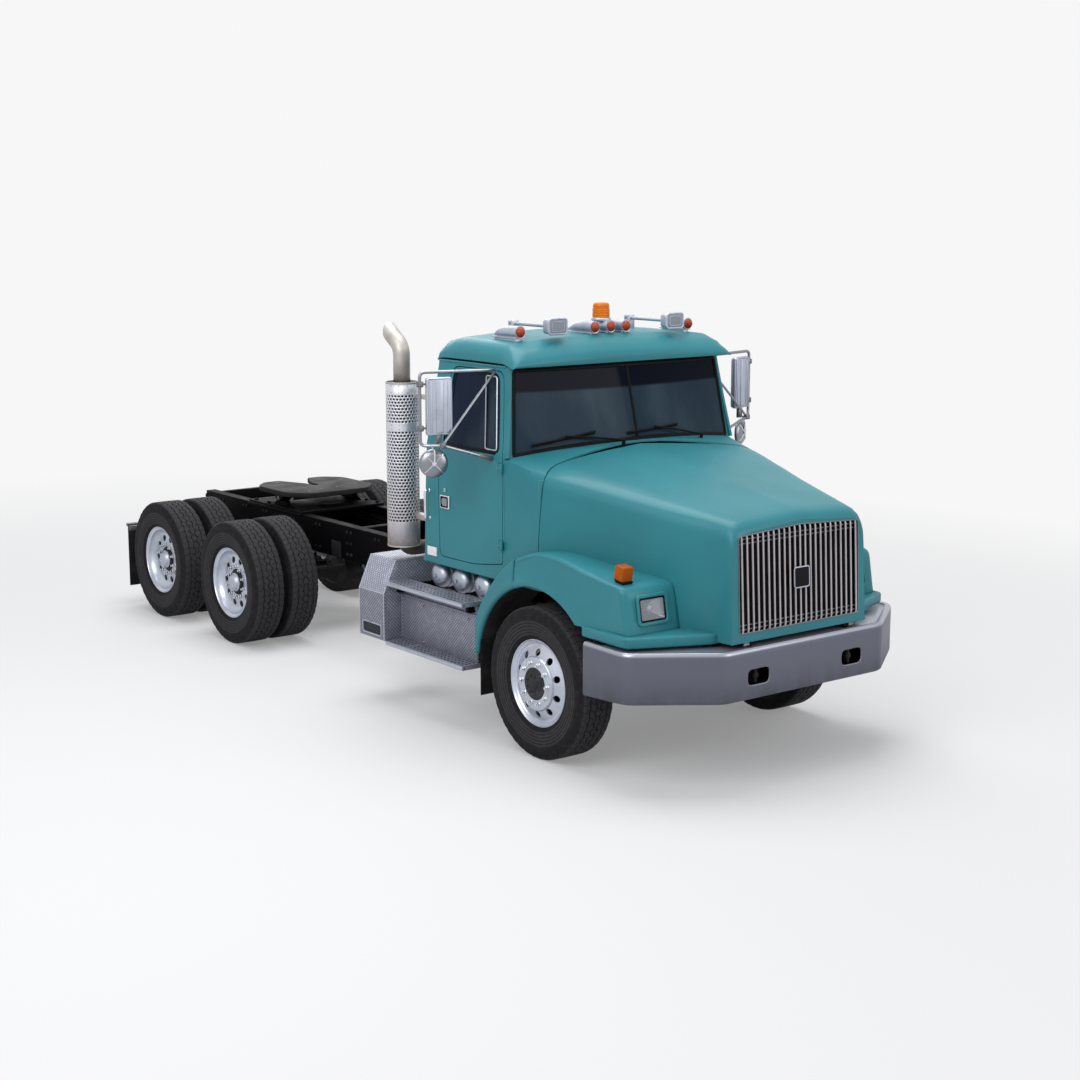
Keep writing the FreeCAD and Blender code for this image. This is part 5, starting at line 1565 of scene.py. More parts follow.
        bars = Shape()
        for k in range(-11, 12):
            x = k * 0.0472
            rise = high + 0.024 * (1 - abs(x) / half)
            bars.pipe([at(x, low + 0.004), at(x, low + 0.02, 0.006), at(x, rise - 0.016, 0.006), at(x, rise)],
                      0.0066, 0.012, 12)
        bars.finish("grille_bars", self.finishes.bar, "hood", "chrome", ["grille"])
        rails = Shape()
        for z in (low + 0.024, low + 0.052, high - 0.05, high - 0.022):
            rails.pipe([at(-half + 0.004, z, -0.006), at(half - 0.004, z, -0.006)], 0.0042, sides=8)
        rails.finish("grille_rails", self.finishes.dull, "hood", "chrome")
        # painted shade: a black sheet behind the bars stands in for the shade inside the grille
        screen = Shape()
        screen.skin([[at(x, z, -0.035) for x in (-half, half)] for z in (low, high)], 0.004)
        screen.turned_out().finish("grille_screen", self.finishes.black, "hood", "frame_black")
        badge, edging = Shape(), Shape()
        corners = ((0, 1.395), (0.068, 1.395), (0.068, 1.262), (-0.068, 1.262), (-0.068, 1.395), (0, 1.395))
        outline = rounded([at(x, z, 0.02) for x, z in corners], [0, 0.018, 0.018, 0.018, 0.018, 0], 4)
        badge.plate(outline[:-1], (0, 0.012, 0), 0.003)
        badge.finish("blank_badge", self.finishes.seal, "hood", "interior")
        edging.pipe([p + Vector((0, 0.001, 0)) for p in outline] + [outline[1]], 0.0045, sides=10)
        edging.finish("badge_edging", self.finishes.satin, "hood", "chrome")

    def hood_half(self, y: float) -> float:
        """Half width of the nose at a station, low down."""
        for a, b in zip(self.sections, self.sections[1:]):
            if y <= b[0]:
                t = max(0.0, (y - a[0]) / (b[0] - a[0]))
                return a[2] + (b[2] - a[2]) * t
        return self.sections[-1][2]

    def pod_front(self, z: float) -> float:
        """Station of the lamp pod's leaning face at a height."""
        return -0.93 + (z - 1.03) * 0.1767

    def in_lamp(self, at: Vector) -> bool:
        """Whether a point of the left fender lies in the headlamp's opening."""
        return at.y < -0.86 and self.lamp_in < at.x < self.lamp_out and self.lamp_low < at.z < self.lamp_high

    def fenders(self) -> None:
        """Fender with a flat-fronted lamp pod, rolled at the wheel arch."""
        cy, cz = self.arch_centre
        top = [Vector((y, z, 0)) for y, z in ((-0.935, 1.005), (-0.93, 1.03), (-0.883, 1.296),
                                              (-0.845, 1.321), (-0.49, 1.366), (-0.17, 1.43), (0.06, 1.418),
                                              (0.262, 1.346))]
        outline = spaced(rounded(top, [0, 0.008, 0.045, 0.05, 0.2, 0.17, 0.12, 0], 6), 61)
        for z in (self.lamp_low, self.lamp_high):
            k = min(range(20), key=lambda i: abs(outline[i].y - z))
            outline[k] = Vector((self.pod_front(z), z, 0))
        count = len(outline)
        first = math.asin((1.005 - cz) / self.arch)
        start, end = math.pi - first, math.acos((0.262 - cy) / self.arch)
        rows = []
        for i, out in enumerate(outline):
            turn = start + (end - start) * i / (count - 1)
            lip = Vector((cy + self.arch * math.cos(turn), cz + self.arch * math.sin(turn), 0))
            toward = (out - lip).normalized()
            inner = max(self.hood_half(out.x) - 0.006, 0.6) if out.x < 0.1 else 1.0
            front = min(1.0, max(0.0, (-out.x - 0.8) / 0.1))
            side = self.fender_half
            corner = 0.03 + 0.012 * front
            arch = [(side - 0.03, lip), (side - 0.006, lip + toward * 0.001),
                    (side + 0.008, lip + toward * 0.012), (side + 0.01, lip + toward * 0.03),
                    (side + 0.004, lip + toward * 0.055)]
            body = [(side - 0.004 * t, lip.lerp(out, 0.25 + 0.22 * t)) for t in range(4)]
            drop = toward * corner
            bend = [(side - 0.01, out - drop * 0.95), (side - 0.014 - corner * 0.1, out - drop * 0.45),
                    (side - 0.016 - corner * 0.45, out - drop * 0.12), (side - 0.018 - corner, out)]
            columns = (self.lamp_out, 0.93, self.lamp_in, 0.78, 0.735)
            across = [(max(x, inner + 0.004 * (5 - k)), out) for k, x in enumerate(columns)] + [(inner, out)]
            rows.append([Vector((x, p.x, p.y)) for x, p in arch + body + bend + across])
        fender = Shape().skin(rows).facing((0.7, -0.2, 0.7))
        window = [f for f in fender.bm.faces if self.in_lamp(f.calc_center_median())]
        bmesh.ops.delete(fender.bm, geom=window, context="FACES")
        fender.both()
        fender.finish("fender_shells", self.finishes.enamel, "hood", "paint", ["fenders"], 50, wall=0.006)
        liners = Shape()
        for sign in (-1, 1):
            strip = []
            for k in range(25):
                turn = start + (end - start) * k / 24
                y, z = cy + (self.arch + 0.006) * math.cos(turn), cz + (self.arch + 0.006) * math.sin(turn)
                strip.append([Vector((sign * x, y, z)) for x in (1.12, 0.95, 0.8)])
            liners.skin(strip, 0.004)
        liners.turned_out().finish("fender_liners", self.finishes.rubber, "hood", "rubber")

    def ledges(self) -> None:
        """Flared shelf between pod and bumper, with a raised edge line."""
        plan = [(0.6, -1.195), (0.652, -1.192), (1.178, -0.962), (1.185, -0.9), (1.172, -0.5),
                (1.14, -0.465), (0.6, -0.6)]
        corners = rounded([(x, y, 0.946) for x, y in plan], [0, 0.03, 0.05, 0.04, 0.04, 0.02, 0], 5)
        shelf = Shape().plate(corners, (0, 0, 0.07), 0.014, 3)
        cutter = Shape().rod((0.5, self.arch_centre[0], TYRE_R), (1.4, self.arch_centre[0], TYRE_R),
                             self.arch - 0.001, sides=96)
        shelf.turned_out().drill(cutter)
        crease = rounded([(x, y, 1.014) for x, y in
                          ((0.66, -1.165), (1.152, -0.948), (1.15, -0.72), (1.138, -0.56))],
                         [0, 0.05, 0.05, 0], 6)
        shelf.pipe(crease, 0.006, sides=12)
        shelf.both()
        shelf.finish("fender_ledges", self.finishes.enamel, "hood", "paint", angle=40)

    def lamps(self) -> None:
        """Headlamps: raised frame round a dark gap, a deep reflector, its bulb and a fluted lens."""
        f = self.finishes
        bezels, gaskets, bowls, lenses, bulbs = Shape(), Shape(), Shape(), Shape(), Shape()

        def at(x: float, z: float, proud: float = 0.0) -> Vector:
            """A point of the pod's leaning front."""
            return Vector((x, self.pod_front(z) - proud, z))

        def frame(grow: float, proud: float, soft: float) -> list[Vector]:
            """The lamp's outline, grown sideways and brought forward."""
            x0, x1 = self.lamp_in - grow, self.lamp_out + grow
            z0, z1 = self.lamp_low - grow, self.lamp_high + grow
            mid = (x0 + x1) / 2
            chain = [(mid, z1), (x1, z1), (x1, z0), (x0, z0), (x0, z1), (mid, z1)]
            return rounded([at(x, z, proud) for x, z in chain], [0, soft, soft, soft, soft, 0], 5)[:-1]

        section = ((0.027, -0.004, 0.03), (0.0262, 0.008, 0.03), (0.0225, 0.0125, 0.028),
                   (0.012, 0.0135, 0.024), (0.006, 0.012, 0.02), (0.0035, 0.007, 0.018),
                   (0.003, -0.01, 0.018))
        rings = [frame(*row) for row in section]
        bezels.skin([ring + [ring[0]] for ring in rings]).facing((0, -1, 0))
        bmesh.ops.remove_doubles(bezels.bm, verts=bezels.bm.verts[:], dist=1e-5)
        gaskets.pipe(frame(-0.002, 0.003, 0.017) + frame(-0.002, 0.003, 0.017)[:1], 0.0065, sides=10)
        lens = Shape().plate(frame(-0.004, 0.0045, 0.014), (0, 0.004, 0), 0.0015)
        lenses.add(lens)
        centre = at((self.lamp_in + self.lamp_out) / 2, (self.lamp_low + self.lamp_high) / 2)
        rows = []
        for share, deep in ((1.0, 0.0), (0.97, 0.01), (0.9, 0.026), (0.78, 0.042), (0.6, 0.055),
                            (0.4, 0.063), (0.22, 0.066)):
            ring = frame(-0.002, 0.0, 0.014)
            rows.append([centre.lerp(p, share) + Vector((0, deep, 0)) for p in ring + ring[:1]])
        bowls.skin(rows, 0.002)
        bowls.plate([centre.lerp(p, 0.24) + Vector((0, 0.066, 0)) for p in frame(-0.002, 0.0, 0.014)],
                    (0, 0.003, 0))
        bulbs.rod(centre + Vector((0, 0.066, 0)), centre + Vector((0, 0.02, 0)), 0.018, 0.015, bevel=0.003)
        bulbs.ball(centre + Vector((0, 0.026, 0)), 0.027, (1, 0.7, 1), 20)
        pairs = ((bezels, "headlamp_bezels", f.enamel, "paint", ["front_lamps"], 0.003),
                 (gaskets, "headlamp_gaskets", f.seal, "rubber", [], 0.0),
                 (bowls, "headlamp_bowls", f.tube, "chrome", [], 0.0),
                 (lenses, "headlamp_lenses", f.clear, "lamp", [], 0.0),
                 (bulbs, "headlamp_bulbs", f.housing, "lamp", [], 0.0))
        for shape, name, look, slot, nodes, wall in pairs:
            shape.both().finish(name, look, "hood", slot, nodes, 35, wall=wall)

    def markers(self) -> None:
        """Amber turn signals on black feet, on top of the fenders."""
        feet, lenses = Shape(), Shape()
        tilt = Matrix.Rotation(math.radians(9), 4, "X")
        feet.block((1.006, -0.812, 1.32), (1.09, -0.732, 1.346), 0.008, turn=tilt)
        feet.block((1.003, -0.815, 1.34), (1.093, -0.729, 1.348), 0.003, turn=tilt)
        lenses.block((1.003, -0.815, 1.346), (1.093, -0.729, 1.442), 0.009, 3, turn=tilt)
        feet.both().finish("signal_feet", self.finishes.seal, "hood", "interior")
        lenses.both().finish("signal_lenses", self.finishes.amber, "hood", "amber")


# ---- cab ----
@dataclass
class Cab:
    """Day cab: pressed side frames, rear wall, cowl, roof with its visor lip, and the glass."""

    finishes: Finishes
    half: float = 1.055
    floor: float = 1.12
    belt: float = 2.0
    gutter: float = 2.6
    lean: float = 0.092
    front: float = 0.12
    rear: float = 1.53
    rear_lean: float = 0.095
    wall: float = 0.022
    # roof: station, half width, height of the edge, of the shoulder and of the middle
    roof: tuple[tuple[float, ...], ...] = (
        (0.44, 1.008, 2.612, 2.622, 2.64),
        (0.446, 1.012, 2.606, 2.64, 2.668),
        (0.47, 1.008, 2.606, 2.672, 2.7),
        (0.53, 0.998, 2.618, 2.722, 2.752),
        (0.62, 0.972, 2.628, 2.764, 2.796),
        (0.8, 0.969, 2.63, 2.77, 2.803),
        (1.25, 0.967, 2.63, 2.772, 2.804),
        (1.35, 0.965, 2.628, 2.752, 2.78),
        (1.405, 0.962, 2.62, 2.712, 2.734),
        (1.432, 0.958, 2.612, 2.66, 2.676),
        (1.44, 0.955, 2.606, 2.622, 2.628),
    )

    def width(self, z: float) -> float:
        """Half width of the cab's outer face at a height."""
        t = min(1.0, max(0.0, (z - self.belt) / (self.gutter - self.belt)))
        low = min(1.0, max(0.0, (z - self.floor) / 0.5))
        return self.half - 0.01 * (1 - low) - self.lean * t - 0.004 * math.sin(math.pi * t)

    def back(self, z: float) -> float:
        """Station of the rear wall's outer face at a height."""
        return self.rear - self.rear_lean * (z - self.floor) / (self.gutter - self.floor)

    def build(self) -> None:
        """Makes the cab's pieces."""
        self.sides()
        self.rear_wall()
        self.cowl()
        self.roof_shell()
        self.screen()
        self.wipers()
        self.floor_pan()
        self.trim()

    def sides(self) -> None:
        """Side frames with the door opening, a rain gutter and rounded rear corners."""
        heights = [self.floor + 0.012, 1.18, 1.25, 1.35, 1.5, 1.7, 1.9, 1.97, 2.0, 2.03, 2.1, 2.2, 2.3, 2.4,
                   2.5, 2.57, self.gutter + 0.01]
        stations = [self.front, 0.2, 0.35, 0.5, 0.7, 0.9, 1.1, 1.3]
        rows = []
        for z in heights:
            back = self.back(z)
            row = [Vector((self.width(z), y, z)) for y in stations]
            for k in range(7):
                turn = math.pi / 2 * k / 6
                row.append(Vector((self.width(z) - 0.055 * (1 - math.cos(turn)),
                                   back - 0.055 + 0.055 * math.sin(turn), z)))
            row.append(Vector((self.width(z) - 0.16, back, z)))
            rows.append(row)
        shell = Shape().skin(rows).facing((1, 0, 0)).walled(self.wall)
        shell.drill(self.door_hole())
        front = Shape().plate([(0.7, 0.0, 1.226), (0.7, 0.5, 1.226), (0.7, 0.5, 1.986), (0.7, 0.462, 1.994),
                               (0.7, 0.552, 2.592), (0.7, 0.552, 2.7), (0.7, 0.0, 2.7)], (0.6, 0, 0))
        shell.drill(front)
        shell.both()
        shell.finish("cab_side_shells", self.finishes.enamel, "chassis", "paint",
                     ["cab_sides"], 35, soft=0.003)
        inner = Shape()
        for y0, y1, z0, z1 in ((0.15, 0.49, 1.17, 1.62), (1.32, 1.4, 1.2, 2.45)):
            inner.block((self.half - 0.06, y0, z0), (self.half - 0.034, y1, z1), 0.008)
        inner.block((0.905, 0.64, 2.545), (0.945, 1.38, 2.6), 0.012)
        inner.both().finish("cab_side_trim", self.finishes.plastic, "chassis", "interior")
        seals = Shape()
        edge = [Vector((self.width(z) - 0.01, y, z)) for y, z in self.door_line(0.0)]
        seals.pipe(edge + [edge[0]], 0.0042, sides=8)
        seals.both().finish("door_seals", self.finishes.seal, "chassis", "rubber")

    def door_line(self, gap: float) -> list[tuple[float, float]]:
        """Edge of the door opening as (station, height); gap grows it."""
        corners = [Vector((0.53 - gap, 1.25 - gap, 0)), Vector((0.516 - gap, 1.9, 0)),
                   Vector((0.516 - gap, 2.0, 0)), Vector((0.616 - gap, 2.57 + gap, 0)),
                   Vector((1.23 + gap, 2.57 + gap, 0)), Vector((1.29 + gap, 1.75, 0)),
                   Vector((1.29 + gap, 1.2 - gap, 0)), Vector((0.87, 1.2 - gap, 0))]
        loop = [(corners[-1] + corners[0]) / 2, *corners, (corners[-1] + corners[0]) / 2]
        soft = rounded(loop, [0, 0.03, 0.05, 0.09, 0.07, 0.1, 0.2, 0.05, 0.12, 0], 5)
        return [(p.x, p.y) for p in soft[:-1]]

    def door_hole(self) -> Shape:
        """Cutter for the door opening in the left side."""
        return Shape().plate([(0.6, y, z) for y, z in self.door_line(0.006)], (0.8, 0, 0))

    def rear_wall(self) -> None:
        """Rear wall pressed with upright ribs, its window in a rubber seal."""
        rows = []
        for k in range(25):
            z = self.floor + 0.012 + (self.gutter - self.floor) * k / 24
            row = []
            reach = self.width(z) - 0.15
            for i in range(61):
                x = -reach + 2 * reach * i / 60
                rib = 0.0
                if z < 1.95:
                    rib = 0.01 * max(0.0, min(1.0, 3 * math.cos(x * 2 * math.pi / 0.3) - 0.8))
                    rib *= min(1.0, max(0.0, (z - 1.22) / 0.08)) * min(1.0, max(0.0, (1.9 - z) / 0.08))
                row.append(Vector((x, self.back(z) - 0.004 + rib * 0.4, z)))
            rows.append(row)
        wall = Shape().skin(rows).facing((0, 1, 0)).walled(self.wall)
        window = oblong((0, 0, 2.24), 0.45, 0.19, 0.07, 5)[:-1]
        wall.drill(Shape().plate([(p.x, 1.2, p.z) for p in window], (0, 0.6, 0)))
        wall.finish("cab_rear_shell", self.finishes.enamel, "chassis", "paint", ["cab_rear_wall"], 35)
        on_wall = [Vector((p.x, self.back(p.z) - 0.006, p.z)) for p in window]
        seal = Shape().pipe(on_wall + [on_wall[0]], 0.013, sides=12)
        seal.finish("rear_window_seal", self.finishes.seal, "chassis", "rubber")
        glass = Shape().plate([p + Vector((0, -0.012, 0)) for p in on_wall], (0, 0.005, 0))
        glass.finish("rear_window", self.finishes.side_glass, "chassis", "glass")

    def cowl_point(self, x: float, t: float) -> Vector:
        """A point of the cowl's top, from the hood seam (t 0) up to the glass (t 1)."""
        share = abs(x) / 1.03
        crest_y = 0.318 + (0.463 - 0.318) * share ** 1.7
        crest_z = 2.062 - (2.062 - 1.994) * share ** 2
        front_z = 1.992 - 0.044 * share ** 2
        y = self.front + (crest_y - self.front) * t
        return Vector((x, y, front_z + (crest_z - front_z) * t))

    def cowl_section(self, t: float) -> list[Vector]:
        """Half section from the side up and in: the hood's own (t 0), squaring up to the posts (t 1)."""
        seam = [p for p in Hood(self.finishes).section(Hood.sections[9]) if p.z > 1.19]
        bend = max(range(len(seam)), key=lambda k: seam[k].x * 0.75 + seam[k].z)
        ahead = spaced(seam[:bend + 1], 17) + spaced(seam[bend:], 25)[1:]
        foot = Vector((self.width(1.3), 0.5, seam[0].z))
        head = Vector((self.width(1.9) - 0.002, 0.5, 1.984))
        glass = [Vector((1.034 * (1 - k / 24), 0, 0)) for k in range(1, 25)]
        behind = spaced([foot, head], 17) + [self.cowl_point(p.x, 1.0) for p in glass]
        return [Vector((a.x, self.front, a.z)).lerp(b, t) for a, b in zip(ahead, behind)]

    def cowl(self) -> None:
        """Panel ahead of the glass, rounded down into the sides, with the firewall below."""
        halves = [self.cowl_section(j / 12) for j in range(13)]
        rows = [row + [Vector((-p.x, p.y, p.z)) for p in reversed(row[:-1])] for row in halves]
        top = Shape().skin(rows).facing((0, 0, 1)).walled(0.012)
        back = [Vector((x, y, 1.85)) for x, y in seam_line(0.008)]
        ahead = Shape().plate([(-1.3, -0.1, 1.85), *reversed(back), (1.3, -0.1, 1.85)], (0, 0, 0.4))
        top.drill(ahead)
        top.finish("cowl_top", self.finishes.enamel, "chassis", "paint", ["cowl"], 40, soft=0.002)
        firewall = Shape()
        firewall.block((-1.028, self.front + 0.001, 1.165), (1.028, self.front + 0.03, 1.882), 0.006)
        for x in (-0.55, 0.55):
            firewall.block((x - 0.22, self.front + 0.026, 1.35), (x + 0.22, self.front + 0.04, 1.75), 0.006)
        firewall.finish("firewall", self.finishes.enamel, "chassis", "paint")
        shelf = Shape().block((-0.94, 0.125, 1.872), (0.94, 0.315, 1.892), 0.004)
        for x in (-0.62, 0.0, 0.62):
            shelf.block((x - 0.15, 0.284, 1.88), (x + 0.15, 0.296, 1.945), 0.003)
        shelf.finish("cowl_shelf", self.finishes.seal, "chassis", "paint")

    def roof_shell(self) -> None:
        """Roof pressing with its visor lip over the glass."""
        rows = []
        for station, half, edge, shoulder, centre in self.roof:
            corners = [Vector((half - 0.004, edge - 0.004, 0)),
                       Vector((half, edge + (shoulder - edge) * 0.3, 0)),
                       Vector((half - 0.055, shoulder - 0.006, 0)), Vector((half * 0.55, centre - 0.012, 0)),
                       Vector((0, centre, 0))]
            rise = shoulder - edge
            side = rounded(corners, [0, rise * 0.3, 0.05, 0.2, 0], 6)
            line = spaced(side, 30)
            right = [Vector((-p.x, station, p.y)) for p in line]
            rows.append(right + [Vector((p.x, station, p.y)) for p in reversed(line)][1:])
        roof = Shape().skin(rows)
        first, last = rows[0], rows[-1]
        roof.skin([[(p.x, p.y, p.z) for p in first],
                   [(p.x * 0.985, p.y + 0.006, min(p.z, 2.606)) for p in first],
                   [(p.x * 0.96, p.y + 0.06, 2.602) for p in first]])
        roof.skin([[(p.x, p.y, p.z) for p in last],
                   [(p.x * 0.995, p.y - 0.004, min(p.z, 2.604)) for p in last]])
        roof.merged(2e-4).divided().facing((0, 0, 1))
        roof.finish("roof_shell", self.finishes.enamel, "chassis", "paint", ["cab_roof"], 60)
        liner = Shape().block((-0.915, 0.57, 2.585), (0.915, 1.41, 2.612), 0.01)
        liner.block((-0.9, 0.585, 2.56), (0.9, 0.7, 2.59), 0.012)
        liner.finish("roof_liner", self.finishes.plastic, "chassis", "interior")
        gutter = Shape()
        gutter.pipe([(0.965, 0.585, 2.604), (0.967, 1.3, 2.606), (0.962, 1.395, 2.604)], 0.008, 0.05, 10)
        gutter.both().finish("rain_gutters", self.finishes.enamel, "chassis", "paint")

    def screen_point(self, x: float, t: float) -> Vector:
        """A point of the windscreen, t from the bottom (0) to the top (1)."""
        share = abs(x)
        low = Vector((share * 0.997, 0.322 + 0.149 * share ** 1.7, 2.058 - 0.066 * share ** 2))
        high = Vector((share * 0.93, 0.461 + 0.094 * share ** 1.7, 2.594))
        at = low.lerp(high, t)
        return Vector((math.copysign(at.x, x), at.y, at.z))

    def screen(self) -> None:
        """Two-part windscreen in its seal, with the middle bar."""
        f = self.finishes
        edge = 0.985
        glass = Shape()
        for sign in (-1, 1):
            rows = []
            for j in range(15):
                t = 0.035 + 0.925 * j / 14
                rows.append([self.screen_point(sign * (0.012 + (edge - 0.012) * i / 20), t)
                             for i in range(21)])
            glass.skin(rows)
        glass.turned_out().walled(0.005)
        glass.finish("windscreen", f.screen, "chassis", "glass", ["cab_windows"], 30)
        seal = Shape()
        loop = [self.screen_point(-0.99 + 1.98 * i / 40, 0.02) for i in range(41)]
        loop += [self.screen_point(0.995, 0.05 + 0.9 * i / 10) for i in range(11)]
        loop += [self.screen_point(0.99 - 1.98 * i / 40, 0.975) for i in range(41)]
        loop += [self.screen_point(-0.995, 0.95 - 0.9 * i / 10) for i in range(11)]
        seal.pipe(loop + [loop[0]], 0.0125, sides=12)
        seal.pipe([self.screen_point(0.0001, 0.0), self.screen_point(0.0001, 0.5),
                   self.screen_point(0.0001, 0.985)], 0.01, sides=12)
        low = [[self.screen_point(-0.99 + 1.98 * i / 40, t) + Vector((0, -proud, 0)) for i in range(41)]
               for t, proud in ((-0.022, 0.004), (-0.018, 0.011), (0.028, 0.013), (0.05, 0.004))]
        seal.add(Shape().skin(low, 0.006))
        seal.turned_out().finish("windscreen_seal", f.seal, "chassis", "rubber")
        posts = Shape()
        for sign in (-1, 1):
            a = self.screen_point(sign * 0.999, 0.0)
            b = self.screen_point(sign * 0.999, 1.0)
            out, inset, back = Vector((sign * 0.034, 0.01, 0)), Vector((0, 0.03, 0)), Vector((0, 0.05, 0))
            posts.skin([[a + inset, b + inset], [a, b], [a + out, b + out * 0.7],
                        [a + out + back, b + out * 0.7 + back]])
        posts.facing((0, -1, 0)).walled(0.004)
        posts.finish("windscreen_posts", f.enamel, "chassis", "paint", soft=0.002)

    def wipers(self) -> None:
        """Two parked wipers: arm, blade frame and rubber, on capped pivots."""
        arms, blades = Shape(), Shape()
        for pivot_x, tip_x in ((-0.16, -0.62), (0.62, 0.16)):
            pivot = self.cowl_point(pivot_x, 0.86) + Vector((0, -0.006, 0.01))
            tip = self.screen_point(tip_x, 0.15) + Vector((0, -0.03, 0.006))
            mid = pivot.lerp(tip, 0.5) + Vector((0, -0.012, 0.012))
            arms.rod(pivot + Vector((0, 0.004, -0.03)), pivot + Vector((0, -0.01, 0.018)),
                     0.014, 0.011, 16, 0.002)
            arms.pipe([pivot + Vector((0, -0.008, 0.012)), mid, tip], 0.008, 0.05, 8)
            low = self.screen_point(tip_x - 0.25, 0.105) + Vector((0, -0.018, 0.0))
            high = self.screen_point(tip_x + 0.25, 0.165) + Vector((0, -0.018, 0.0))
            spine = [low.lerp(high, t) + Vector((0, -0.012 * math.sin(math.pi * t), 0.004)) for t in
                     (0, 0.25, 0.5, 0.75, 1)]
            arms.pipe(spine, 0.0075, sides=8)
            under = Vector((0, 0.006, -0.008))
            blades.pipe([low + under, high + under], 0.0065, sides=8)
            for t in (0.12, 0.5, 0.88):
                joint = low.lerp(high, t)
                arms.rod(joint + Vector((0, -0.01, 0)), joint + Vector((0, 0.004, 0)), 0.006, sides=10)
        arms.finish("wiper_arms", self.finishes.seal, "chassis", "interior")
        blades.finish("wiper_blades", self.finishes.rubber, "chassis", "rubber")

    def floor_pan(self) -> None:
        """Floor pan with its mat, sills and mounts down to the frame."""
        pan = Shape().block((-self.half + 0.012, self.front, self.floor + 0.003),
                            (self.half - 0.012, self.rear - 0.01, self.floor + 0.04), 0.012)
        for x in (-0.6, -0.2, 0.2, 0.6):
            pan.block((x - 0.04, 0.2, self.floor + 0.0005), (x + 0.04, 1.45, self.floor + 0.008), 0.003)
        pan.finish("floor_pan", self.finishes.enamel, "chassis", "paint", ["cab_floor"])
        mounts = Shape()
        for x in (-0.385, 0.385):
            for y in (0.34, 1.42):
                mounts.rod((x, y, 1.031), (x, y, 1.05), 0.045, sides=24, bevel=0.004)
                mounts.rod((x, y, 1.048), (x, y, 1.112), 0.036, sides=24, bevel=0.006)
                mounts.rod((x, y, 1.108), (x, y, 1.128), 0.042, sides=24, bevel=0.003)
        mounts.finish("cab_mounts", self.finishes.rubber, "chassis", "rubber")
        mat = Shape().block((-0.98, 0.16, self.floor + 0.038), (0.98, 1.46, self.floor + 0.047), 0.003)
        mat.finish("floor_mat", self.finishes.rubber, "chassis", "interior")

    def trim(self) -> None:
        """Grab handle and blank plate on the rear corners."""
        rail, plate = Shape(), Shape()
        y, z0, z1 = 1.405, 1.46, 1.66
        for z in (z0, z1):
            rail.rod((self.width(z) - 0.006, y, z), (self.width(z) + 0.01, y, z), 0.016, 0.013, 16, 0.003)
        ends = ((0.004, z0), (0.042, z0), (0.042, z1), (0.004, z1))
        rail.pipe([(self.width(z) + out, y, z) for out, z in ends], 0.01, 0.025, 12)
        rail.both().finish("grab_handles", self.finishes.chrome, "chassis", "chrome")
        plate.block((-self.half + 0.006, 1.322, 1.185), (-self.half - 0.004, 1.437, 1.25), 0.0015)
        plate.turned_out().finish("blank_plate", self.finishes.plate, "chassis", "paint")


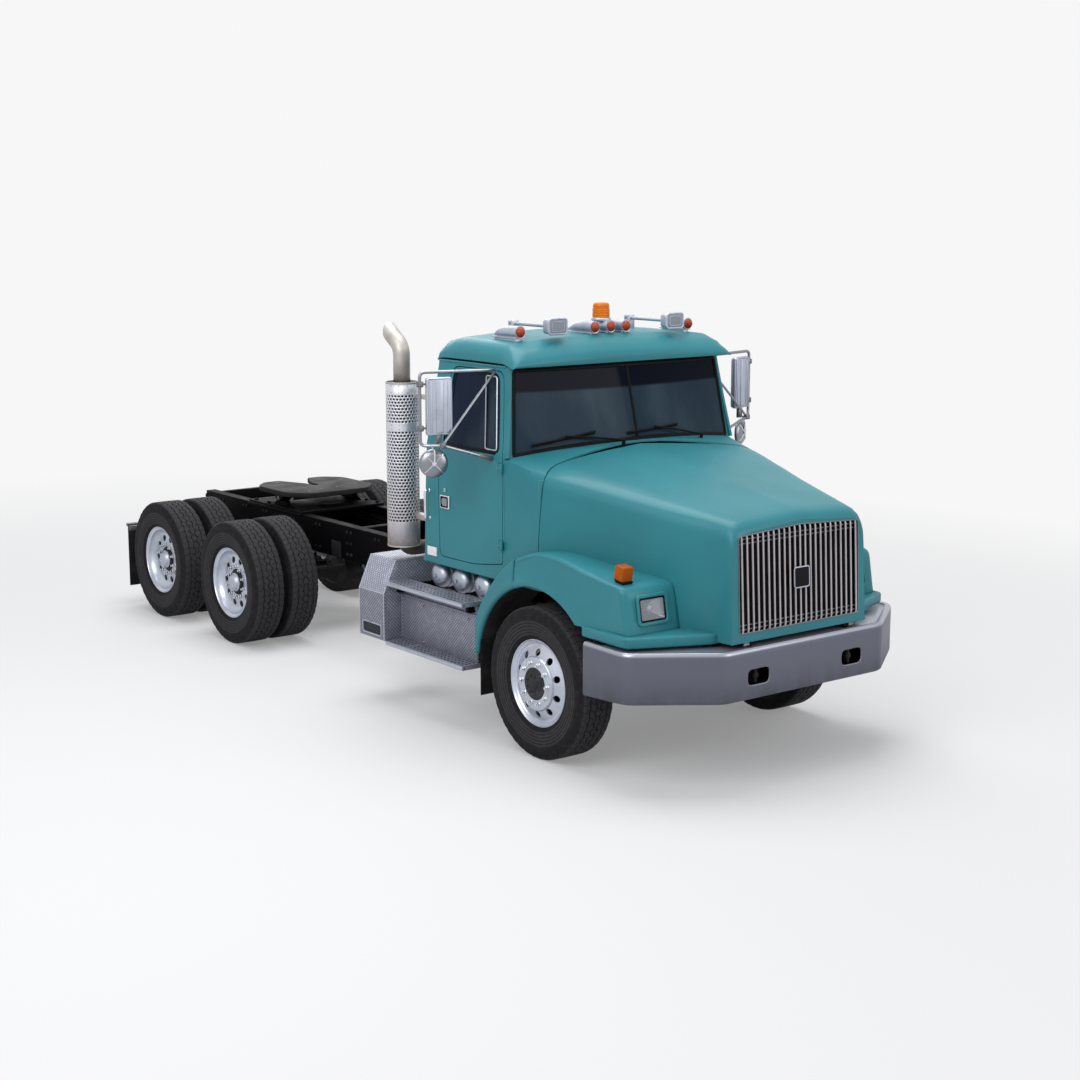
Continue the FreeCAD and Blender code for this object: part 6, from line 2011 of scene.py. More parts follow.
@dataclass
class Door:
    """One door: pressed skin with a window frame, its glass and vent, handle, lining and mirror."""

    finishes: Finishes
    cab: Cab
    side: Side

    def build(self) -> None:
        """Makes every piece that swings with the door."""
        self.skin()
        self.glass()
        self.handle()
        self.lining()
        self.hinges()
        self.mirror()

    def place(self, shape: Shape, name: str, look: bpy.types.Material, slot: str,
              replaces: Iterable[str] = (), angle: float = 35.0, soft: float = 0.0) -> None:
        """Finishes a left-hand shape as a piece of this door."""
        if self.side is Side.RIGHT:
            shape = Shape().add(shape, mirror=True)
        shape.finish(f"{name}_{self.side.word}", look, f"door_{self.side.word}", slot, replaces, angle, soft)

    def window_line(self, gap: float) -> list[tuple[float, float]]:
        """Edge of the window opening as (station, height); gap shrinks it."""
        corners = [Vector((0.566 + gap, 2.022 + gap, 0)), Vector((0.664 + gap, 2.55 - gap, 0)),
                   Vector((1.2 - gap, 2.55 - gap, 0)), Vector((1.236 - gap, 2.022 + gap, 0))]
        loop = [(corners[-1] + corners[0]) / 2, *corners, (corners[-1] + corners[0]) / 2]
        soft = rounded(loop, [0, 0.045, 0.055, 0.06, 0.05, 0], 6)
        return [(p.x, p.y) for p in soft[:-1]]

    def skin(self) -> None:
        """Outer panel with its swage line and rolled edge, cut for the window."""
        cab = self.cab
        heights = [1.2, 1.215, 1.25, 1.3, 1.36, 1.5, 1.7, 1.9, 1.955, 1.965, 1.975, 1.99, 2.005, 2.03, 2.1,
                   2.2, 2.3, 2.4, 2.5, 2.54, 2.57]
        stations = [0.512 + (1.292 - 0.512) * k / 26 for k in range(27)]
        rows = []
        for z in heights:
            swage = 0.004 * math.exp(-((z - 1.965) / 0.008) ** 2) - 0.002
            rows.append([Vector((cab.width(z) + swage, y, z)) for y in stations])
        panel = Shape().skin(rows).facing((1, 0, 0)).walled(0.03)
        edge = cab.door_line(0.0)
        frame = Shape()
        frame.plate([(0.5, y, z) for y, z in edge], (0.9, 0, 0))
        keep = Shape.loose(frame)
        holder = Shape.loose(panel)
        both = holder.modifiers.new("keep", "BOOLEAN")
        both.operation = "INTERSECT"
        both.solver = "EXACT"
        both.object = keep
        mesh = bpy.data.meshes.new_from_object(holder.evaluated_get(bpy.context.evaluated_depsgraph_get()))
        panel = Shape()
        panel.bm.from_mesh(mesh)
        for item in (keep, holder):
            bpy.data.objects.remove(item)
        panel.drill(Shape().plate([(0.6, y, z) for y, z in self.window_line(0.0)], (0.8, 0, 0)))
        self.place(panel, "door_skin", self.finishes.enamel, "paint",
                   [f"door_{self.side.word}"], 32, soft=0.003)

    def glass(self) -> None:
        """Window, its seal, and the vent pane's bar."""
        cab = self.cab
        line = self.window_line(-0.004)
        pane = Shape()
        face = [Vector((0.0, y, z)) for y, z in line]
        pane.plate(face, (0.004, 0, 0))
        for vert in pane.bm.verts:
            vert.co.x += cab.width(vert.co.z) - 0.02
        self.place(pane, "door_pane", self.finishes.side_glass, "glass", [f"door_glass_{self.side.word}"])
        seal = Shape()
        ring = [Vector((cab.width(z) - 0.004, y, z)) for y, z in self.window_line(-0.001)]
        seal.pipe(ring + [ring[0]], 0.006, sides=10)
        seal.pipe([(cab.width(2.02) - 0.012, 0.734, 2.022), (cab.width(2.55) - 0.012, 0.822, 2.55)], 0.009,
                  sides=12)
        seal.block((cab.width(2.0) - 0.012, 0.6, 2.006), (cab.width(2.0) + 0.004, 1.225, 2.022), 0.004)
        self.place(seal, "door_seal", self.finishes.seal, "rubber")
        vent = [(0.655, 2.036), (0.588, 2.036), (0.68, 2.534), (0.808, 2.534), (0.722, 2.036), (0.655, 2.036)]
        corners = [Vector((cab.width(z) + 0.001, y, z)) for y, z in vent]
        line = rounded(corners, [0, 0.02, 0.025, 0.02, 0.02, 0], 4)
        rim = Shape().pipe([*line, line[1]], 0.0055, sides=10)
        self.place(rim, "vent_frame", self.finishes.satin, "chrome")

    def handle(self) -> None:
        """Paddle handle in its dished surround, with the key lock above."""
        x = self.cab.width(1.6)
        surround, paddle = Shape(), Shape()
        surround.block((x - 0.004, 1.15, 1.552), (x + 0.01, 1.266, 1.65), 0.006, 3)
        hole = Shape().block((x - 0.02, 1.16, 1.561), (x + 0.03, 1.256, 1.641), 0.008, 3)
        surround.turned_out().drill(hole)
        surround.rod((x - 0.002, 1.208, 1.688), (x + 0.008, 1.208, 1.688), 0.013, sides=24, bevel=0.002)
        paddle.block((x + 0.001, 1.172, 1.572), (x + 0.016, 1.224, 1.63), 0.004, 3)
        paddle.block((x + 0.001, 1.228, 1.58), (x + 0.009, 1.244, 1.622), 0.003, 2)
        paddle.rod((x + 0.006, 1.208, 1.688), (x + 0.0095, 1.208, 1.688), 0.008, sides=20)
        well = Shape().block((x - 0.006, 1.16, 1.56), (x + 0.0045, 1.256, 1.642), 0.003)
        self.place(surround, "handle_surround", self.finishes.chrome, "chrome")
        self.place(well, "handle_well", self.finishes.seal, "interior")
        self.place(paddle, "handle_paddle", self.finishes.tube, "chrome")

    def lining(self) -> None:
        """Inner door card with armrest, pull and window crank."""
        cab, card = self.cab, Shape()
        card.block((cab.half - 0.05, 0.545, 1.25), (cab.half - 0.036, 1.262, 1.985), 0.006)
        card.block((cab.half - 0.11, 0.74, 1.6), (cab.half - 0.048, 1.16, 1.65), 0.018, 3)
        card.block((cab.half - 0.062, 0.62, 1.3), (cab.half - 0.048, 1.2, 1.5), 0.01, 3)
        card.pipe([(cab.half - 0.052, 0.8, 1.7), (cab.half - 0.085, 0.8, 1.7), (cab.half - 0.085, 0.98, 1.76),
                   (cab.half - 0.052, 0.98, 1.76)], 0.01, 0.02, 12)
        self.place(card, "door_card", self.finishes.plastic, "interior")
        crank = Shape().rod((cab.half - 0.05, 0.66, 1.56), (cab.half - 0.07, 0.66, 1.56), 0.022, sides=20,
                            bevel=0.004)
        crank.pipe([(cab.half - 0.068, 0.66, 1.56), (cab.half - 0.082, 0.7, 1.47)], 0.007)
        crank.rod((cab.half - 0.08, 0.7, 1.47), (cab.half - 0.112, 0.7, 1.47), 0.012, sides=16, bevel=0.003)
        self.place(crank, "window_crank", self.finishes.chrome, "chrome")

    def hinges(self) -> None:
        """Two hinges: leaves on the door and round knuckles on the pin line."""
        x, leaves = self.cab.half + 0.013, Shape()
        y = 0.51
        for z in (1.345, 1.885):
            leaves.rod((x, y, z + 0.001), (x, y, z + 0.069), 0.0115, sides=20, bevel=0.0015)
            leaves.block((self.cab.width(z) - 0.002, y, z + 0.004),
                         (self.cab.width(z) + 0.009, y + 0.062, z + 0.066), 0.003)
            for dy, dz in ((0.025, 0.018), (0.048, 0.018), (0.025, 0.052), (0.048, 0.052)):
                leaves.rod((self.cab.width(z) + 0.008, y + dy, z + dz),
                           (self.cab.width(z) + 0.013, y + dy, z + dz), 0.0055, sides=6)
        self.place(leaves, "door_hinge", self.finishes.enamel, "paint")

    def mirror(self) -> None:
        """Mirror on its tube loop: ribbed back, glass, round spot mirror, and clamps."""
        f, out = self.finishes, self.cab.half + 0.483
        loop, head, glass, spot, clamps, ribs = (Shape() for _ in range(6))
        top_in, low_in = (0.956, 0.719, 2.576), (1.03, 0.632, 1.968)
        knee = (self.cab.half + 0.37, 0.695, 2.09)
        loop.pipe([top_in, (out, 0.8, 2.586), (out, 0.8, 2.086), knee, low_in], 0.0115, 0.04, 16)
        loop.pipe([top_in, knee], 0.0095, sides=12)
        loop.pipe([(out - 0.2, 0.774, 2.584), (0.956, 0.845, 2.576)], 0.0075, sides=12)
        clamps.block((0.938, 0.695, 2.556), (0.962, 0.865, 2.59), 0.004)
        clamps.rod((1.034, 0.632, 1.968), (1.052, 0.634, 1.968), 0.026, sides=24, bevel=0.004)
        clamps.rod(Vector(low_in).lerp(Vector(knee), 0.05), Vector(low_in).lerp(Vector(knee), 0.3), 0.017,
                   sides=16, bevel=0.004)
        clamps.block((out - 0.145, 0.752, 2.078), (out - 0.105, 0.78, 2.16), 0.004)
        for z in (2.205, 2.505):
            clamps.block((out - 0.022, 0.782, z - 0.02), (out + 0.018, 0.818, z + 0.02), 0.005)
            clamps.pipe([(out, 0.8, z), (out - 0.05, 0.792, z), (out - 0.1, 0.783, z)], 0.0075)
        clamps.block((knee[0] - 0.02, knee[1] - 0.018, knee[2] - 0.02),
                     (knee[0] + 0.02, knee[1] + 0.018, knee[2] + 0.02), 0.006)
        turn = Matrix.Rotation(math.radians(15), 4, "Z")
        centre = Vector((out - 0.13, 0.765, 2.352))
        shell = Shape().block((-0.095, -0.026, -0.198), (0.095, 0.019, 0.198), 0.018, 4)
        shell.block((-0.026, -0.034, -0.182), (0.026, -0.02, 0.182), 0.007, 3)
        for x in (-0.062, 0.062):
            shell.block((x - 0.007, -0.031, -0.176), (x + 0.007, -0.02, 0.176), 0.004, 3)
        edging = oblong((0, -0.0265, 0), 0.085, 0.189, 0.012, 4)
        shell.pipe([*edging, edging[1]], 0.0038, sides=8)
        head.add(shell, matrix=Matrix.Translation(centre) @ turn)
        ring = oblong((0, 0.021, 0), 0.083, 0.186, 0.014, 4)
        head.add(Shape().pipe(ring + [ring[1]], 0.0045), matrix=Matrix.Translation(centre) @ turn)
        pane = Shape().block((-0.082, 0.017, -0.185), (0.082, 0.0225, 0.185), 0.002)
        glass.add(pane, matrix=Matrix.Translation(centre) @ turn)
        at = Vector((out - 0.095, 0.78, 1.96))
        bowl = Shape()
        bowl.lathe([(-0.03, 0.0), (-0.029, 0.03), (-0.024, 0.062), (-0.014, 0.086), (-0.002, 0.098),
                    (0.008, 0.1), (0.014, 0.098), (0.012, 0.0)], (0, 0, 0), (0, 0, 1), 40, closed=False)
        upright = Matrix.Rotation(math.radians(-90), 4, "X")
        spin = Matrix.Translation(at) @ Matrix.Rotation(math.radians(26), 4, "Z") @ upright
        spot.add(bowl, matrix=spin)
        cross = Shape()
        for angle in around(4, 0.5):
            ends = [(0.016, -0.0305), (0.06, -0.0265), (0.088, -0.0145)]
            cross.pipe([(r * math.cos(angle), r * math.sin(angle), z) for r, z in ends], 0.0042, sides=8)
        cross.rod((0, 0, -0.04), (0, 0, -0.026), 0.015, sides=20, bevel=0.003)
        ribs.add(cross, matrix=spin)
        ribs.pipe([at + Vector((0.012, -0.032, 0)), at + Vector((0.012, -0.034, 0.095)),
                   at + Vector((0.02, 0.0, 0.123))], 0.0075, 0.02)
        lens = Shape()
        lens.lathe([(0.012, 0.094), (0.0165, 0.08), (0.0205, 0.05), (0.022, 0.0)],
                   (0, 0, 0), (0, 0, 1), 40, closed=False)
        glass.add(lens, matrix=spin)
        body = ((loop, "mirror_loop", f.tube, "chrome", [f"mirror_{self.side.word}"]),
                (clamps, "mirror_clamps", f.dull, "chrome", []),
                (head, "mirror_head", f.satin, "chrome", []), (spot, "spot_mirror", f.tube, "chrome", []),
                (ribs, "spot_ribs", f.chrome, "chrome", []), (glass, "mirror_glass", f.mirror, "chrome", []))
        for shape, name, look, slot, nodes in body:
            self.place(shape, name, look, slot, nodes)


@dataclass
class RoofLamps:
    """Marker lamps, two work lamps on arms and a warning beacon."""

    finishes: Finishes
    work: tuple[float, float] = (-0.543, 0.543)
    work_z: float = 2.868

    def build(self) -> None:
        """Makes the lamps by material."""
        f = self.finishes
        bodies, lenses, beacon = Shape(), Shape(), Shape()
        for x, y, z in ((0.78, 0.672, 2.831), (0.145, 0.632, 2.843), (0.0, 0.629, 2.845)):
            for side in ((1, -1) if x else (1,)):
                self.marker(bodies, lenses, side * x, y, z)
        for x in self.work:
            self.work_lamp(bodies, x)
        self.beacon(bodies, beacon)
        bodies.finish("roof_lamp_bodies", f.satin, "chassis", "chrome", ["roof_lamps"], 32)
        lenses.finish("marker_lenses", f.marker, "chassis", "amber", angle=18)
        beacon.finish("beacon_dome", f.amber_round, "chassis", "amber", angle=32)
        self.glasses()

    def marker(self, bodies: Shape, lenses: Shape, x: float, y: float, z: float) -> None:
        """One torpedo lamp: bullet body swept down to the rear, bright ring, faceted lens, foot."""
        rows = []
        stations = ((0.0, 0.0405, 0.0), (0.012, 0.0415, 0.0), (0.1, 0.0415, 0.0), (0.16, 0.04, -0.002),
                    (0.21, 0.035, -0.007), (0.25, 0.027, -0.014), (0.28, 0.017, -0.023),
                    (0.295, 0.007, -0.031))
        for run, radius, drop in stations:
            ring = circle((x, y + run, z + drop), radius, 24)
            rows.append([*ring, ring[0]])
        shell = Shape().skin(rows, loop=True)
        for end in (rows[0], rows[-1]):
            shell.bm.faces.new([shell.bm.verts.new(p) for p in end[:-1]])
        bmesh.ops.remove_doubles(shell.bm, verts=shell.bm.verts[:], dist=1e-5)
        shell.turned_out()
        shell.block((x - 0.026, y + 0.02, z - 0.1), (x + 0.026, y + 0.27, z - 0.03), 0.008, 3)
        shell.block((x - 0.034, y + 0.01, z - 0.047), (x + 0.034, y + 0.285, z - 0.037), 0.004)
        bodies.add(shell)
        ring, lens = Shape(), Shape()
        ring.lathe([(0.0, 0.044), (0.01, 0.044), (0.012, 0.038), (0.002, 0.036)], (0, 0, 0), (0, 0, 1), 28)
        lens.lathe([(0.004, 0.038), (-0.006, 0.037), (-0.018, 0.029), (-0.032, 0.014), (-0.038, 0.0)],
                   (0, 0, 0), (0, 0, 1), 14, closed=False)
        lay = lengthwise((x, y, z))
        bodies.add(ring, matrix=lay)
        lenses.add(lens, matrix=lay)

    def work_lamp(self, bodies: Shape, x: float) -> None:
        """One work lamp: rounded housing with a deep rim, arm, clamp and foot."""
        z = self.work_z
        bodies.block((x - 0.078, 0.56, z - 0.052), (x + 0.078, 0.636, z + 0.052), 0.022, 4)
        line = oblong((x, 0.555, z), 0.078, 0.052, 0.022, 5)
        bodies.pipe([*line, line[1]], 0.0085, sides=12)
        bodies.rod((x, 0.63, z - 0.003), (x, 1.075, z - 0.003), 0.0125, sides=16)
        bodies.rod((x, 0.632, z - 0.003), (x, 0.66, z - 0.003), 0.022, 0.014, sides=20, bevel=0.003)
        bodies.block((x - 0.03, 1.036, z - 0.09), (x + 0.03, 1.098, z + 0.02), 0.008, 3)
        bodies.block((x - 0.04, 1.03, z - 0.092), (x + 0.04, 1.11, z - 0.08), 0.004)
        bodies.rod((x - 0.03, 1.072, z - 0.003), (x + 0.03, 1.072, z - 0.003), 0.0075, sides=6)

    def beacon(self, bodies: Shape, dome: Shape) -> None:
        """Pedestal, ringed base and the ribbed dome."""
        at = (0.0, 0.742, 0.0)
        bodies.lathe([(2.75, 0.0), (2.75, 0.044), (2.872, 0.044), (2.878, 0.05), (2.88, 0.068),
                      (2.886, 0.072), (2.897, 0.072), (2.902, 0.068), (2.902, 0.0)], at, (0, 0, 1), 36)
        dome.lathe([(2.9, 0.0), (2.9, 0.0615), (2.908, 0.063), (2.936, 0.0625), (2.938, 0.0605),
                    (2.941, 0.0605), (2.943, 0.062), (2.97, 0.061), (2.972, 0.059), (2.975, 0.059),
                    (2.977, 0.06), (2.996, 0.0585), (3.004, 0.054), (3.008, 0.045), (3.009, 0.0)],
                   at, (0, 0, 1), 40)

    def glasses(self) -> None:
        """Fluted glasses of the work lamps and the reflector bowls behind them."""
        f, z, glass, bowl = self.finishes, self.work_z, Shape(), Shape()
        for x in self.work:
            glass.block((x - 0.071, 0.547, z - 0.046), (x + 0.071, 0.559, z + 0.046), 0.004, 3)
            bowl.block((x - 0.06, 0.556, z - 0.034), (x + 0.06, 0.562, z + 0.034), 0.002)
            bowl.pipe(oblong((x, 0.5465, z), 0.052, 0.033, 0.01, 4), 0.0025, sides=8)
            bowl.rod((x, 0.55, z), (x, 0.56, z), 0.02, 0.03, sides=20)
        bowl.finish("work_lamp_bowls", f.polished, "chassis", "chrome")
        glass.finish("work_lamp_glasses", f.lamp_glass, "chassis", "lamp")


@dataclass
class Stack:
    """Upright exhaust: elbow, muffler, curved tip, and the perforated guard round it."""

    finishes: Finishes

    def build(self) -> None:
        """Makes the pipework and the guard."""
        self.pipework()
        self.guard()

    def pipework(self) -> None:
        """Muffler, top pipe with its curved cut-off mouth, and the run from the frame."""
        x, y = stack_axis()
        tip = Shape()
        bend = [Vector((x, y, 2.4)), Vector((x, y, 2.606))]
        reach, turn = 0.12, math.radians(58)
        for k in range(1, 13):
            a = turn * k / 12
            bend.append(Vector((x, y + reach * (1 - math.cos(a)), 2.606 + reach * math.sin(a))))
        away = (bend[-1] - bend[-2]).normalized()
        bend.append(bend[-1] + away * 0.25)
        tip.hose(bend, 0.0625, 36)
        tip.drill(Shape().block((x - 0.2, y + 0.153, 2.4), (x + 0.2, y + 0.9, 3.1)))
        tip.finish("stack_tip", self.finishes.pipe, "chassis", "stack_metal", ["exhaust_stack"], 40,
                   wall=0.004)
        low = Shape()
        low.lathe([(1.3, 0.0), (1.3, 0.055), (1.325, 0.06), (1.335, 0.09), (1.352, 0.097), (2.352, 0.097),
                   (2.37, 0.09), (2.38, 0.0655), (2.43, 0.0655), (2.43, 0.0)], (x, y, 0), (0, 0, 1), 40)
        right = -RAIL_X + 0.155
        elbow = Shape()
        elbow.pipe([(x, y, 1.34), (x, y, 1.157), (right, y, 1.157), (right, y, 1.045)], 0.0545, 0.105, 20)
        elbow.pipe([(right, y - 0.02, 1.075), (right, 1.2, 1.075), (right, 0.66, 1.075)], 0.0375, 0.06, 16)
        elbow.finish("stack_elbow", self.finishes.elbow, "chassis", "stack_metal")
        for z in (1.215, 1.285):
            low.rod((x, y, z), (x, y, z + 0.02), 0.06, sides=32, bevel=0.003)
        low.block((x + 0.055, y - 0.012, 1.217), (x + 0.085, y + 0.012, 1.303), 0.004)
        # the muffler takes the dark heated-steel finish: partly heat colour, partly painted shade seen
        # through the guard's holes
        low.finish("stack_pipework", self.finishes.elbow, "chassis", "stack_metal", angle=40)

    def pierced_tube(self, radius: float) -> Shape:
        """The guard's sheet: plain bands, and rows of staggered oval holes between them."""
        x, y = stack_axis()
        columns, rise, sheet = 28, 0.0235, Shape()
        known: dict[tuple[int, int], bmesh.types.BMVert] = {}

        def spot(turn: float, z: float) -> Vector:
            """A point of the sheet; turn counts half columns."""
            angle = math.pi * turn / columns
            return Vector((x + radius * math.cos(angle), y + radius * math.sin(angle), z))

        def knot(turn: int, z: float) -> bmesh.types.BMVert:
            """The corner shared by the cells round it."""
            key = (turn % (2 * columns), round(z * 1e5))
            if key not in known:
                known[key] = sheet.bm.verts.new(spot(turn, z))
            return known[key]

        def plain(low: float, high: float) -> None:
            """A band without holes."""
            for k in range(2 * columns):
                sheet.bm.faces.new([knot(k, low), knot(k + 1, low), knot(k + 1, high), knot(k, high)])

        def cell(start: int, low: float) -> None:
            """One cell with an oval hole in it."""
            high = low + rise
            edge = [knot(start, low), knot(start + 1, low), knot(start + 2, low), knot(start + 2, high),
                    knot(start + 1, high), knot(start, high)]
            oval = []
            for degrees in (-135, -112.5, -90, -67.5, -45, 0, 45, 67.5, 90, 112.5, 135, 180):
                a = math.radians(degrees)
                at = spot(start + 1 + 0.7 * math.cos(a), low + rise * (0.5 + 0.34 * math.sin(a)))
                oval.append(sheet.bm.verts.new(at))
            for m in range(6):
                sheet.bm.faces.new([edge[m], edge[(m + 1) % 6], oval[(2 * m + 2) % 12], oval[2 * m + 1],
                                    oval[2 * m]])

        foot, bands = 1.19, ((1.3795, 29), (2.118, 9))
        for low, rows in bands:
            plain(foot, low)
            for j in range(rows):
                for k in range(columns):
                    cell(2 * k + j % 2, low + rise * j)
            foot = low + rise * rows
        plain(foot, 2.418)
        return sheet.turned_out()

    def guard(self) -> None:
        """Rolled guard with rims, a centre band, rows of rivets and cab brackets."""
        x, y = stack_axis()
        radius = 0.1215
        guard = self.pierced_tube(radius)
        guard.drill(Shape().rod((x, y, 1.155), (0.0, y, 1.155), 0.07, sides=32))
        guard.finish("stack_guard", self.finishes.shield, "chassis", "stack_metal", ["heat_shield"], 50,
                     wall=0.0025)
        trim = Shape()
        for z in (1.196, 2.412):
            trim.lathe([(-0.005, radius - 0.004), (-0.005, radius + 0.002), (0.005, radius + 0.002),
                        (0.005, radius - 0.004)], (x, y, z), (0, 0, 1), 72)
        for z in (1.235, 1.365, 2.075, 2.105, 2.345, 2.395):
            for a in around(12, 0.5):
                out = Vector((math.cos(a), math.sin(a), 0))
                at = Vector((x, y, z)) + out * (radius - 0.002)
                trim.rod(at, at + out * 0.005, 0.0055, 0.004, sides=8)
        for z in (1.4, 2.3):
            trim.block((x + 0.03, 1.492, z), (x + 0.1, y - 0.06, z + 0.04), 0.004)
            trim.block((x + 0.015, 1.478, z - 0.03), (x + 0.115, 1.494, z + 0.07), 0.004)
        trim.finish("guard_trim", self.finishes.pipe, "chassis", "stack_metal")


@dataclass
class Flank:
    """What hangs under and behind the doors: steps, box, tanks, rear arches, flaps, tail."""

    finishes: Finishes

    def build(self) -> None:
        """Makes every piece along the two sides."""
        self.right_steps()
        self.left_steps()
        self.tool_box()
        self.fuel_tank()
        self.air_tanks()
        self.rear_arches()
        self.flaps()
        self.tail()

    def tread(self, metal: Shape, x: tuple[float, float], y: tuple[float, float], z: float) -> None:
        """One step: a sheet with rows of oblong holes, a rolled front lip and a rear flange.

        Args:
            metal: the shape it is added to.
            x: inner and outer edge.
            y: front and rear end.
            z: its top.
        """
        inner, outer = x
        sign = 1 if outer > inner else -1
        width = abs(outer - inner)
        rows = max(2, round(width / 0.042))
        across = [0.0]
        for k in range(rows):
            start = 0.016 + (width - 0.032) * k / rows
            across += [start + 0.0045, start + (width - 0.032) / rows - 0.0045]
        across.append(width)
        count = round((y[1] - y[0]) / 0.046)
        step = (y[1] - y[0] - 0.04) / count
        along = [y[0]]
        for k in range(count):
            along += [y[0] + 0.02 + step * k + 0.007, y[0] + 0.02 + step * (k + 1) - 0.007]
        along.append(y[1])
        sheet = Shape().skin([[(inner + sign * a, b, z) for a in across] for b in along])
        holes = []
        for face in sheet.bm.faces:
            centre = face.calc_center_median()
            i = sum(a < abs(centre.x - inner) for a in across)
            j = sum(b < centre.y for b in along)
            if i % 2 == 0 and j % 2 == 0 and 1 < i < len(across) and 1 < j < len(along):
                holes.append(face)
        bmesh.ops.delete(sheet.bm, geom=holes, context="FACES")
        metal.add(sheet.facing((0, 0, 1)).walled(0.004))
        metal.rod((outer - sign * 0.0175, y[0], z - 0.0175), (outer - sign * 0.0175, y[1], z - 0.0175),
                  0.0175, sides=24, bevel=0.003)
        metal.block((inner, y[0], z - 0.035), (inner + sign * 0.006, y[1], z), 0.0015)
        for end in (y[0], y[1] - 0.005):
            metal.block((inner, end, z - 0.033), (outer - sign * 0.017, end + 0.005, z - 0.002), 0.0015)
        for k in (1, 2, 3):
            at = y[0] + (y[1] - y[0]) * k / 4
            metal.block((inner, at - 0.01, z - 0.03), (outer - sign * 0.02, at + 0.01, z - 0.006), 0.002)

    def right_steps(self) -> None:
        """Two treads, the plate behind them with its pressed ribs, brackets from the frame, and black plates
        under the treads as painted shade in their holes.
        """
        f, metal, panel, black = self.finishes, Shape(), Shape(), Shape()
        for z in (0.485, 0.94):
            self.tread(metal, (-1.0, -1.2), (0.81, 1.806), z)
            # painted shade: a black plate just under each tread so its holes read dark
            black.block((-1.18, 0.818, z - 0.02), (-1.004, 1.798, z - 0.013))
        metal.finish("steps_right", f.satin, "chassis", "aluminium", ["cab_steps"])
        panel.block((-1.055, 0.815, 0.486), (-1.043, 1.806, 0.812), 0.002)
        for low, high, out in ((0.812, 0.836, -1.06), (0.836, 0.868, -1.05), (0.868, 0.902, -1.058)):
            panel.block((out, 0.815, low), (-1.043, 1.806, high), 0.004)
        for y in (0.825, 1.788):
            panel.block((-1.061, y - 0.01, 0.488), (-1.052, y + 0.01, 0.812), 0.002)
        for y in (0.93, 1.215, 1.5, 1.788):
            for z in (0.51, 0.79):
                panel.rod((-1.054, y, z), (-1.0635, y, z), 0.008, 0.0065, sides=12)
        panel.finish("step_panel", f.tread_side, "chassis", "tread_plate")
        for y in (0.85, 1.74):
            black.block((-1.11, y, 0.85), (-RAIL_X, y + 0.04, 0.904), 0.006)
            black.block((-1.03, y + 0.006, 0.44), (-0.99, y + 0.034, 0.904), 0.004)
            black.block((-1.19, y + 0.006, 0.452), (-0.99, y + 0.034, 0.48), 0.004)
            black.block((-0.452, y - 0.03, 0.82), (-RAIL_X, y + 0.07, 0.96), 0.004)
            for z in (0.845, 0.935):
                black.rod((-0.452, y - 0.012, z), (-0.464, y - 0.012, z), 0.012, sides=6)
                black.rod((-0.452, y + 0.052, z), (-0.464, y + 0.052, z), 0.012, sides=6)
        black.finish("step_brackets", f.black, "chassis", "frame_black")

    def left_steps(self) -> None:
        """Two treads on hangers from the fuel tank, with black plates under them as painted shade in their
        holes.
        """
        metal, black = Shape(), Shape()
        for z in (0.495, 0.86):
            self.tread(metal, (1.085, 1.2), (0.86, 1.46), z)
            # painted shade: a black plate just under each tread so its holes read dark
            black.block((1.09, 0.868, z - 0.02), (1.18, 1.452, z - 0.013))
        metal.finish("steps_left", self.finishes.satin, "chassis", "aluminium")
        for y in (0.884, 1.424):
            line = [(1.19, 0.455), (1.19, 0.855), (1.08, 0.868), (1.03, 0.975), (0.985, 0.99),
                    (1.085, 0.855), (1.105, 0.78), (1.085, 0.7), (1.03, 0.585), (0.975, 0.53), (1.01, 0.455)]
            black.plate([(x, y, z) for x, z in line], (0, 0.012, 0), 0.002)
        black.finish("step_hangers", self.finishes.black, "chassis", "frame_black")

    def tool_box(self) -> None:
        """Chamfered box of tread plate with corner edging, a rimmed slot and a lid seam."""
        f = self.finishes
        front, rear, low, knee, top = 1.812, 2.16, 0.48, 0.84, 1.085
        line = [(-1.2, low), (-1.2, knee), (-1.09, top), (-0.62, top), (-0.62, low)]
        skin = Shape().plate([(x, front, z) for x, z in line], (0, rear - front, 0), 0.005, 3)
        skin.drill(Shape().block((-1.22, 1.862, 0.512), (-1.18, 2.108, 0.59), 0.014, 3))
        skin.finish("tool_box_shell", f.tread_side, "chassis", "tread_plate", ["battery_box"])
        ends = Shape()
        inset = [(-1.188, low + 0.012), (-1.188, knee - 0.004), (-1.083, top - 0.012), (-0.632, top - 0.012),
                 (-0.632, low + 0.012)]
        ends.plate([(x, front + 0.0008, z) for x, z in inset], (0, -0.0028, 0), 0.001)
        ends.plate([(x, rear - 0.0008, z) for x, z in inset], (0, 0.0028, 0), 0.001)
        ends.finish("tool_box_ends", f.tread_face, "chassis", "tread_plate")
        lid = Shape().block((-1.078, front + 0.01, top - 0.001), (-0.63, rear - 0.01, top + 0.002), 0.001)
        lid.finish("tool_box_top", f.tread_top, "chassis", "tread_plate")
        edging, dark = Shape(), Shape()
        ring = [Vector((-1.2005, p.x, p.z)) for p in oblong((1.985, 0, 0.551), 0.127, 0.043, 0.02, 5)]
        edging.pipe([*ring, ring[1]], 0.0055, sides=10)
        for y in (front + 0.006, rear - 0.006):
            for (x0, z0), (x1, z1) in zip(line[:3], line[1:3]):
                edging.rod((x0, y, z0), (x1, y, z1), 0.0045, sides=10)
        edging.rod((-1.2, front, knee), (-1.2, rear, knee), 0.0035, sides=10)
        edging.finish("tool_box_edging", f.satin, "chassis", "tread_plate")
        dark.block((-1.192, 1.86, 0.51), (-1.181, 2.11, 0.592), 0.002)
        dark.finish("tool_box_slot", f.plastic, "chassis", "frame_black")
        arms = Shape()
        for y in (1.852, 2.07):
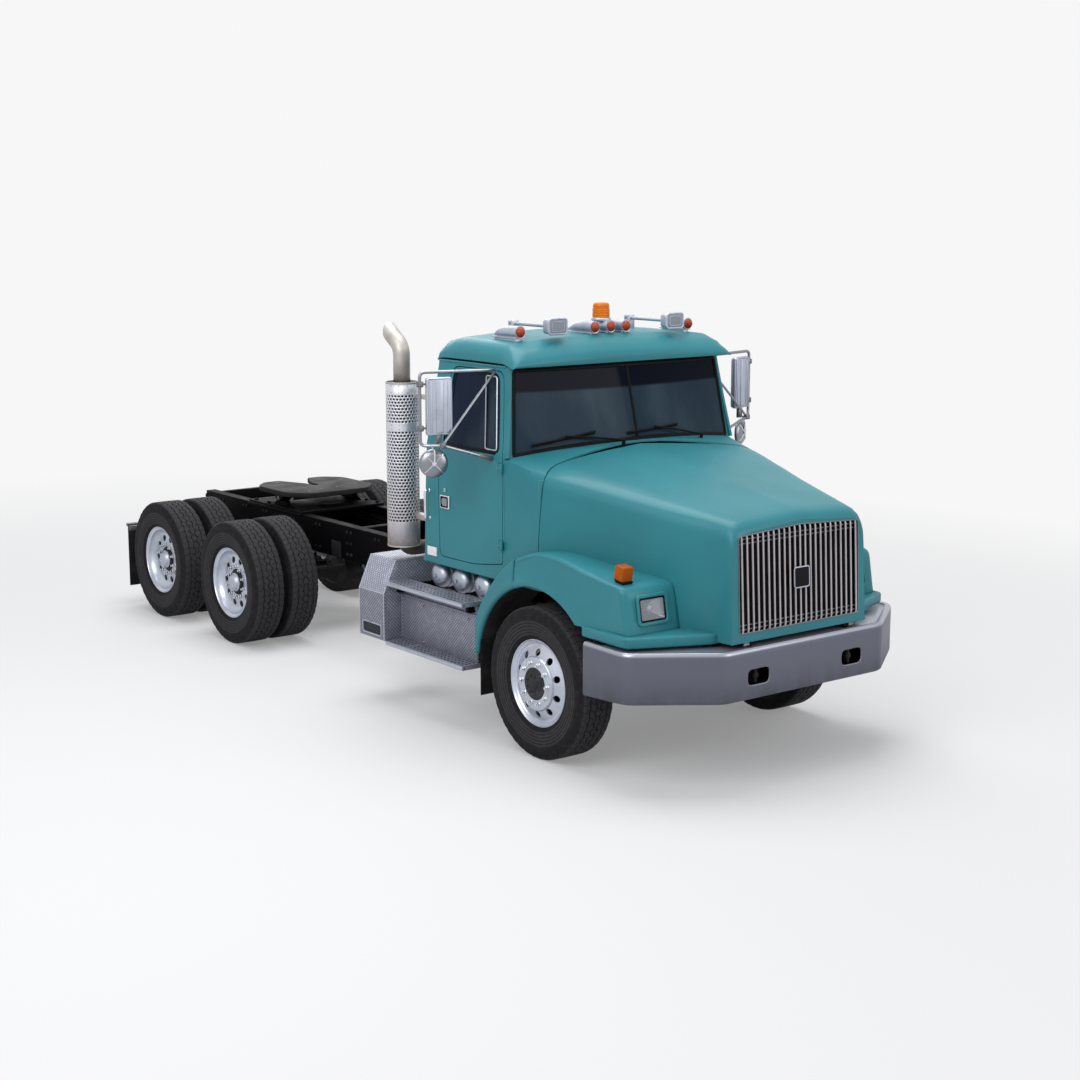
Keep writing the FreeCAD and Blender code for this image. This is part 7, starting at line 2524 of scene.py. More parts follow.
            arms.block((-0.625, y, 0.85), (-RAIL_X, y + 0.05, 0.95), 0.006)
            arms.block((-0.452, y - 0.025, 0.82), (-RAIL_X, y + 0.075, 0.98), 0.004)
            for z in (0.845, 0.955):
                arms.rod((-0.452, y + 0.025, z), (-0.464, y + 0.025, z), 0.012, sides=6)
        arms.finish("box_brackets", f.black, "chassis", "frame_black")

    def fuel_tank(self) -> None:
        """Round aluminium tank with pressed ends, rolled seams, filler, and strapped cradles."""
        f, x, z, radius = self.finishes, 0.8, 0.78, 0.305
        tank = Shape()
        half = [(0.858, 0.0), (0.86, 0.1), (0.864, 0.2), (0.858, 0.262), (0.851, 0.284), (0.85, radius),
                (0.856, radius), (0.859, radius - 0.003), (0.875, radius - 0.003), (0.878, radius - 0.001)]
        weld = [(1.446, radius - 0.001), (1.449, radius + 0.001), (1.453, radius + 0.001),
                (1.456, radius - 0.001)]
        mirrored = [(2.9 - a, r) for a, r in reversed(half)]
        hoop = Shape()
        hoop.lathe(half + weld + mirrored, (0, 0, 0), (0, 0, 1), 80, closed=False)
        lay = lengthwise((x, 0, z))
        tank.add(hoop, matrix=lay).turned_out()
        tank.finish("fuel_tank_shell", f.tank, "chassis", "aluminium", ["fuel_tank"])
        straps, cradles = Shape(), Shape()
        for y in (1.0, 1.85):
            band = Shape()
            band.lathe([(0.0, radius - 0.002), (0.0, radius + 0.003), (0.008, radius + 0.004),
                        (0.052, radius + 0.004), (0.06, radius + 0.003), (0.06, radius - 0.002)],
                       (0, 0, 0), (0, 0, 1), 80)
            straps.add(band, matrix=Matrix.Translation((0, y, 0)) @ lay)
            straps.rod((0.56, y + 0.03, 0.985), (0.47, y + 0.03, 1.01), 0.008, sides=12)
            cradle = [(RAIL_X, 0.64), (RAIL_X, 0.962), (0.556, 0.962)]
            cradle += [(x - (radius + 0.003) * math.cos(math.radians(a)),
                        z + (radius + 0.003) * math.sin(math.radians(a))) for a in range(36, -62, -7)]
            cradle += [(0.6, 0.506), (0.47, 0.6)]
            cradles.plate([(a, y + 0.006, b) for a, b in cradle], (0, 0.048, 0), 0.003)
            cradles.block((RAIL_X, y - 0.02, 0.76), (0.446, y + 0.08, 0.995), 0.004)
            for b in (0.79, 0.965):
                for c in (-0.004, 0.064):
                    cradles.rod((0.446, y + c, b), (0.458, y + c, b), 0.012, sides=6)
        filler = Shape()
        filler.rod((0.945, 1.6, 1.015), (1.005, 1.6, 1.105), 0.052, sides=32, bevel=0.003)
        filler.rod((0.998, 1.6, 1.095), (1.018, 1.6, 1.125), 0.062, sides=32, bevel=0.005)
        filler.rod((1.008, 1.6, 1.11), (1.016, 1.6, 1.1225), 0.02, sides=20)
        straps.finish("tank_straps", f.polished, "chassis", "aluminium")
        cradles.finish("tank_cradles", f.black, "chassis", "frame_black")
        filler.finish("fuel_filler", f.polished, "chassis", "aluminium")

    def air_tanks(self) -> None:
        """Three air reservoirs across the frame, with straps, ports and drain taps."""
        f, tanks, straps, lines = self.finishes, Shape(), Shape(), Shape()
        profile = [(-0.992, 0.0), (-0.99, 0.03), (-0.982, 0.062), (-0.966, 0.083), (-0.946, 0.092),
                   (-0.934, 0.0932), (-0.93, 0.0915), (-0.64, 0.0915), (-0.636, 0.0932), (-0.606, 0.092),
                   (-0.586, 0.083), (-0.57, 0.062), (-0.562, 0.03), (-0.56, 0.0)]
        for y in (0.89, 1.169, 1.437):
            tanks.lathe(profile, (0, y, 1.018), (1, 0, 0), 44, closed=False)
            for x in (-0.9, -0.68):
                straps.lathe([(x, 0.09), (x, 0.0955), (x + 0.026, 0.0955), (x + 0.026, 0.09)],
                             (0, y, 1.018), (1, 0, 0), 44)
                straps.rod((x + 0.013, y - 0.11, 1.018), (x + 0.013, y - 0.09, 1.018), 0.008, sides=6)
            tanks.rod((-0.99, y, 1.018), (-1.0, y, 1.018), 0.016, sides=6)
            tanks.rod((-0.8, y, 0.912), (-0.8, y, 0.926), 0.01, sides=6)
            lines.block((-0.7, y - 0.02, 1.0), (-RAIL_X, y + 0.02, 1.026), 0.003)
            lines.pipe([(-0.575, y, 1.018), (-0.52, y, 1.018), (-0.5, y + 0.05, 0.96),
                        (-0.445, y + 0.05, 0.96)], 0.007, 0.03)
        tanks.turned_out().finish("air_reservoirs", f.tank, "chassis", "aluminium", ["air_tanks"])
        straps.finish("air_tank_straps", f.polished, "chassis", "aluminium")
        lines.finish("air_tank_brackets", f.black, "chassis", "frame_black")

    def rear_arches(self) -> None:
        """Rear part of each front wheel arch, rolled at the rim and closed at the ends."""
        cy, cz, arch, side = 0.03, TYRE_R, 0.652, FENDER_HALF
        top = [Vector((y, z, 0)) for y, z in ((0.266, 1.344), (0.445, 1.214), (0.65, 0.985), (0.733, 0.797),
                                              (0.722, 0.602))]
        line = smooth_line(top, 34)
        shells, inner = Shape(), Shape()
        start, end = math.acos((0.266 - cy) / arch), math.asin((0.602 - cz) / arch)
        rows, strip = [], []
        for i, out in enumerate(line):
            turn = start + (end - start) * i / (len(line) - 1)
            lip = Vector((cy + arch * math.cos(turn), cz + arch * math.sin(turn), 0))
            toward = (out - lip).normalized()
            gap = (out - lip).length
            curl = min(0.022, gap * 0.3)
            faces = [(side - 0.03, lip), (side - 0.006, lip + toward * 0.001),
                     (side + 0.006, lip + toward * 0.01), (side + 0.008, lip + toward * 0.024),
                     (side + 0.002, lip + toward * min(0.045, gap * 0.5)),
                     (side - 0.004, lip.lerp(out, 0.62)), (side - 0.008, out - toward * curl),
                     (side - 0.011, out - toward * curl * 0.4), (side - 0.02, out - toward * curl * 0.08),
                     (side - 0.034, out), (1.02, out), (0.92, out), (0.82, out), (0.764, out)]
            rows.append([Vector((x, p.x, p.y)) for x, p in faces])
            strip.append([Vector((x, p.x, p.y))
                          for x, p in ((side - 0.02, lip + toward * 0.003), (0.95, lip + toward * 0.003),
                                       (0.8, lip + toward * 0.003))])
        shells.skin(rows).facing((0.7, 0.5, 0.5))
        shells.both().finish("rear_arches", self.finishes.enamel, "chassis", "paint", ["quarter_fenders"], 50,
                             wall=0.006)
        inner.skin(strip).facing((0, 0.7, 0.7))
        inner.both().finish("rear_arch_liners", self.finishes.rubber, "chassis", "rubber",
                            angle=40, wall=0.003)

    def flaps(self) -> None:
        """Front and rear mudflaps, their clamp strips, and the bars the rear ones hang from."""
        f, sheets, metal, bars = self.finishes, Shape(), Shape(), Shape()
        sheets.block((0.8, 0.656, 0.3), (1.143, 0.666, 0.76), 0.003)
        sheets.block((0.62, 6.225, 0.18), (1.19, 6.235, 0.742), 0.003)
        for k in range(6):
            x = 0.665 + 0.096 * k
            sheets.block((x, 6.222, 0.2), (x + 0.012, 6.238, 0.7), 0.003)
        metal.block((0.625, 6.219, 0.7), (1.185, 6.226, 0.738), 0.002)
        metal.block((0.8, 0.65, 0.726), (1.13, 0.657, 0.758), 0.002)
        for k in range(6):
            x = 0.66 + 0.098 * k
            metal.rod((x, 6.221, 0.719), (x, 6.21, 0.719), 0.0085, sides=6)
        for k in range(4):
            metal.rod((0.84 + 0.085 * k, 0.651, 0.742), (0.84 + 0.085 * k, 0.644, 0.742), 0.0065, sides=6)
        bars.pipe([(0.44, 6.23, 0.76), (1.185, 6.23, 0.76)], 0.0155, sides=20)
        bars.rod((1.18, 6.23, 0.76), (1.2, 6.23, 0.76), 0.0165, sides=24, bevel=0.004)
        bars.block((RAIL_X, 6.022, 0.742), (0.458, 6.248, 0.79), 0.005)
        for y in (6.045, 6.095):
            bars.rod((0.456, y, 0.766), (0.47, y, 0.766), 0.011, sides=6)
        sheets.both().finish("mudflap_sheets", f.rubber, "chassis", "rubber", ["mudflaps"])
        metal.both().finish("mudflap_strips", f.dull, "chassis", "rubber")
        bars.both().finish("flap_bars", f.dull, "chassis", "frame_black", ["mudflap_hangers"])

    def tail(self) -> None:
        """Rear lamp clusters in their housings on the flap bars."""
        f, box, lens, rim, white = self.finishes, Shape(), Shape(), Shape(), Shape()
        box.block((0.47, 6.216, 0.776), (0.64, 6.244, 0.88), 0.006, 3)
        for x in (0.513, 0.597):
            ring, glass = Shape(), Shape()
            ring.lathe([(0.0, 0.036), (0.0, 0.04), (0.006, 0.04), (0.008, 0.036)], (0, 0, 0), (0, 0, 1), 28)
            glass.lathe([(0.0, 0.036), (0.004, 0.035), (0.008, 0.03), (0.011, 0.018), (0.012, 0.0)],
                        (0, 0, 0), (0, 0, 1), 28, closed=False)
            lay = lengthwise((x, 6.243, 0.828))
            rim.add(ring, matrix=lay)
            lens.add(glass, matrix=lay)
        for x in (0.5, 0.61):
            box.rod((x, 6.218, 0.774), (x, 6.218, 0.758), 0.01, sides=12)
        white.block((0.535, 6.2435, 0.7785), (0.575, 6.2455, 0.7905), 0.001)
        box.both().finish("tail_lamp_boxes", f.black, "chassis", "tail_red", ["tail_lamps"])
        rim.both().finish("tail_lamp_rims", f.seal, "chassis", "rubber")
        lens.both().finish("tail_lamp_lenses", f.red, "chassis", "tail_red")
        white.both().finish("tail_plate_lights", f.clear, "chassis", "lamp")


def dress(node: str, look: bpy.types.Material) -> None:
    """Gives a CAD node kept as it is a procedural finish."""
    for slot in bpy.data.objects[node].material_slots:
        slot.material = look


def bowed(front: Vector, middle_point: Vector, rear: Vector, share: float, count: int) -> list[Vector]:
    """Points of the middle share of the circle's arc through three points across x."""
    a, b, c = ((p.y, p.z) for p in (front, middle_point, rear))
    d = 2 * (a[0] * (b[1] - c[1]) + b[0] * (c[1] - a[1]) + c[0] * (a[1] - b[1]))
    sums = [p[0] ** 2 + p[1] ** 2 for p in (a, b, c)]
    y = (sums[0] * (b[1] - c[1]) + sums[1] * (c[1] - a[1]) + sums[2] * (a[1] - b[1])) / d
    z = (sums[0] * (c[0] - b[0]) + sums[1] * (a[0] - c[0]) + sums[2] * (b[0] - a[0])) / d
    radius = math.hypot(a[0] - y, a[1] - z)
    first, mid, last = (math.atan2(p[0] - y, z - p[1]) for p in (a, b, c))
    low, high = mid + (first - mid) * share, mid + (last - mid) * share
    return [Vector((front.x, y + radius * math.sin(t), z - radius * math.cos(t)))
            for t in (low + (high - low) * k / (count - 1) for k in range(count))]


@dataclass
class Chassis:
    """Frame, springs, axles, drive line and steering."""

    finishes: Finishes

    def build(self) -> None:
        """Makes the detail pieces and dresses the nodes kept from the CAD."""
        f = self.finishes
        for node in ("frame_rails", "front_axle"):
            dress(node, f.black)
        for node in ("tie_rod", "knuckle_left", "knuckle_right"):
            dress(node, f.cast)
        self.rails()
        self.members()
        self.springs()
        self.drive_axles()
        self.drive_line()
        self.steering()

    def rails(self) -> None:
        """Bolt rows, air lines and wiring along the rails, and the tow hooks' horns."""
        bolts, lines = Shape(), Shape()
        rows = [(-1.13, 2), (1.19, 3), (2.54, 3), (3.54, 3), (4.05, 2), (4.48, 2), (4.98, 4), (5.35, 2),
                (5.8, 2), (6.07, 2), (0.3, 2), (-0.55, 2), (0.74, 2), (2.26, 2), (2.9, 2), (3.1, 2)]
        for y, count in rows:
            for k in range(count):
                z = 0.79 + 0.19 * k / max(1, count - 1)
                for dy in (-0.03, 0.03):
                    bolts.rod((RAIL_X, y + dy, z), (0.441, y + dy, z), 0.011, 0.01, sides=6)
                    bolts.rod((RAIL_X, y + dy, z), (0.434, y + dy, z), 0.015, sides=16)
        bolts.both().finish("rail_bolts", self.finishes.cast, "chassis", "frame_black", angle=30)
        for x, z, thick, start, end in ((0.408, 0.905, 0.011, 0.9, 5.9), (0.408, 0.875, 0.008, 1.0, 5.4),
                                        (0.406, 0.93, 0.007, -0.9, 5.9), (-0.408, 0.9, 0.01, 1.0, 6.0),
                                        (-0.408, 0.875, 0.007, 1.3, 4.2)):
            points = [(x - math.copysign(0.004 * (k % 2), x), start + (end - start) * k / 14,
                       z - 0.003 * (k % 2)) for k in range(15)]
            lines.pipe(smooth_line(points, 90), thick, sides=8)
        for k in range(10):
            y = 1.3 + 0.46 * k
            for x in (-0.408, 0.408):
                lines.block((x - 0.014, y, 0.866), (x + 0.012, y + 0.016, 0.918), 0.004)
        lines.finish("frame_lines", self.finishes.seal, "chassis", "frame_black")
        coils = Shape()
        for x, z in ((0.12, 1.36), (-0.02, 1.36)):
            coils.rod((x, 1.512, z), (x, 1.534, z), 0.022, sides=20, bevel=0.003)
        coils.finish("trailer_couplings", self.finishes.dull, "chassis", "frame_black")

    def members(self) -> None:
        """Channel crossmembers with gussets and bolts."""
        steel = Shape()
        for y, depth in ((-1.16, 0.06), (1.15, 0.08), (2.5, 0.08), (3.5, 0.08), (4.922, 0.12), (6.04, 0.06)):
            steel.block((-0.42, y, 0.762), (0.42, y + 0.01, 1.008), 0.003)
            for z in (0.76, 1.0):
                steel.block((-0.42, y, z), (0.42, y + depth, z + 0.01), 0.003)
            for sign in (-1, 1):
                steel.block((sign * 0.408, y - 0.045, 0.775),
                            (sign * 0.4195, y + depth + 0.045, 0.995), 0.003)
                for z in (0.8, 0.885, 0.97):
                    for dy in (-0.026, depth + 0.026):
                        steel.rod((sign * 0.408, y + dy, z), (sign * 0.398, y + dy, z), 0.011, sides=6)
            for k in range(3):
                x = -0.22 + 0.22 * k
                steel.rod((x, y - 0.002, 0.885), (x, y + 0.012, 0.885), 0.045, sides=28, bevel=0.002)
        steel.block((-0.28, 6.085, 0.83), (0.28, 6.098, 0.96), 0.005)
        steel.finish("crossmember_channels", self.finishes.black, "chassis", "frame_black",
                     ["crossmembers"], 30)

    def springs(self) -> None:
        """Leaf packs with shackles, clips and U-bolts."""
        leaves, fittings = Shape(), Shape()
        packs = ((-0.78, 0.0, 0.76, 0.505, 0.055, 5), (3.746, 4.266, 4.792, 0.615, 0.045, 4),
                 (5.112, 5.578, 6.04, 0.615, 0.045, 4))
        for front, mid, rear, seat, thick, count in packs:
            eye, x = 0.715, RAIL_X
            each = thick / count
            for k in range(count):
                share = 0.4 + 0.6 * (k + 1) / count
                lift = each * (k + 0.5)
                arc = bowed(Vector((x, front, eye - thick + lift)), Vector((x, mid, seat + lift)),
                            Vector((x, rear, eye - thick + lift)), share, 26)
                half = each * 0.46
                outline = [(p.y, p.z - half) for p in arc] + [(p.y, p.z + half) for p in reversed(arc)]
                leaves.plate([(x - 0.0445, *place) for place in outline], (0.089, 0, 0), 0.0012, 1)
            for y in (front, rear):
                fittings.block((x - 0.045, y - 0.024, 0.69), (x + 0.045, y + 0.024, 0.74), 0.006)
                fittings.rod((x - 0.052, y, 0.69), (x + 0.052, y, 0.69), 0.026, sides=28, bevel=0.003)
                fittings.rod((x + 0.05, y, 0.69), (x + 0.06, y, 0.69), 0.016, sides=6)
                fittings.block((RAIL_X, y - 0.075, 0.745), (0.438, y + 0.075, 0.88), 0.004)
            top = seat + thick + 0.006
            fittings.block((x - 0.06, mid - 0.095, top), (x + 0.06, mid + 0.095, top + 0.018), 0.005)
            for dx in (-0.052, 0.052):
                for dy in (-0.07, 0.07):
                    fittings.rod((x + dx, mid + dy, seat - 0.06), (x + dx, mid + dy, top + 0.048), 0.009,
                                 sides=14)
                    fittings.rod((x + dx, mid + dy, top + 0.018), (x + dx, mid + dy, top + 0.036), 0.016,
                                 sides=6)
            for share in (0.55, 0.85):
                arc = bowed(Vector((x, front, eye - thick * 0.5)), Vector((x, mid, seat + thick * 0.5)),
                            Vector((x, rear, eye - thick * 0.5)), share, 2)
                for p in arc:
                    fittings.block((x - 0.05, p.y - 0.012, p.z - thick * 0.5 - 0.003),
                                   (x + 0.05, p.y + 0.012, p.z + thick * 0.5 + 0.003), 0.003)
        leaves.both().finish("leaf_packs", self.finishes.black, "chassis", "frame_black",
                             ["leaf_springs"], 30)
        fittings.both().finish("spring_fittings", self.finishes.cast, "chassis", "frame_black", angle=30)
        shocks = Shape()
        for sign in (-1, 1):
            shocks.rod((sign * 0.475, 0.2, 0.48), (sign * 0.475, 0.26, 0.86), 0.028, sides=24, bevel=0.003)
            shocks.rod((sign * 0.475, 0.19, 0.42), (sign * 0.475, 0.2, 0.5), 0.012, sides=16)
            shocks.rod((sign * RAIL_X, 0.26, 0.86), (sign * 0.485, 0.26, 0.86), 0.018, sides=16)
            shocks.block((sign * 0.44 - 0.01, 0.16, 0.415), (sign * 0.475 + 0.02, 0.22, 0.435), 0.004)
            shocks.block((sign * 0.44, 0.02, 0.418), (sign * 0.5, 0.22, 0.432), 0.004)
        shocks.finish("front_dampers", self.finishes.black, "chassis", "frame_black")

    def drive_axles(self) -> None:
        """Axle housings: tapered tubes, banjo bowl with its ring of bolts, pinion carrier, brake pots."""
        cast, pots = Shape(), Shape()
        for station in REAR_AXLES:
            tube = [(-0.885, 0.0), (-0.885, 0.052), (-0.62, 0.0595), (-0.36, 0.062), (-0.24, 0.085),
                    (-0.17, 0.13), (0.17, 0.13), (0.24, 0.085), (0.36, 0.062), (0.62, 0.0595),
                    (0.885, 0.052), (0.885, 0.0)]
            cast.lathe(tube, (0, station, TYRE_R), (1, 0, 0), 32, closed=False)
            bowl = Shape()
            bowl.lathe([(-0.128, 0.0), (-0.128, 0.09), (-0.118, 0.105), (-0.08, 0.15), (-0.06, 0.192),
                        (-0.05, 0.198), (-0.034, 0.198), (-0.03, 0.176), (0.03, 0.182), (0.062, 0.168),
                        (0.09, 0.13), (0.108, 0.08), (0.11, 0.0)], (0, 0, 0), (0, 0, 1), 44, closed=False)
            cast.add(bowl, matrix=lengthwise((0, station, TYRE_R)))
            for at in circle((0, station - 0.05, TYRE_R), 0.187, 14):
                cast.rod(at, at - Vector((0, 0.012, 0)), 0.009, sides=6)
            cast.rod((0, station - 0.3, 0.6), (0, station - 0.1, 0.59), 0.064, 0.105, sides=32, bevel=0.006)
            cast.rod((0, station - 0.33, 0.6), (0, station - 0.3, 0.6), 0.078, sides=32, bevel=0.005)
            cast.rod((0, station + 0.08, 0.6), (0, station + 0.158, 0.6), 0.058, 0.05, sides=28, bevel=0.004)
            for at in circle((0, station - 0.33, 0.6), 0.066, 6):
                cast.rod(at, at + Vector((0, -0.008, 0)), 0.008, sides=6)
            for sign in (-1, 1):
                x = sign * RAIL_X
                cast.block((x - 0.045, station - 0.075, 0.56), (x + 0.045, station + 0.075, 0.615), 0.01)
                cast.block((x - 0.06, station - 0.09, 0.45), (x + 0.06, station + 0.09, 0.47), 0.005)
                pot = Shape()
                pot.lathe([(0.0, 0.0), (0.0, 0.06), (0.01, 0.078), (0.06, 0.08), (0.066, 0.087),
                           (0.078, 0.087), (0.084, 0.08), (0.14, 0.078), (0.158, 0.06), (0.16, 0.0)],
                          (0, 0, 0), (0, 0, 1), 32, closed=False)
                pots.add(pot, matrix=lengthwise((sign * 0.335, station + 0.13, 0.6)))
                pots.block((sign * 0.335 - 0.03, station + 0.02, 0.56),
                           (sign * 0.335 + 0.03, station + 0.135, 0.575), 0.004)
                pots.rod((sign * 0.36, station + 0.075, 0.545), (sign * 0.665, station + 0.075, 0.545),
                         0.016, sides=16)
                pots.block((sign * 0.36 - 0.012, station + 0.055, 0.535),
                           (sign * 0.36 + 0.012, station + 0.095, 0.63), 0.006)
        cast.turned_out().finish("axle_housings", self.finishes.cast, "chassis", "cast", ["drive_axles"], 32)
        pots.turned_out().finish("brake_chambers", self.finishes.black, "chassis", "frame_black", angle=32)

    def drive_line(self) -> None:
        """Gearbox with ribs and lids, propeller shafts with joints, and the centre bearing."""
        case, shafts = Shape(), Shape()
        case.rod((0, 0.108, 0.79), (0, 0.3, 0.79), 0.178, 0.165, sides=48, bevel=0.01)
        for y in (0.112, 0.292):
            case.rod((0, y, 0.79), (0, y + 0.022, 0.79), 0.18, sides=48, bevel=0.004)
        case.block((-0.165, 0.3, 0.575), (0.165, 0.62, 0.985), 0.04, 4)
        case.block((-0.145, 0.32, 0.975), (0.145, 0.6, 1.015), 0.014, 3)
        case.block((-0.115, 0.615, 0.545), (0.115, 0.86, 0.845), 0.045, 4)
        for k in range(6):
            y = 0.335 + 0.052 * k
            case.block((-0.172, y, 0.6), (0.172, y + 0.009, 0.96), 0.003)
        for k in range(4):
            y = 0.655 + 0.052 * k
            case.block((-0.119, y, 0.56), (0.119, y + 0.008, 0.83), 0.003)
        case.block((-0.42, 0.505, 0.806), (0.42, 0.555, 0.855), 0.008)
        for sign in (-1, 1):
            case.block((sign * 0.4 - 0.018, 0.48, 0.78), (sign * 0.4 + 0.018, 0.58, 0.88), 0.006)
            case.block((sign * 0.19 - 0.03, 0.49, 0.775), (sign * 0.19 + 0.03, 0.57, 0.87), 0.01)
        for at in circle((0, 0.108, 0.79), 0.166, 12):
            case.rod(at, at + Vector((0, 0.034, 0)), 0.009, sides=6)
        case.rod((0, 0.855, 0.6), (0, 0.895, 0.6), 0.07, sides=32, bevel=0.006)
        case.finish("gearbox", self.finishes.cast, "chassis", "cast", ["drive_line"], 32)
        first, second = REAR_AXLES
        for start, end in ((0.9, 2.47), (2.56, first - 0.33), (first + 0.158, second - 0.33)):
            self.shaft(shafts, start, end)
        shafts.block((-0.06, 2.5, 0.56), (0.06, 2.538, 0.755), 0.012, 3)
        shafts.rod((0, 2.47, 0.6), (0, 2.56, 0.6), 0.05, sides=32, bevel=0.006)
        shafts.rod((0, 2.495, 0.6), (0, 2.543, 0.6), 0.078, sides=36, bevel=0.01)
        shafts.finish("propeller_shafts", self.finishes.dull, "chassis", "cast", angle=32)

    def shaft(self, shape: Shape, start: float, end: float) -> None:
        """One tubular shaft with a universal joint at each end."""
        z = 0.6
        shape.rod((0, start + 0.105, z), (0, end - 0.105, z), 0.048, sides=32, bevel=0.002)
        for y, way in ((start, 1), (end, -1)):
            shape.rod((0, y, z), (0, y + way * 0.018, z), 0.068, sides=32, bevel=0.003)
            for sign in (-1, 1):
                shape.block((sign * 0.04 - 0.011, y + way * 0.012, z - 0.026),
                            (sign * 0.04 + 0.011, y + way * 0.075, z + 0.026), 0.006)
                shape.block((-0.026, y + way * 0.045, z + sign * 0.04 - 0.011),
                            (0.026, y + way * 0.11, z + sign * 0.04 + 0.011), 0.006)
            shape.rod((-0.052, y + way * 0.06, z), (0.052, y + way * 0.06, z), 0.015, sides=18, bevel=0.002)
            shape.rod((0, y + way * 0.06, z - 0.052), (0, y + way * 0.06, z + 0.052), 0.015, sides=18,
                      bevel=0.002)
            shape.rod((0, y + way * 0.1, z), (0, y + way * 0.135, z), 0.05, sides=32, bevel=0.004)

    def steering(self) -> None:
        """Kingpin caps and their nuts, that go with the knuckles."""
        for side in Side:
            caps, x = Shape(), side.value * KINGPIN_X
            caps.rod((x, 0, 0.62), (x, 0, 0.631), 0.034, 0.03, sides=28, bevel=0.003)
            caps.rod((x, 0, 0.387), (x, 0, 0.398), 0.034, 0.03, sides=28, bevel=0.003)
            for z, way in ((0.631, 1), (0.387, -1)):
                for a in around(4, 0.5):
                    caps.rod((x + 0.024 * math.cos(a), 0.024 * math.sin(a), z - way * 0.003),
                             (x + 0.024 * math.cos(a), 0.024 * math.sin(a), z + way * 0.004), 0.0045, sides=6)
            caps.finish(f"kingpin_caps_{side.word}", self.finishes.dull, f"knuckle_{side.word}", "cast",
                        [], 30)


@dataclass
class Coupling:
    """Fifth wheel: base with its stands, and the rocking plate with its jaws."""

    finishes: Finishes
    pivot: tuple[float, float] = (4.77, 1.12)
    top: float = 1.2

    def build(self) -> None:
        """Makes the fixed base and the rocking plate."""
        self.base()
        self.plate()

    def base(self) -> None:
        """Mounting plate with bolted angle edges and two ribbed stands."""
        y, z = self.pivot
        steel = Shape().block((-RAIL_X, y - 0.44, 1.03), (RAIL_X, y + 0.5, 1.05), 0.004)
        for sign in (-1, 1):
            outer, inner = sign * 0.375, sign * 0.33
            side = [(y - 0.11, 1.05), (y + 0.11, 1.05), (y + 0.04, z + 0.012), (y + 0.022, z + 0.024),
                    (y - 0.022, z + 0.024), (y - 0.04, z + 0.012)]
            steel.plate([(inner, a, b) for a, b in side], (outer - inner, 0, 0), 0.004)
            for dy in (-0.155, 0.155):
                foot = [(y + dy * 0.35, 1.05), (y + dy * 1.15, 1.05), (y + dy * 0.3, z - 0.012)]
                steel.plate([(inner + sign * 0.016, a, b) for a, b in foot], (sign * 0.012, 0, 0), 0.002)
            for a in (-0.38, -0.2, 0.2, 0.42):
                steel.rod((sign * 0.395, y + a, 1.05), (sign * 0.395, y + a, 1.064), 0.016, 0.015, sides=6)
                steel.rod((sign * 0.395, y + a, 1.048), (sign * 0.395, y + a, 1.053), 0.022, sides=20)
            steel.block((sign * 0.405, y - 0.44, 1.012), (sign * 0.445, y + 0.5, 1.032), 0.004)
            steel.rod((sign * 0.33, y, z), (sign * 0.375, y, z), 0.038, sides=32, bevel=0.003)
        steel.block((-0.1, y - 0.3, 1.05), (0.1, y - 0.2, 1.06), 0.003)
        steel.finish("coupling_base", self.finishes.black, "chassis", "frame_black", ["fifth_wheel_base"], 30)

    def plate(self) -> None:
        """Cast top plate: worn greased face, dropped rim, throat ramps, jaws, ears and pins."""
        (y, z), top, body = self.pivot, self.top, "fifth_wheel_plate"
        half, front, rear, jaw = 0.45, y - 0.4, y + 0.44, y + 0.03
        corners = [(0.0, front), (half - 0.16, front), (half, front + 0.17), (half, rear - 0.15),
                   (half - 0.14, rear), (0.15, rear), (0.03, jaw + 0.12), (0.03, jaw), (0.0, jaw - 0.028)]
        soft = rounded([(a, b, 0) for a, b in corners], [0, 0.08, 0.08, 0.07, 0.05, 0.03, 0.03, 0.02, 0], 5)
        right = [(p.x, p.y) for p in soft]
        outline = right + [(-a, b) for a, b in reversed(right[1:-1])]
        cast = Shape().plate([(a, b, top - 0.045) for a, b in outline], (0, 0, 0.045), 0.007, 3)
        for sign in (-1, 1):
            for inner, outer in ((0.295, 0.324), (0.381, 0.41)):
                ear = [(y - 0.085, top - 0.044), (y + 0.085, top - 0.044), (y + 0.04, z - 0.012),
                       (y + 0.018, z - 0.026), (y - 0.018, z - 0.026), (y - 0.04, z - 0.012)]
                cast.plate([(sign * inner, a, b) for a, b in ear], (sign * (outer - inner), 0, 0), 0.004)
            for a in (-0.26, 0.2):
                cast.block((sign * 0.16, y + a, top - 0.07), (sign * 0.4, y + a + 0.014, top - 0.04), 0.004)
        cast.finish("coupling_plate", self.finishes.plate_grease, body, "cast", ["fifth_wheel_plate"], 32)
        parts = Shape()
        for sign in (-1, 1):
            parts.rod((sign * 0.292, y, z), (sign * 0.412, y, z), 0.0195, sides=24, bevel=0.002)
            parts.block((sign * 0.045 - 0.02, jaw - 0.06, top - 0.074),
                        (sign * 0.045 + 0.02, jaw + 0.1, top - 0.046), 0.006)
        for a, b in ((0.34, -0.1), (0.34, 0.16), (0.24, -0.26), (0.22, 0.34), (0.08, -0.2)):
            for sign in (-1, 1):
                parts.rod((sign * a, y + b, top - 0.002), (sign * a, y + b, top + 0.0016), 0.007, sides=14)
        parts.pipe([(0.06, jaw - 0.02, top - 0.062), (0.28, y - 0.14, top - 0.06),
                    (0.452, y - 0.14, top - 0.06), (0.452, y - 0.1, top - 0.06)], 0.008, 0.02)
        parts.finish("coupling_jaws", self.finishes.dull, body, "cast", angle=32)


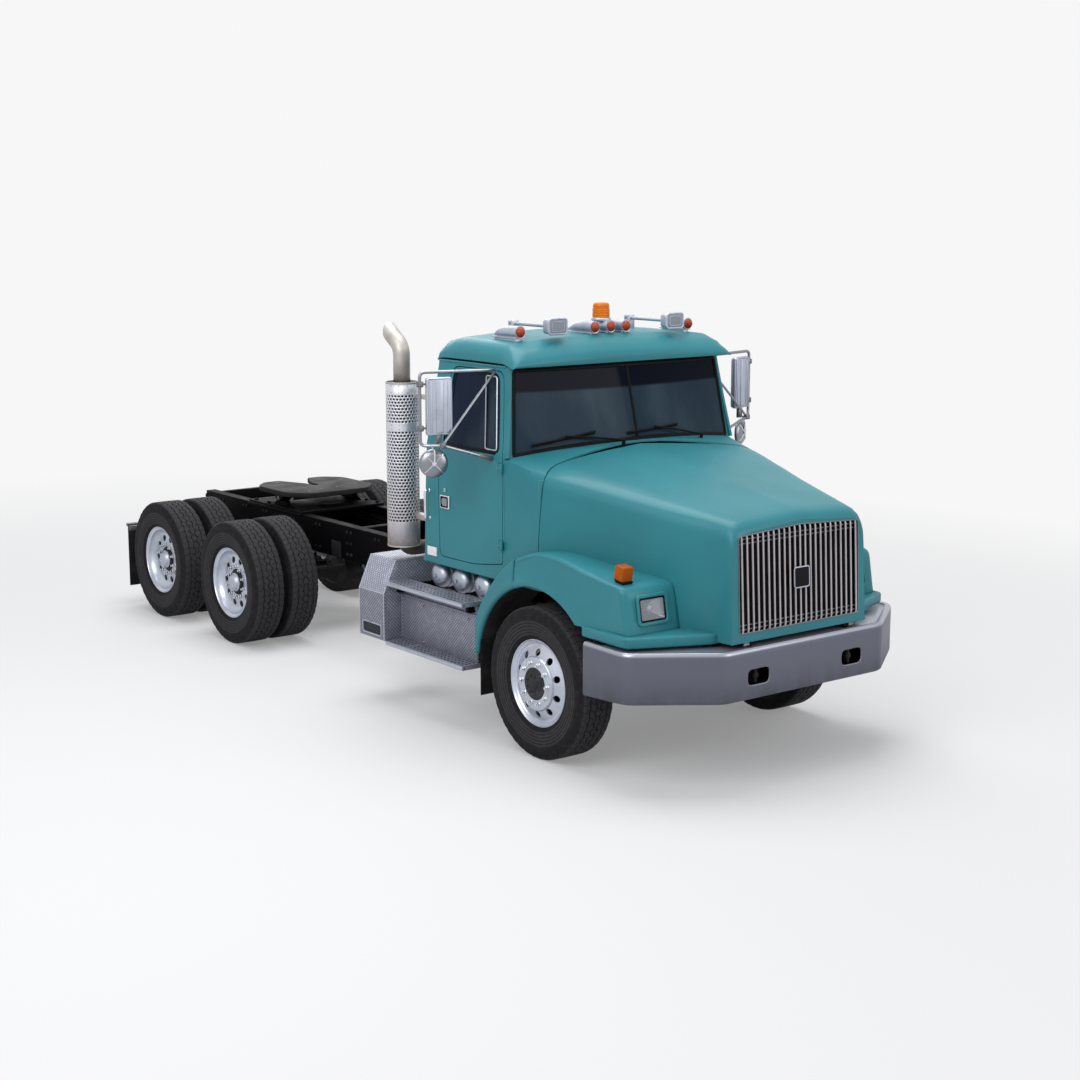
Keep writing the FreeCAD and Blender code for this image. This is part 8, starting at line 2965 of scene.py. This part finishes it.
@dataclass
class Power:
    """Engine and radiator under the hood."""

    finishes: Finishes

    def build(self) -> None:
        """Makes the engine, its plumbing and the radiator."""
        self.block()
        self.plumbing()
        self.radiator()

    def block(self) -> None:
        """In-line six: block with webs and covers, heads, rocker covers, sump, mounts."""
        iron, alloy = Shape(), Shape()
        iron.block((-0.195, -0.9, 0.78), (0.195, 0.02, 1.22), 0.018, 3)
        iron.block((-0.17, -0.88, 1.22), (0.17, 0.0, 1.36), 0.01, 3)
        iron.block((-0.15, -0.86, 0.62), (0.15, -0.02, 0.79), 0.035, 4)
        iron.block((-0.165, -0.875, 0.765), (0.165, -0.01, 0.785), 0.004)
        iron.rod((0, 0.015, 0.86), (0, 0.098, 0.86), 0.235, sides=56, bevel=0.012)
        for k in range(7):
            y = -0.87 + 0.142 * k
            for sign in (-1, 1):
                iron.block((sign * 0.2 - 0.012, y, 0.84), (sign * 0.2 + 0.012, y + 0.022, 1.2), 0.005)
        for k in range(6):
            y = -0.83 + 0.142 * k
            for sign in (-1, 1):
                iron.rod((sign * 0.19, y + 0.02, 1.03), (sign * 0.204, y + 0.02, 1.03), 0.032, sides=28,
                         bevel=0.003)
            alloy.block((-0.118, y - 0.052, 1.36), (0.118, y + 0.066, 1.452), 0.022, 4)
            alloy.rod((0, y + 0.007, 1.45), (0, y + 0.007, 1.462), 0.012, sides=6)
            for dx in (-0.13, 0.13):
                alloy.rod((dx, y + 0.007, 1.355), (dx, y + 0.007, 1.374), 0.01, sides=6)
        alloy.block((-0.15, -0.93, 0.8), (0.15, -0.9, 1.34), 0.01)
        for y in (-0.85, -0.02):
            for sign in (-1, 1):
                iron.block((sign * 0.19, y + 0.008, 0.846), (sign * 0.418, y + 0.072, 0.914), 0.01)
                iron.rod((sign * 0.37, y + 0.04, 0.906), (sign * 0.37, y + 0.04, 0.93), 0.018, sides=6)
        for k in range(9):
            for sign in (-1, 1):
                iron.rod((sign * 0.158, -0.85 + 0.1 * k, 0.762), (sign * 0.158, -0.85 + 0.1 * k, 0.75),
                         0.008, sides=6)
        iron.finish("engine_iron", self.finishes.cast, "chassis", "cast", ["engine_block"], 32)
        alloy.finish("rocker_covers", self.finishes.polished, "chassis", "cast", angle=32)

    def plumbing(self) -> None:
        """Manifolds, turbocharger, filters, fan with its belts, hoses and the air cleaner."""
        hot, cool, black = Shape(), Shape(), Shape()
        hot.rod((-0.245, -0.82, 1.27), (-0.245, -0.05, 1.27), 0.036, sides=28, bevel=0.008)
        for k in range(6):
            y = -0.81 + 0.142 * k
            hot.pipe([(-0.16, y, 1.29), (-0.2, y, 1.29), (-0.24, y + 0.01, 1.27)], 0.024, 0.03, 16)
            hot.block((-0.185, y - 0.035, 1.258), (-0.168, y + 0.035, 1.322), 0.006)
            cool.pipe([(0.15, y, 1.3), (0.2, y, 1.3), (0.235, y, 1.29)], 0.026, 0.03, 16)
        turbo = [(0.0, 0.0), (0.0, 0.045), (0.012, 0.05), (0.02, 0.078), (0.07, 0.085), (0.085, 0.05),
                 (0.095, 0.04), (0.14, 0.04), (0.15, 0.07), (0.17, 0.082), (0.2, 0.08), (0.215, 0.05),
                 (0.225, 0.04), (0.225, 0.0)]
        snail = Shape()
        snail.lathe(turbo, (0, 0, 0), (0, 0, 1), 36, closed=False)
        hot.add(snail, matrix=lengthwise((-0.238, -0.6, 1.385)))
        cool.rod((0.24, -0.82, 1.29), (0.24, -0.05, 1.29), 0.04, sides=28, bevel=0.01)
        for y in (-0.7, -0.52):
            cool.rod((0.262, y, 0.82), (0.262, y, 1.06), 0.055, sides=32, bevel=0.01)
            cool.rod((0.262, y, 1.06), (0.262, y, 1.1), 0.04, sides=6)
        cool.block((0.205, -0.3, 0.9), (0.3, -0.08, 1.1), 0.02, 3)
        black.rod((0, -0.905, 1.15), (0, -0.975, 1.15), 0.07, sides=36, bevel=0.006)
        for a in around(8):
            turn = Matrix.Rotation(a, 4, "Y") @ Matrix.Rotation(math.radians(28), 4, "Z")
            blade = Shape().block((-0.038, -0.004, 0.06), (0.038, 0.004, 0.25), 0.003)
            black.add(blade, matrix=Matrix.Translation((0, -0.952, 1.15)) @ turn)
        for x, z, radius in ((0.0, 0.88, 0.085), (0.155, 1.08, 0.045), (-0.16, 1.02, 0.05)):
            black.rod((x, -0.908, z), (x, -0.94, z), radius, sides=36, bevel=0.004)
        loop = [Vector((x, -0.922, z)) for x, z in ((0.086, 0.87), (0.2, 1.07), (0.155, 1.127), (0.0, 1.222),
                                                    (-0.15, 1.072), (-0.21, 1.01), (-0.086, 0.87),
                                                    (0.0, 0.795))]
        black.pipe(smooth_line([*loop, loop[0]], 80), 0.007, sides=8)
        black.pipe([(0.06, -0.9, 1.34), (0.06, -1.0, 1.42), (0.06, -1.02, 1.5), (0.06, -1.085, 1.52)], 0.032,
                   0.05, 20)
        black.pipe([(0.16, -0.93, 0.86), (0.22, -1.02, 0.98), (0.26, -1.085, 1.08)], 0.032, 0.05, 20)
        black.pipe([(0.24, -0.8, 1.31), (0.3, -0.95, 1.4), (0.32, -1.085, 1.48)], 0.036, 0.06, 20)
        black.pipe([(-0.238, -0.62, 1.38), (-0.27, -0.9, 1.42), (-0.32, -1.085, 1.46)], 0.036, 0.06, 20)
        black.pipe(smooth_line([(-0.12, -0.1, 1.47), (-0.05, -0.4, 1.475), (-0.1, -0.7, 1.47)], 30), 0.008,
                   sides=8)
        hot.finish("exhaust_side", self.finishes.dull, "chassis", "cast")
        cool.finish("intake_side", self.finishes.cast, "chassis", "cast")
        black.finish("belts_and_hoses", self.finishes.seal, "chassis", "rubber")
        cleaner = Shape()
        cleaner.rod((0.235, -0.34, 1.44), (0.235, 0.05, 1.44), 0.075, sides=40, bevel=0.012)
        for y in (-0.3, -0.14, 0.02):
            cleaner.rod((0.235, y, 1.44), (0.235, y + 0.008, 1.44), 0.078, sides=40, bevel=0.002)
        cleaner.finish("air_cleaner", self.finishes.black, "chassis", "cast")

    def radiator(self) -> None:
        """Radiator: finned core between two tanks, side frames, filler and shroud."""
        core, tanks = Shape(), Shape()
        for k in range(44):
            z = 1.105 + 0.0098 * k
            core.block((-0.445, -1.16, z), (0.445, -1.104, z + 0.0032))
        for k in range(31):
            x = -0.44 + 0.0293 * k
            core.block((x, -1.15, 1.1), (x + 0.004, -1.114, 1.54))
        tanks.block((-0.47, -1.168, 1.53), (0.47, -1.092, 1.598), 0.016, 3)
        tanks.block((-0.47, -1.168, 1.034), (0.47, -1.092, 1.104), 0.016, 3)
        for sign in (-1, 1):
            tanks.block((sign * 0.445, -1.17, 1.032), (sign * 0.48, -1.09, 1.594), 0.006)
        ring = [Vector((0.3 * math.cos(2 * math.pi * k / 48), -1.086,
                        1.3 + 0.235 * math.sin(2 * math.pi * k / 48))) for k in range(49)]
        tanks.pipe(ring, 0.007, sides=10)
        core.finish("radiator_core", self.finishes.dull, "chassis", "cast", ["radiator"], 30)
        tanks.finish("radiator_tanks", self.finishes.black, "chassis", "frame_black", angle=32)


@dataclass
class Inside:
    """Dashboard, steering wheel and the two seats."""

    finishes: Finishes
    driver: float = 0.46

    def build(self) -> None:
        """Makes the inside of the cab."""
        self.dashboard()
        self.wheel()
        for x, word in ((self.driver, "driver"), (-self.driver, "passenger")):
            self.seat(x, word)

    def dashboard(self) -> None:
        """Dash with a hooded gauge panel, vents, switches and a glove box."""
        f, dash, trim, dials = self.finishes, Shape(), Shape(), Shape()
        side = [(0.17, 1.515), (0.5, 1.485), (0.575, 1.545), (0.597, 1.6), (0.59, 1.735), (0.56, 1.785),
                (0.5, 1.838), (0.45, 1.868), (0.17, 1.87)]
        dash.plate([(-0.978, y, z) for y, z in side], (1.956, 0, 0), 0.012, 3)
        hoodline = [(0.47, 1.84), (0.588, 1.77), (0.6, 1.79), (0.575, 1.872), (0.48, 1.872)]
        dash.plate([(0.15, y, z) for y, z in hoodline], (0.62, 0, 0), 0.01, 3)
        dash.block((-0.85, 0.59, 1.59), (-0.3, 0.6, 1.72), 0.005)
        dash.block((-0.23, 0.585, 1.56), (0.12, 0.6, 1.77), 0.008)
        for x in (-0.9, -0.2, 0.08, 0.86):
            trim.block((x - 0.045, 0.592, 1.735), (x + 0.045, 0.603, 1.785), 0.004)
            for k in range(5):
                trim.block((x - 0.04, 0.6, 1.74 + 0.009 * k), (x + 0.04, 0.606, 1.743 + 0.009 * k), 0.001)
        for k in range(6):
            trim.block((-0.2 + 0.052 * k, 0.598, 1.6), (-0.165 + 0.052 * k, 0.607, 1.632), 0.003)
            trim.block((-0.2 + 0.052 * k, 0.598, 1.65), (-0.165 + 0.052 * k, 0.607, 1.682), 0.003)
        trim.block((-0.62, 0.598, 1.69), (-0.53, 0.606, 1.705), 0.003)
        for x, z, r in ((0.36, 1.7, 0.052), (0.5, 1.7, 0.052), (0.26, 1.715, 0.026), (0.26, 1.655, 0.026),
                        (0.6, 1.715, 0.026), (0.6, 1.655, 0.026), (0.68, 1.7, 0.026)):
            rim = circle((x, 0.6, z), r, 28)
            trim.pipe([*rim, rim[0]], 0.0035, sides=8)
            dials.rod((x, 0.592, z), (x, 0.5995, z), r * 0.94, sides=28)
            for k in range(9):
                a = math.radians(-135 + 33.75 * k)
                at = Vector((x + r * 0.74 * math.sin(a), 0.6005, z + r * 0.74 * math.cos(a)))
                trim.ball(at, r * 0.05, (1, 0.3, 1), 8)
            trim.rod((x, 0.6, z), (x + r * 0.5, 0.6, z + r * 0.4), r * 0.04, sides=6)
        dash.finish("dash_body", f.plastic, "chassis", "interior", ["dashboard"], 32)
        trim.finish("dash_trim", f.housing, "chassis", "interior", angle=32)
        dials.finish("dash_dials", f.seal, "chassis", "interior", angle=32)

    def wheel(self) -> None:
        """Steering wheel: gripped rim, dished spokes, horn pad and column."""
        hub, rim, column = Vector((self.driver, 0.8, 1.85)), Shape(), Shape()
        tilt = Matrix.Translation(hub) @ Matrix.Rotation(math.radians(-30), 4, "X")
        grip = 0.225
        ring = [Vector((grip * math.cos(a), grip * math.sin(a), 0)) for a in around(96)]
        flat = Shape().pipe([*ring, ring[0]], 0.0135, sides=16)
        for a in around(36):
            flat.ball((grip * math.cos(a), grip * math.sin(a), -0.01), 0.0075, (1, 1, 1), 8)
        for angle in (90, 210, 330):
            a = math.radians(angle)
            out = Vector((math.cos(a), math.sin(a), 0))
            across = Vector((-math.sin(a), math.cos(a), 0))
            line = [out * 0.03 + across * 0.022, out * 0.12 + across * 0.014, out * 0.222 + across * 0.016,
                    out * 0.222 - across * 0.016, out * 0.12 - across * 0.014, out * 0.03 - across * 0.022]
            flat.plate([p + Vector((0, 0, -0.007)) for p in line], (0, 0, 0.012), 0.003)
        flat.lathe([(-0.035, 0.0), (-0.035, 0.032), (-0.02, 0.046), (0.004, 0.05), (0.014, 0.044),
                    (0.018, 0.02), (0.018, 0.0)], (0, 0, 0), (0, 0, 1), 36, closed=False)
        rim.add(flat.turned_out(), matrix=tilt)
        rim.finish("steering_rim", self.finishes.seal, "chassis", "interior", ["steering_wheel"], 40)
        axis = (tilt.to_3x3() @ Vector((0, 0, 1))).normalized()
        column.rod(hub - axis * 0.03, hub - axis * 0.3, 0.03, 0.042, 28, 0.004)
        column.rod(hub - axis * 0.24, hub - axis * 0.36, 0.046, 0.05, 28, 0.006)
        column.rod(hub - axis * 0.3, hub - axis * 0.52, 0.026, sides=24)
        column.pipe([hub - axis * 0.1, hub - axis * 0.1 + Vector((-0.19, 0, 0.012))], 0.0065, sides=10)
        column.ball(hub - axis * 0.1 + Vector((-0.195, 0, 0.012)), 0.012)
        column.finish("steering_column", self.finishes.plastic, "chassis", "interior")

    def puff(self, name: str, low: Point, high: Point, push: float, lean: float,
             replaces: Iterable[str] = ()) -> None:
        """One upholstered pad blown up by cloth simulation, then piped and channelled.

        Args:
            name: the piece's name.
            low: lowest corner of the space it fills.
            high: highest corner.
            push: how far the cover may swell.
            lean: how far the top leans to the rear.
            replaces: CAD nodes it stands for.
        """
        low, high = Vector(low), Vector(high)
        size, centre = high - low, (high + low) / 2
        pad = Shape().block(low + Vector((push,) * 3) * 0.8, high - Vector((push,) * 3) * 0.8,
                            min(size) * 0.2, 4)
        holder = Shape.loose(pad)
        remesh = holder.modifiers.new("even", "REMESH")
        remesh.mode = "VOXEL"
        remesh.voxel_size = 0.011
        self.bake(holder)
        holder = self.swell(holder, push)
        bm = bmesh.new()
        bm.from_mesh(holder.data)
        bpy.data.objects.remove(holder)
        upright = size.z > size.y
        channels = 4
        for vert in bm.verts:
            p = vert.co
            across = (p.x - low.x) / size.x
            face = low.y + size.y * 0.45 - p.y if upright else p.z - centre.z
            run = (p.z - low.z) / size.z if upright else (p.y - low.y) / size.y
            if face > 0 and 0.13 < across < 0.87 and 0.08 < run < 0.92:
                cell = (run - 0.08) / 0.84 * channels
                inner = 0.4 < cell < channels - 0.4
                groove = math.exp(-((cell - round(cell)) / 0.055) ** 2) if inner else 0.0
                edge = math.exp(-((abs(across - 0.5) - 0.3) / 0.012) ** 2)
                depth = 0.01 * max(groove, edge)
                if upright:
                    p.y += depth
                else:
                    p.z -= depth
            p.y += lean * (p.z - low.z) / size.z
        piece = Shape()
        piece.bm = bm
        pad = piece.finish(f"{name}_pad", self.finishes.cloth, "chassis", "seat_cloth", replaces, 80,
                           divide=1)

    def bake(self, holder: bpy.types.Object) -> None:
        """Replaces an object's mesh with its evaluated one and drops the modifiers."""
        bpy.context.view_layer.update()
        mesh = bpy.data.meshes.new_from_object(holder.evaluated_get(bpy.context.evaluated_depsgraph_get()))
        holder.modifiers.clear()
        holder.data = mesh

    def swell(self, holder: bpy.types.Object, cap: float) -> bpy.types.Object:
        """Blows a closed mesh up as cloth, with each point held to a short travel."""
        start = [vert.co.copy() for vert in holder.data.vertices]
        cloth = holder.modifiers.new("cloth", "CLOTH")
        cloth.settings.use_pressure = True
        cloth.settings.uniform_pressure_force = 4.0
        cloth.settings.effector_weights.gravity = 0.0
        cloth.settings.tension_stiffness = 12.0
        cloth.settings.bending_stiffness = 0.6
        cloth.point_cache.frame_start, cloth.point_cache.frame_end = 1, 20
        scene = bpy.context.scene
        for frame_number in range(1, 21):
            scene.frame_set(frame_number)
        self.bake(holder)
        scene.frame_set(1)
        for vert, first in zip(holder.data.vertices, start):
            step = vert.co - first
            if step.length > cap:
                vert.co = first + step * (cap / step.length)
        return holder

    def seat(self, x: float, word: str) -> None:
        """One seat: cushion, back with head rest, shell, pedestal with bellows, belt buckle."""
        f = self.finishes
        nodes = ["seats"] if x > 0 else []
        self.puff(f"{word}_cushion", (x - 0.25, 0.872, 1.44), (x + 0.25, 1.3, 1.59), 0.02, 0.0, nodes)
        self.puff(f"{word}_back", (x - 0.24, 1.215, 1.56), (x + 0.24, 1.345, 2.02), 0.018, 0.045)
        self.puff(f"{word}_headrest", (x - 0.15, 1.265, 2.035), (x + 0.15, 1.372, 2.225), 0.014, 0.012)
        shell, bellows, metal = Shape(), Shape(), Shape()
        shell.block((x - 0.235, 0.9, 1.425), (x + 0.235, 1.32, 1.458), 0.012, 3)
        back = [(1.318, 1.45), (1.345, 1.45), (1.402, 2.03), (1.375, 2.04)]
        shell.plate([(x - 0.225, a, b) for a, b in back], (0.45, 0, 0), 0.01, 3)
        shell.block((x - 0.255, 1.1, 1.455), (x - 0.235, 1.32, 1.53), 0.008, 3)
        shell.block((x + 0.235, 1.1, 1.455), (x + 0.255, 1.32, 1.53), 0.008, 3)
        for side in (-1, 1):
            shell.block((x + side * 0.262 - 0.024, 1.02, 1.7), (x + side * 0.262 + 0.024, 1.3, 1.738),
                        0.014, 4)
            shell.block((x + side * 0.262 - 0.01, 1.26, 1.64), (x + side * 0.262 + 0.01, 1.32, 1.73), 0.006)
            metal.rod((x + side * 0.07, 1.335, 1.98), (x + side * 0.07, 1.342, 2.07), 0.007, sides=12)
            metal.block((x + side * 0.205 - 0.018, 0.93, 1.165), (x + side * 0.205 + 0.018, 1.3, 1.19), 0.004)
        rows = []
        for k in range(11):
            z = 1.185 + 0.0235 * k
            inset = 0.0 if k % 2 else 0.016
            a, b = 0.168 - inset, 0.158 - inset
            loop = rounded([(x, 1.11 - b, z), (x - a, 1.11 - b, z), (x - a, 1.11 + b, z),
                            (x + a, 1.11 + b, z), (x + a, 1.11 - b, z), (x, 1.11 - b, z)],
                           [0, 0.03, 0.03, 0.03, 0.03, 0], 4)
            rows.append(loop)
        bellows.skin(rows, loop=True)
        bellows.facing((0, 0, 1)).turned_out()
        metal.block((x + 0.262, 1.21, 1.46), (x + 0.285, 1.25, 1.56), 0.005)
        shell.finish(f"{word}_seat_shell", f.plastic, "chassis", "interior")
        bellows.finish(f"{word}_seat_bellows", f.rubber, "chassis", "interior", angle=60, wall=0.003)
        metal.finish(f"{word}_seat_irons", f.dull, "chassis", "interior")


def main() -> None:
    """Builds the truck's looks, one sub-assembly after another."""
    logging.basicConfig(level=logging.INFO, format="%(message)s")
    finishes = Finishes()
    Studio().build()
    cab = Cab(finishes)
    parts = (RunningGear(finishes), Bumper(finishes), Hood(finishes), cab,
             *(Door(finishes, cab, side) for side in Side), RoofLamps(finishes), Stack(finishes),
             Flank(finishes), Chassis(finishes), Coupling(finishes), Power(finishes), Inside(finishes))
    for part in parts:
        part.build()
        LOG.info("%s done", type(part).__name__)


if __name__ == "__main__":
    main()
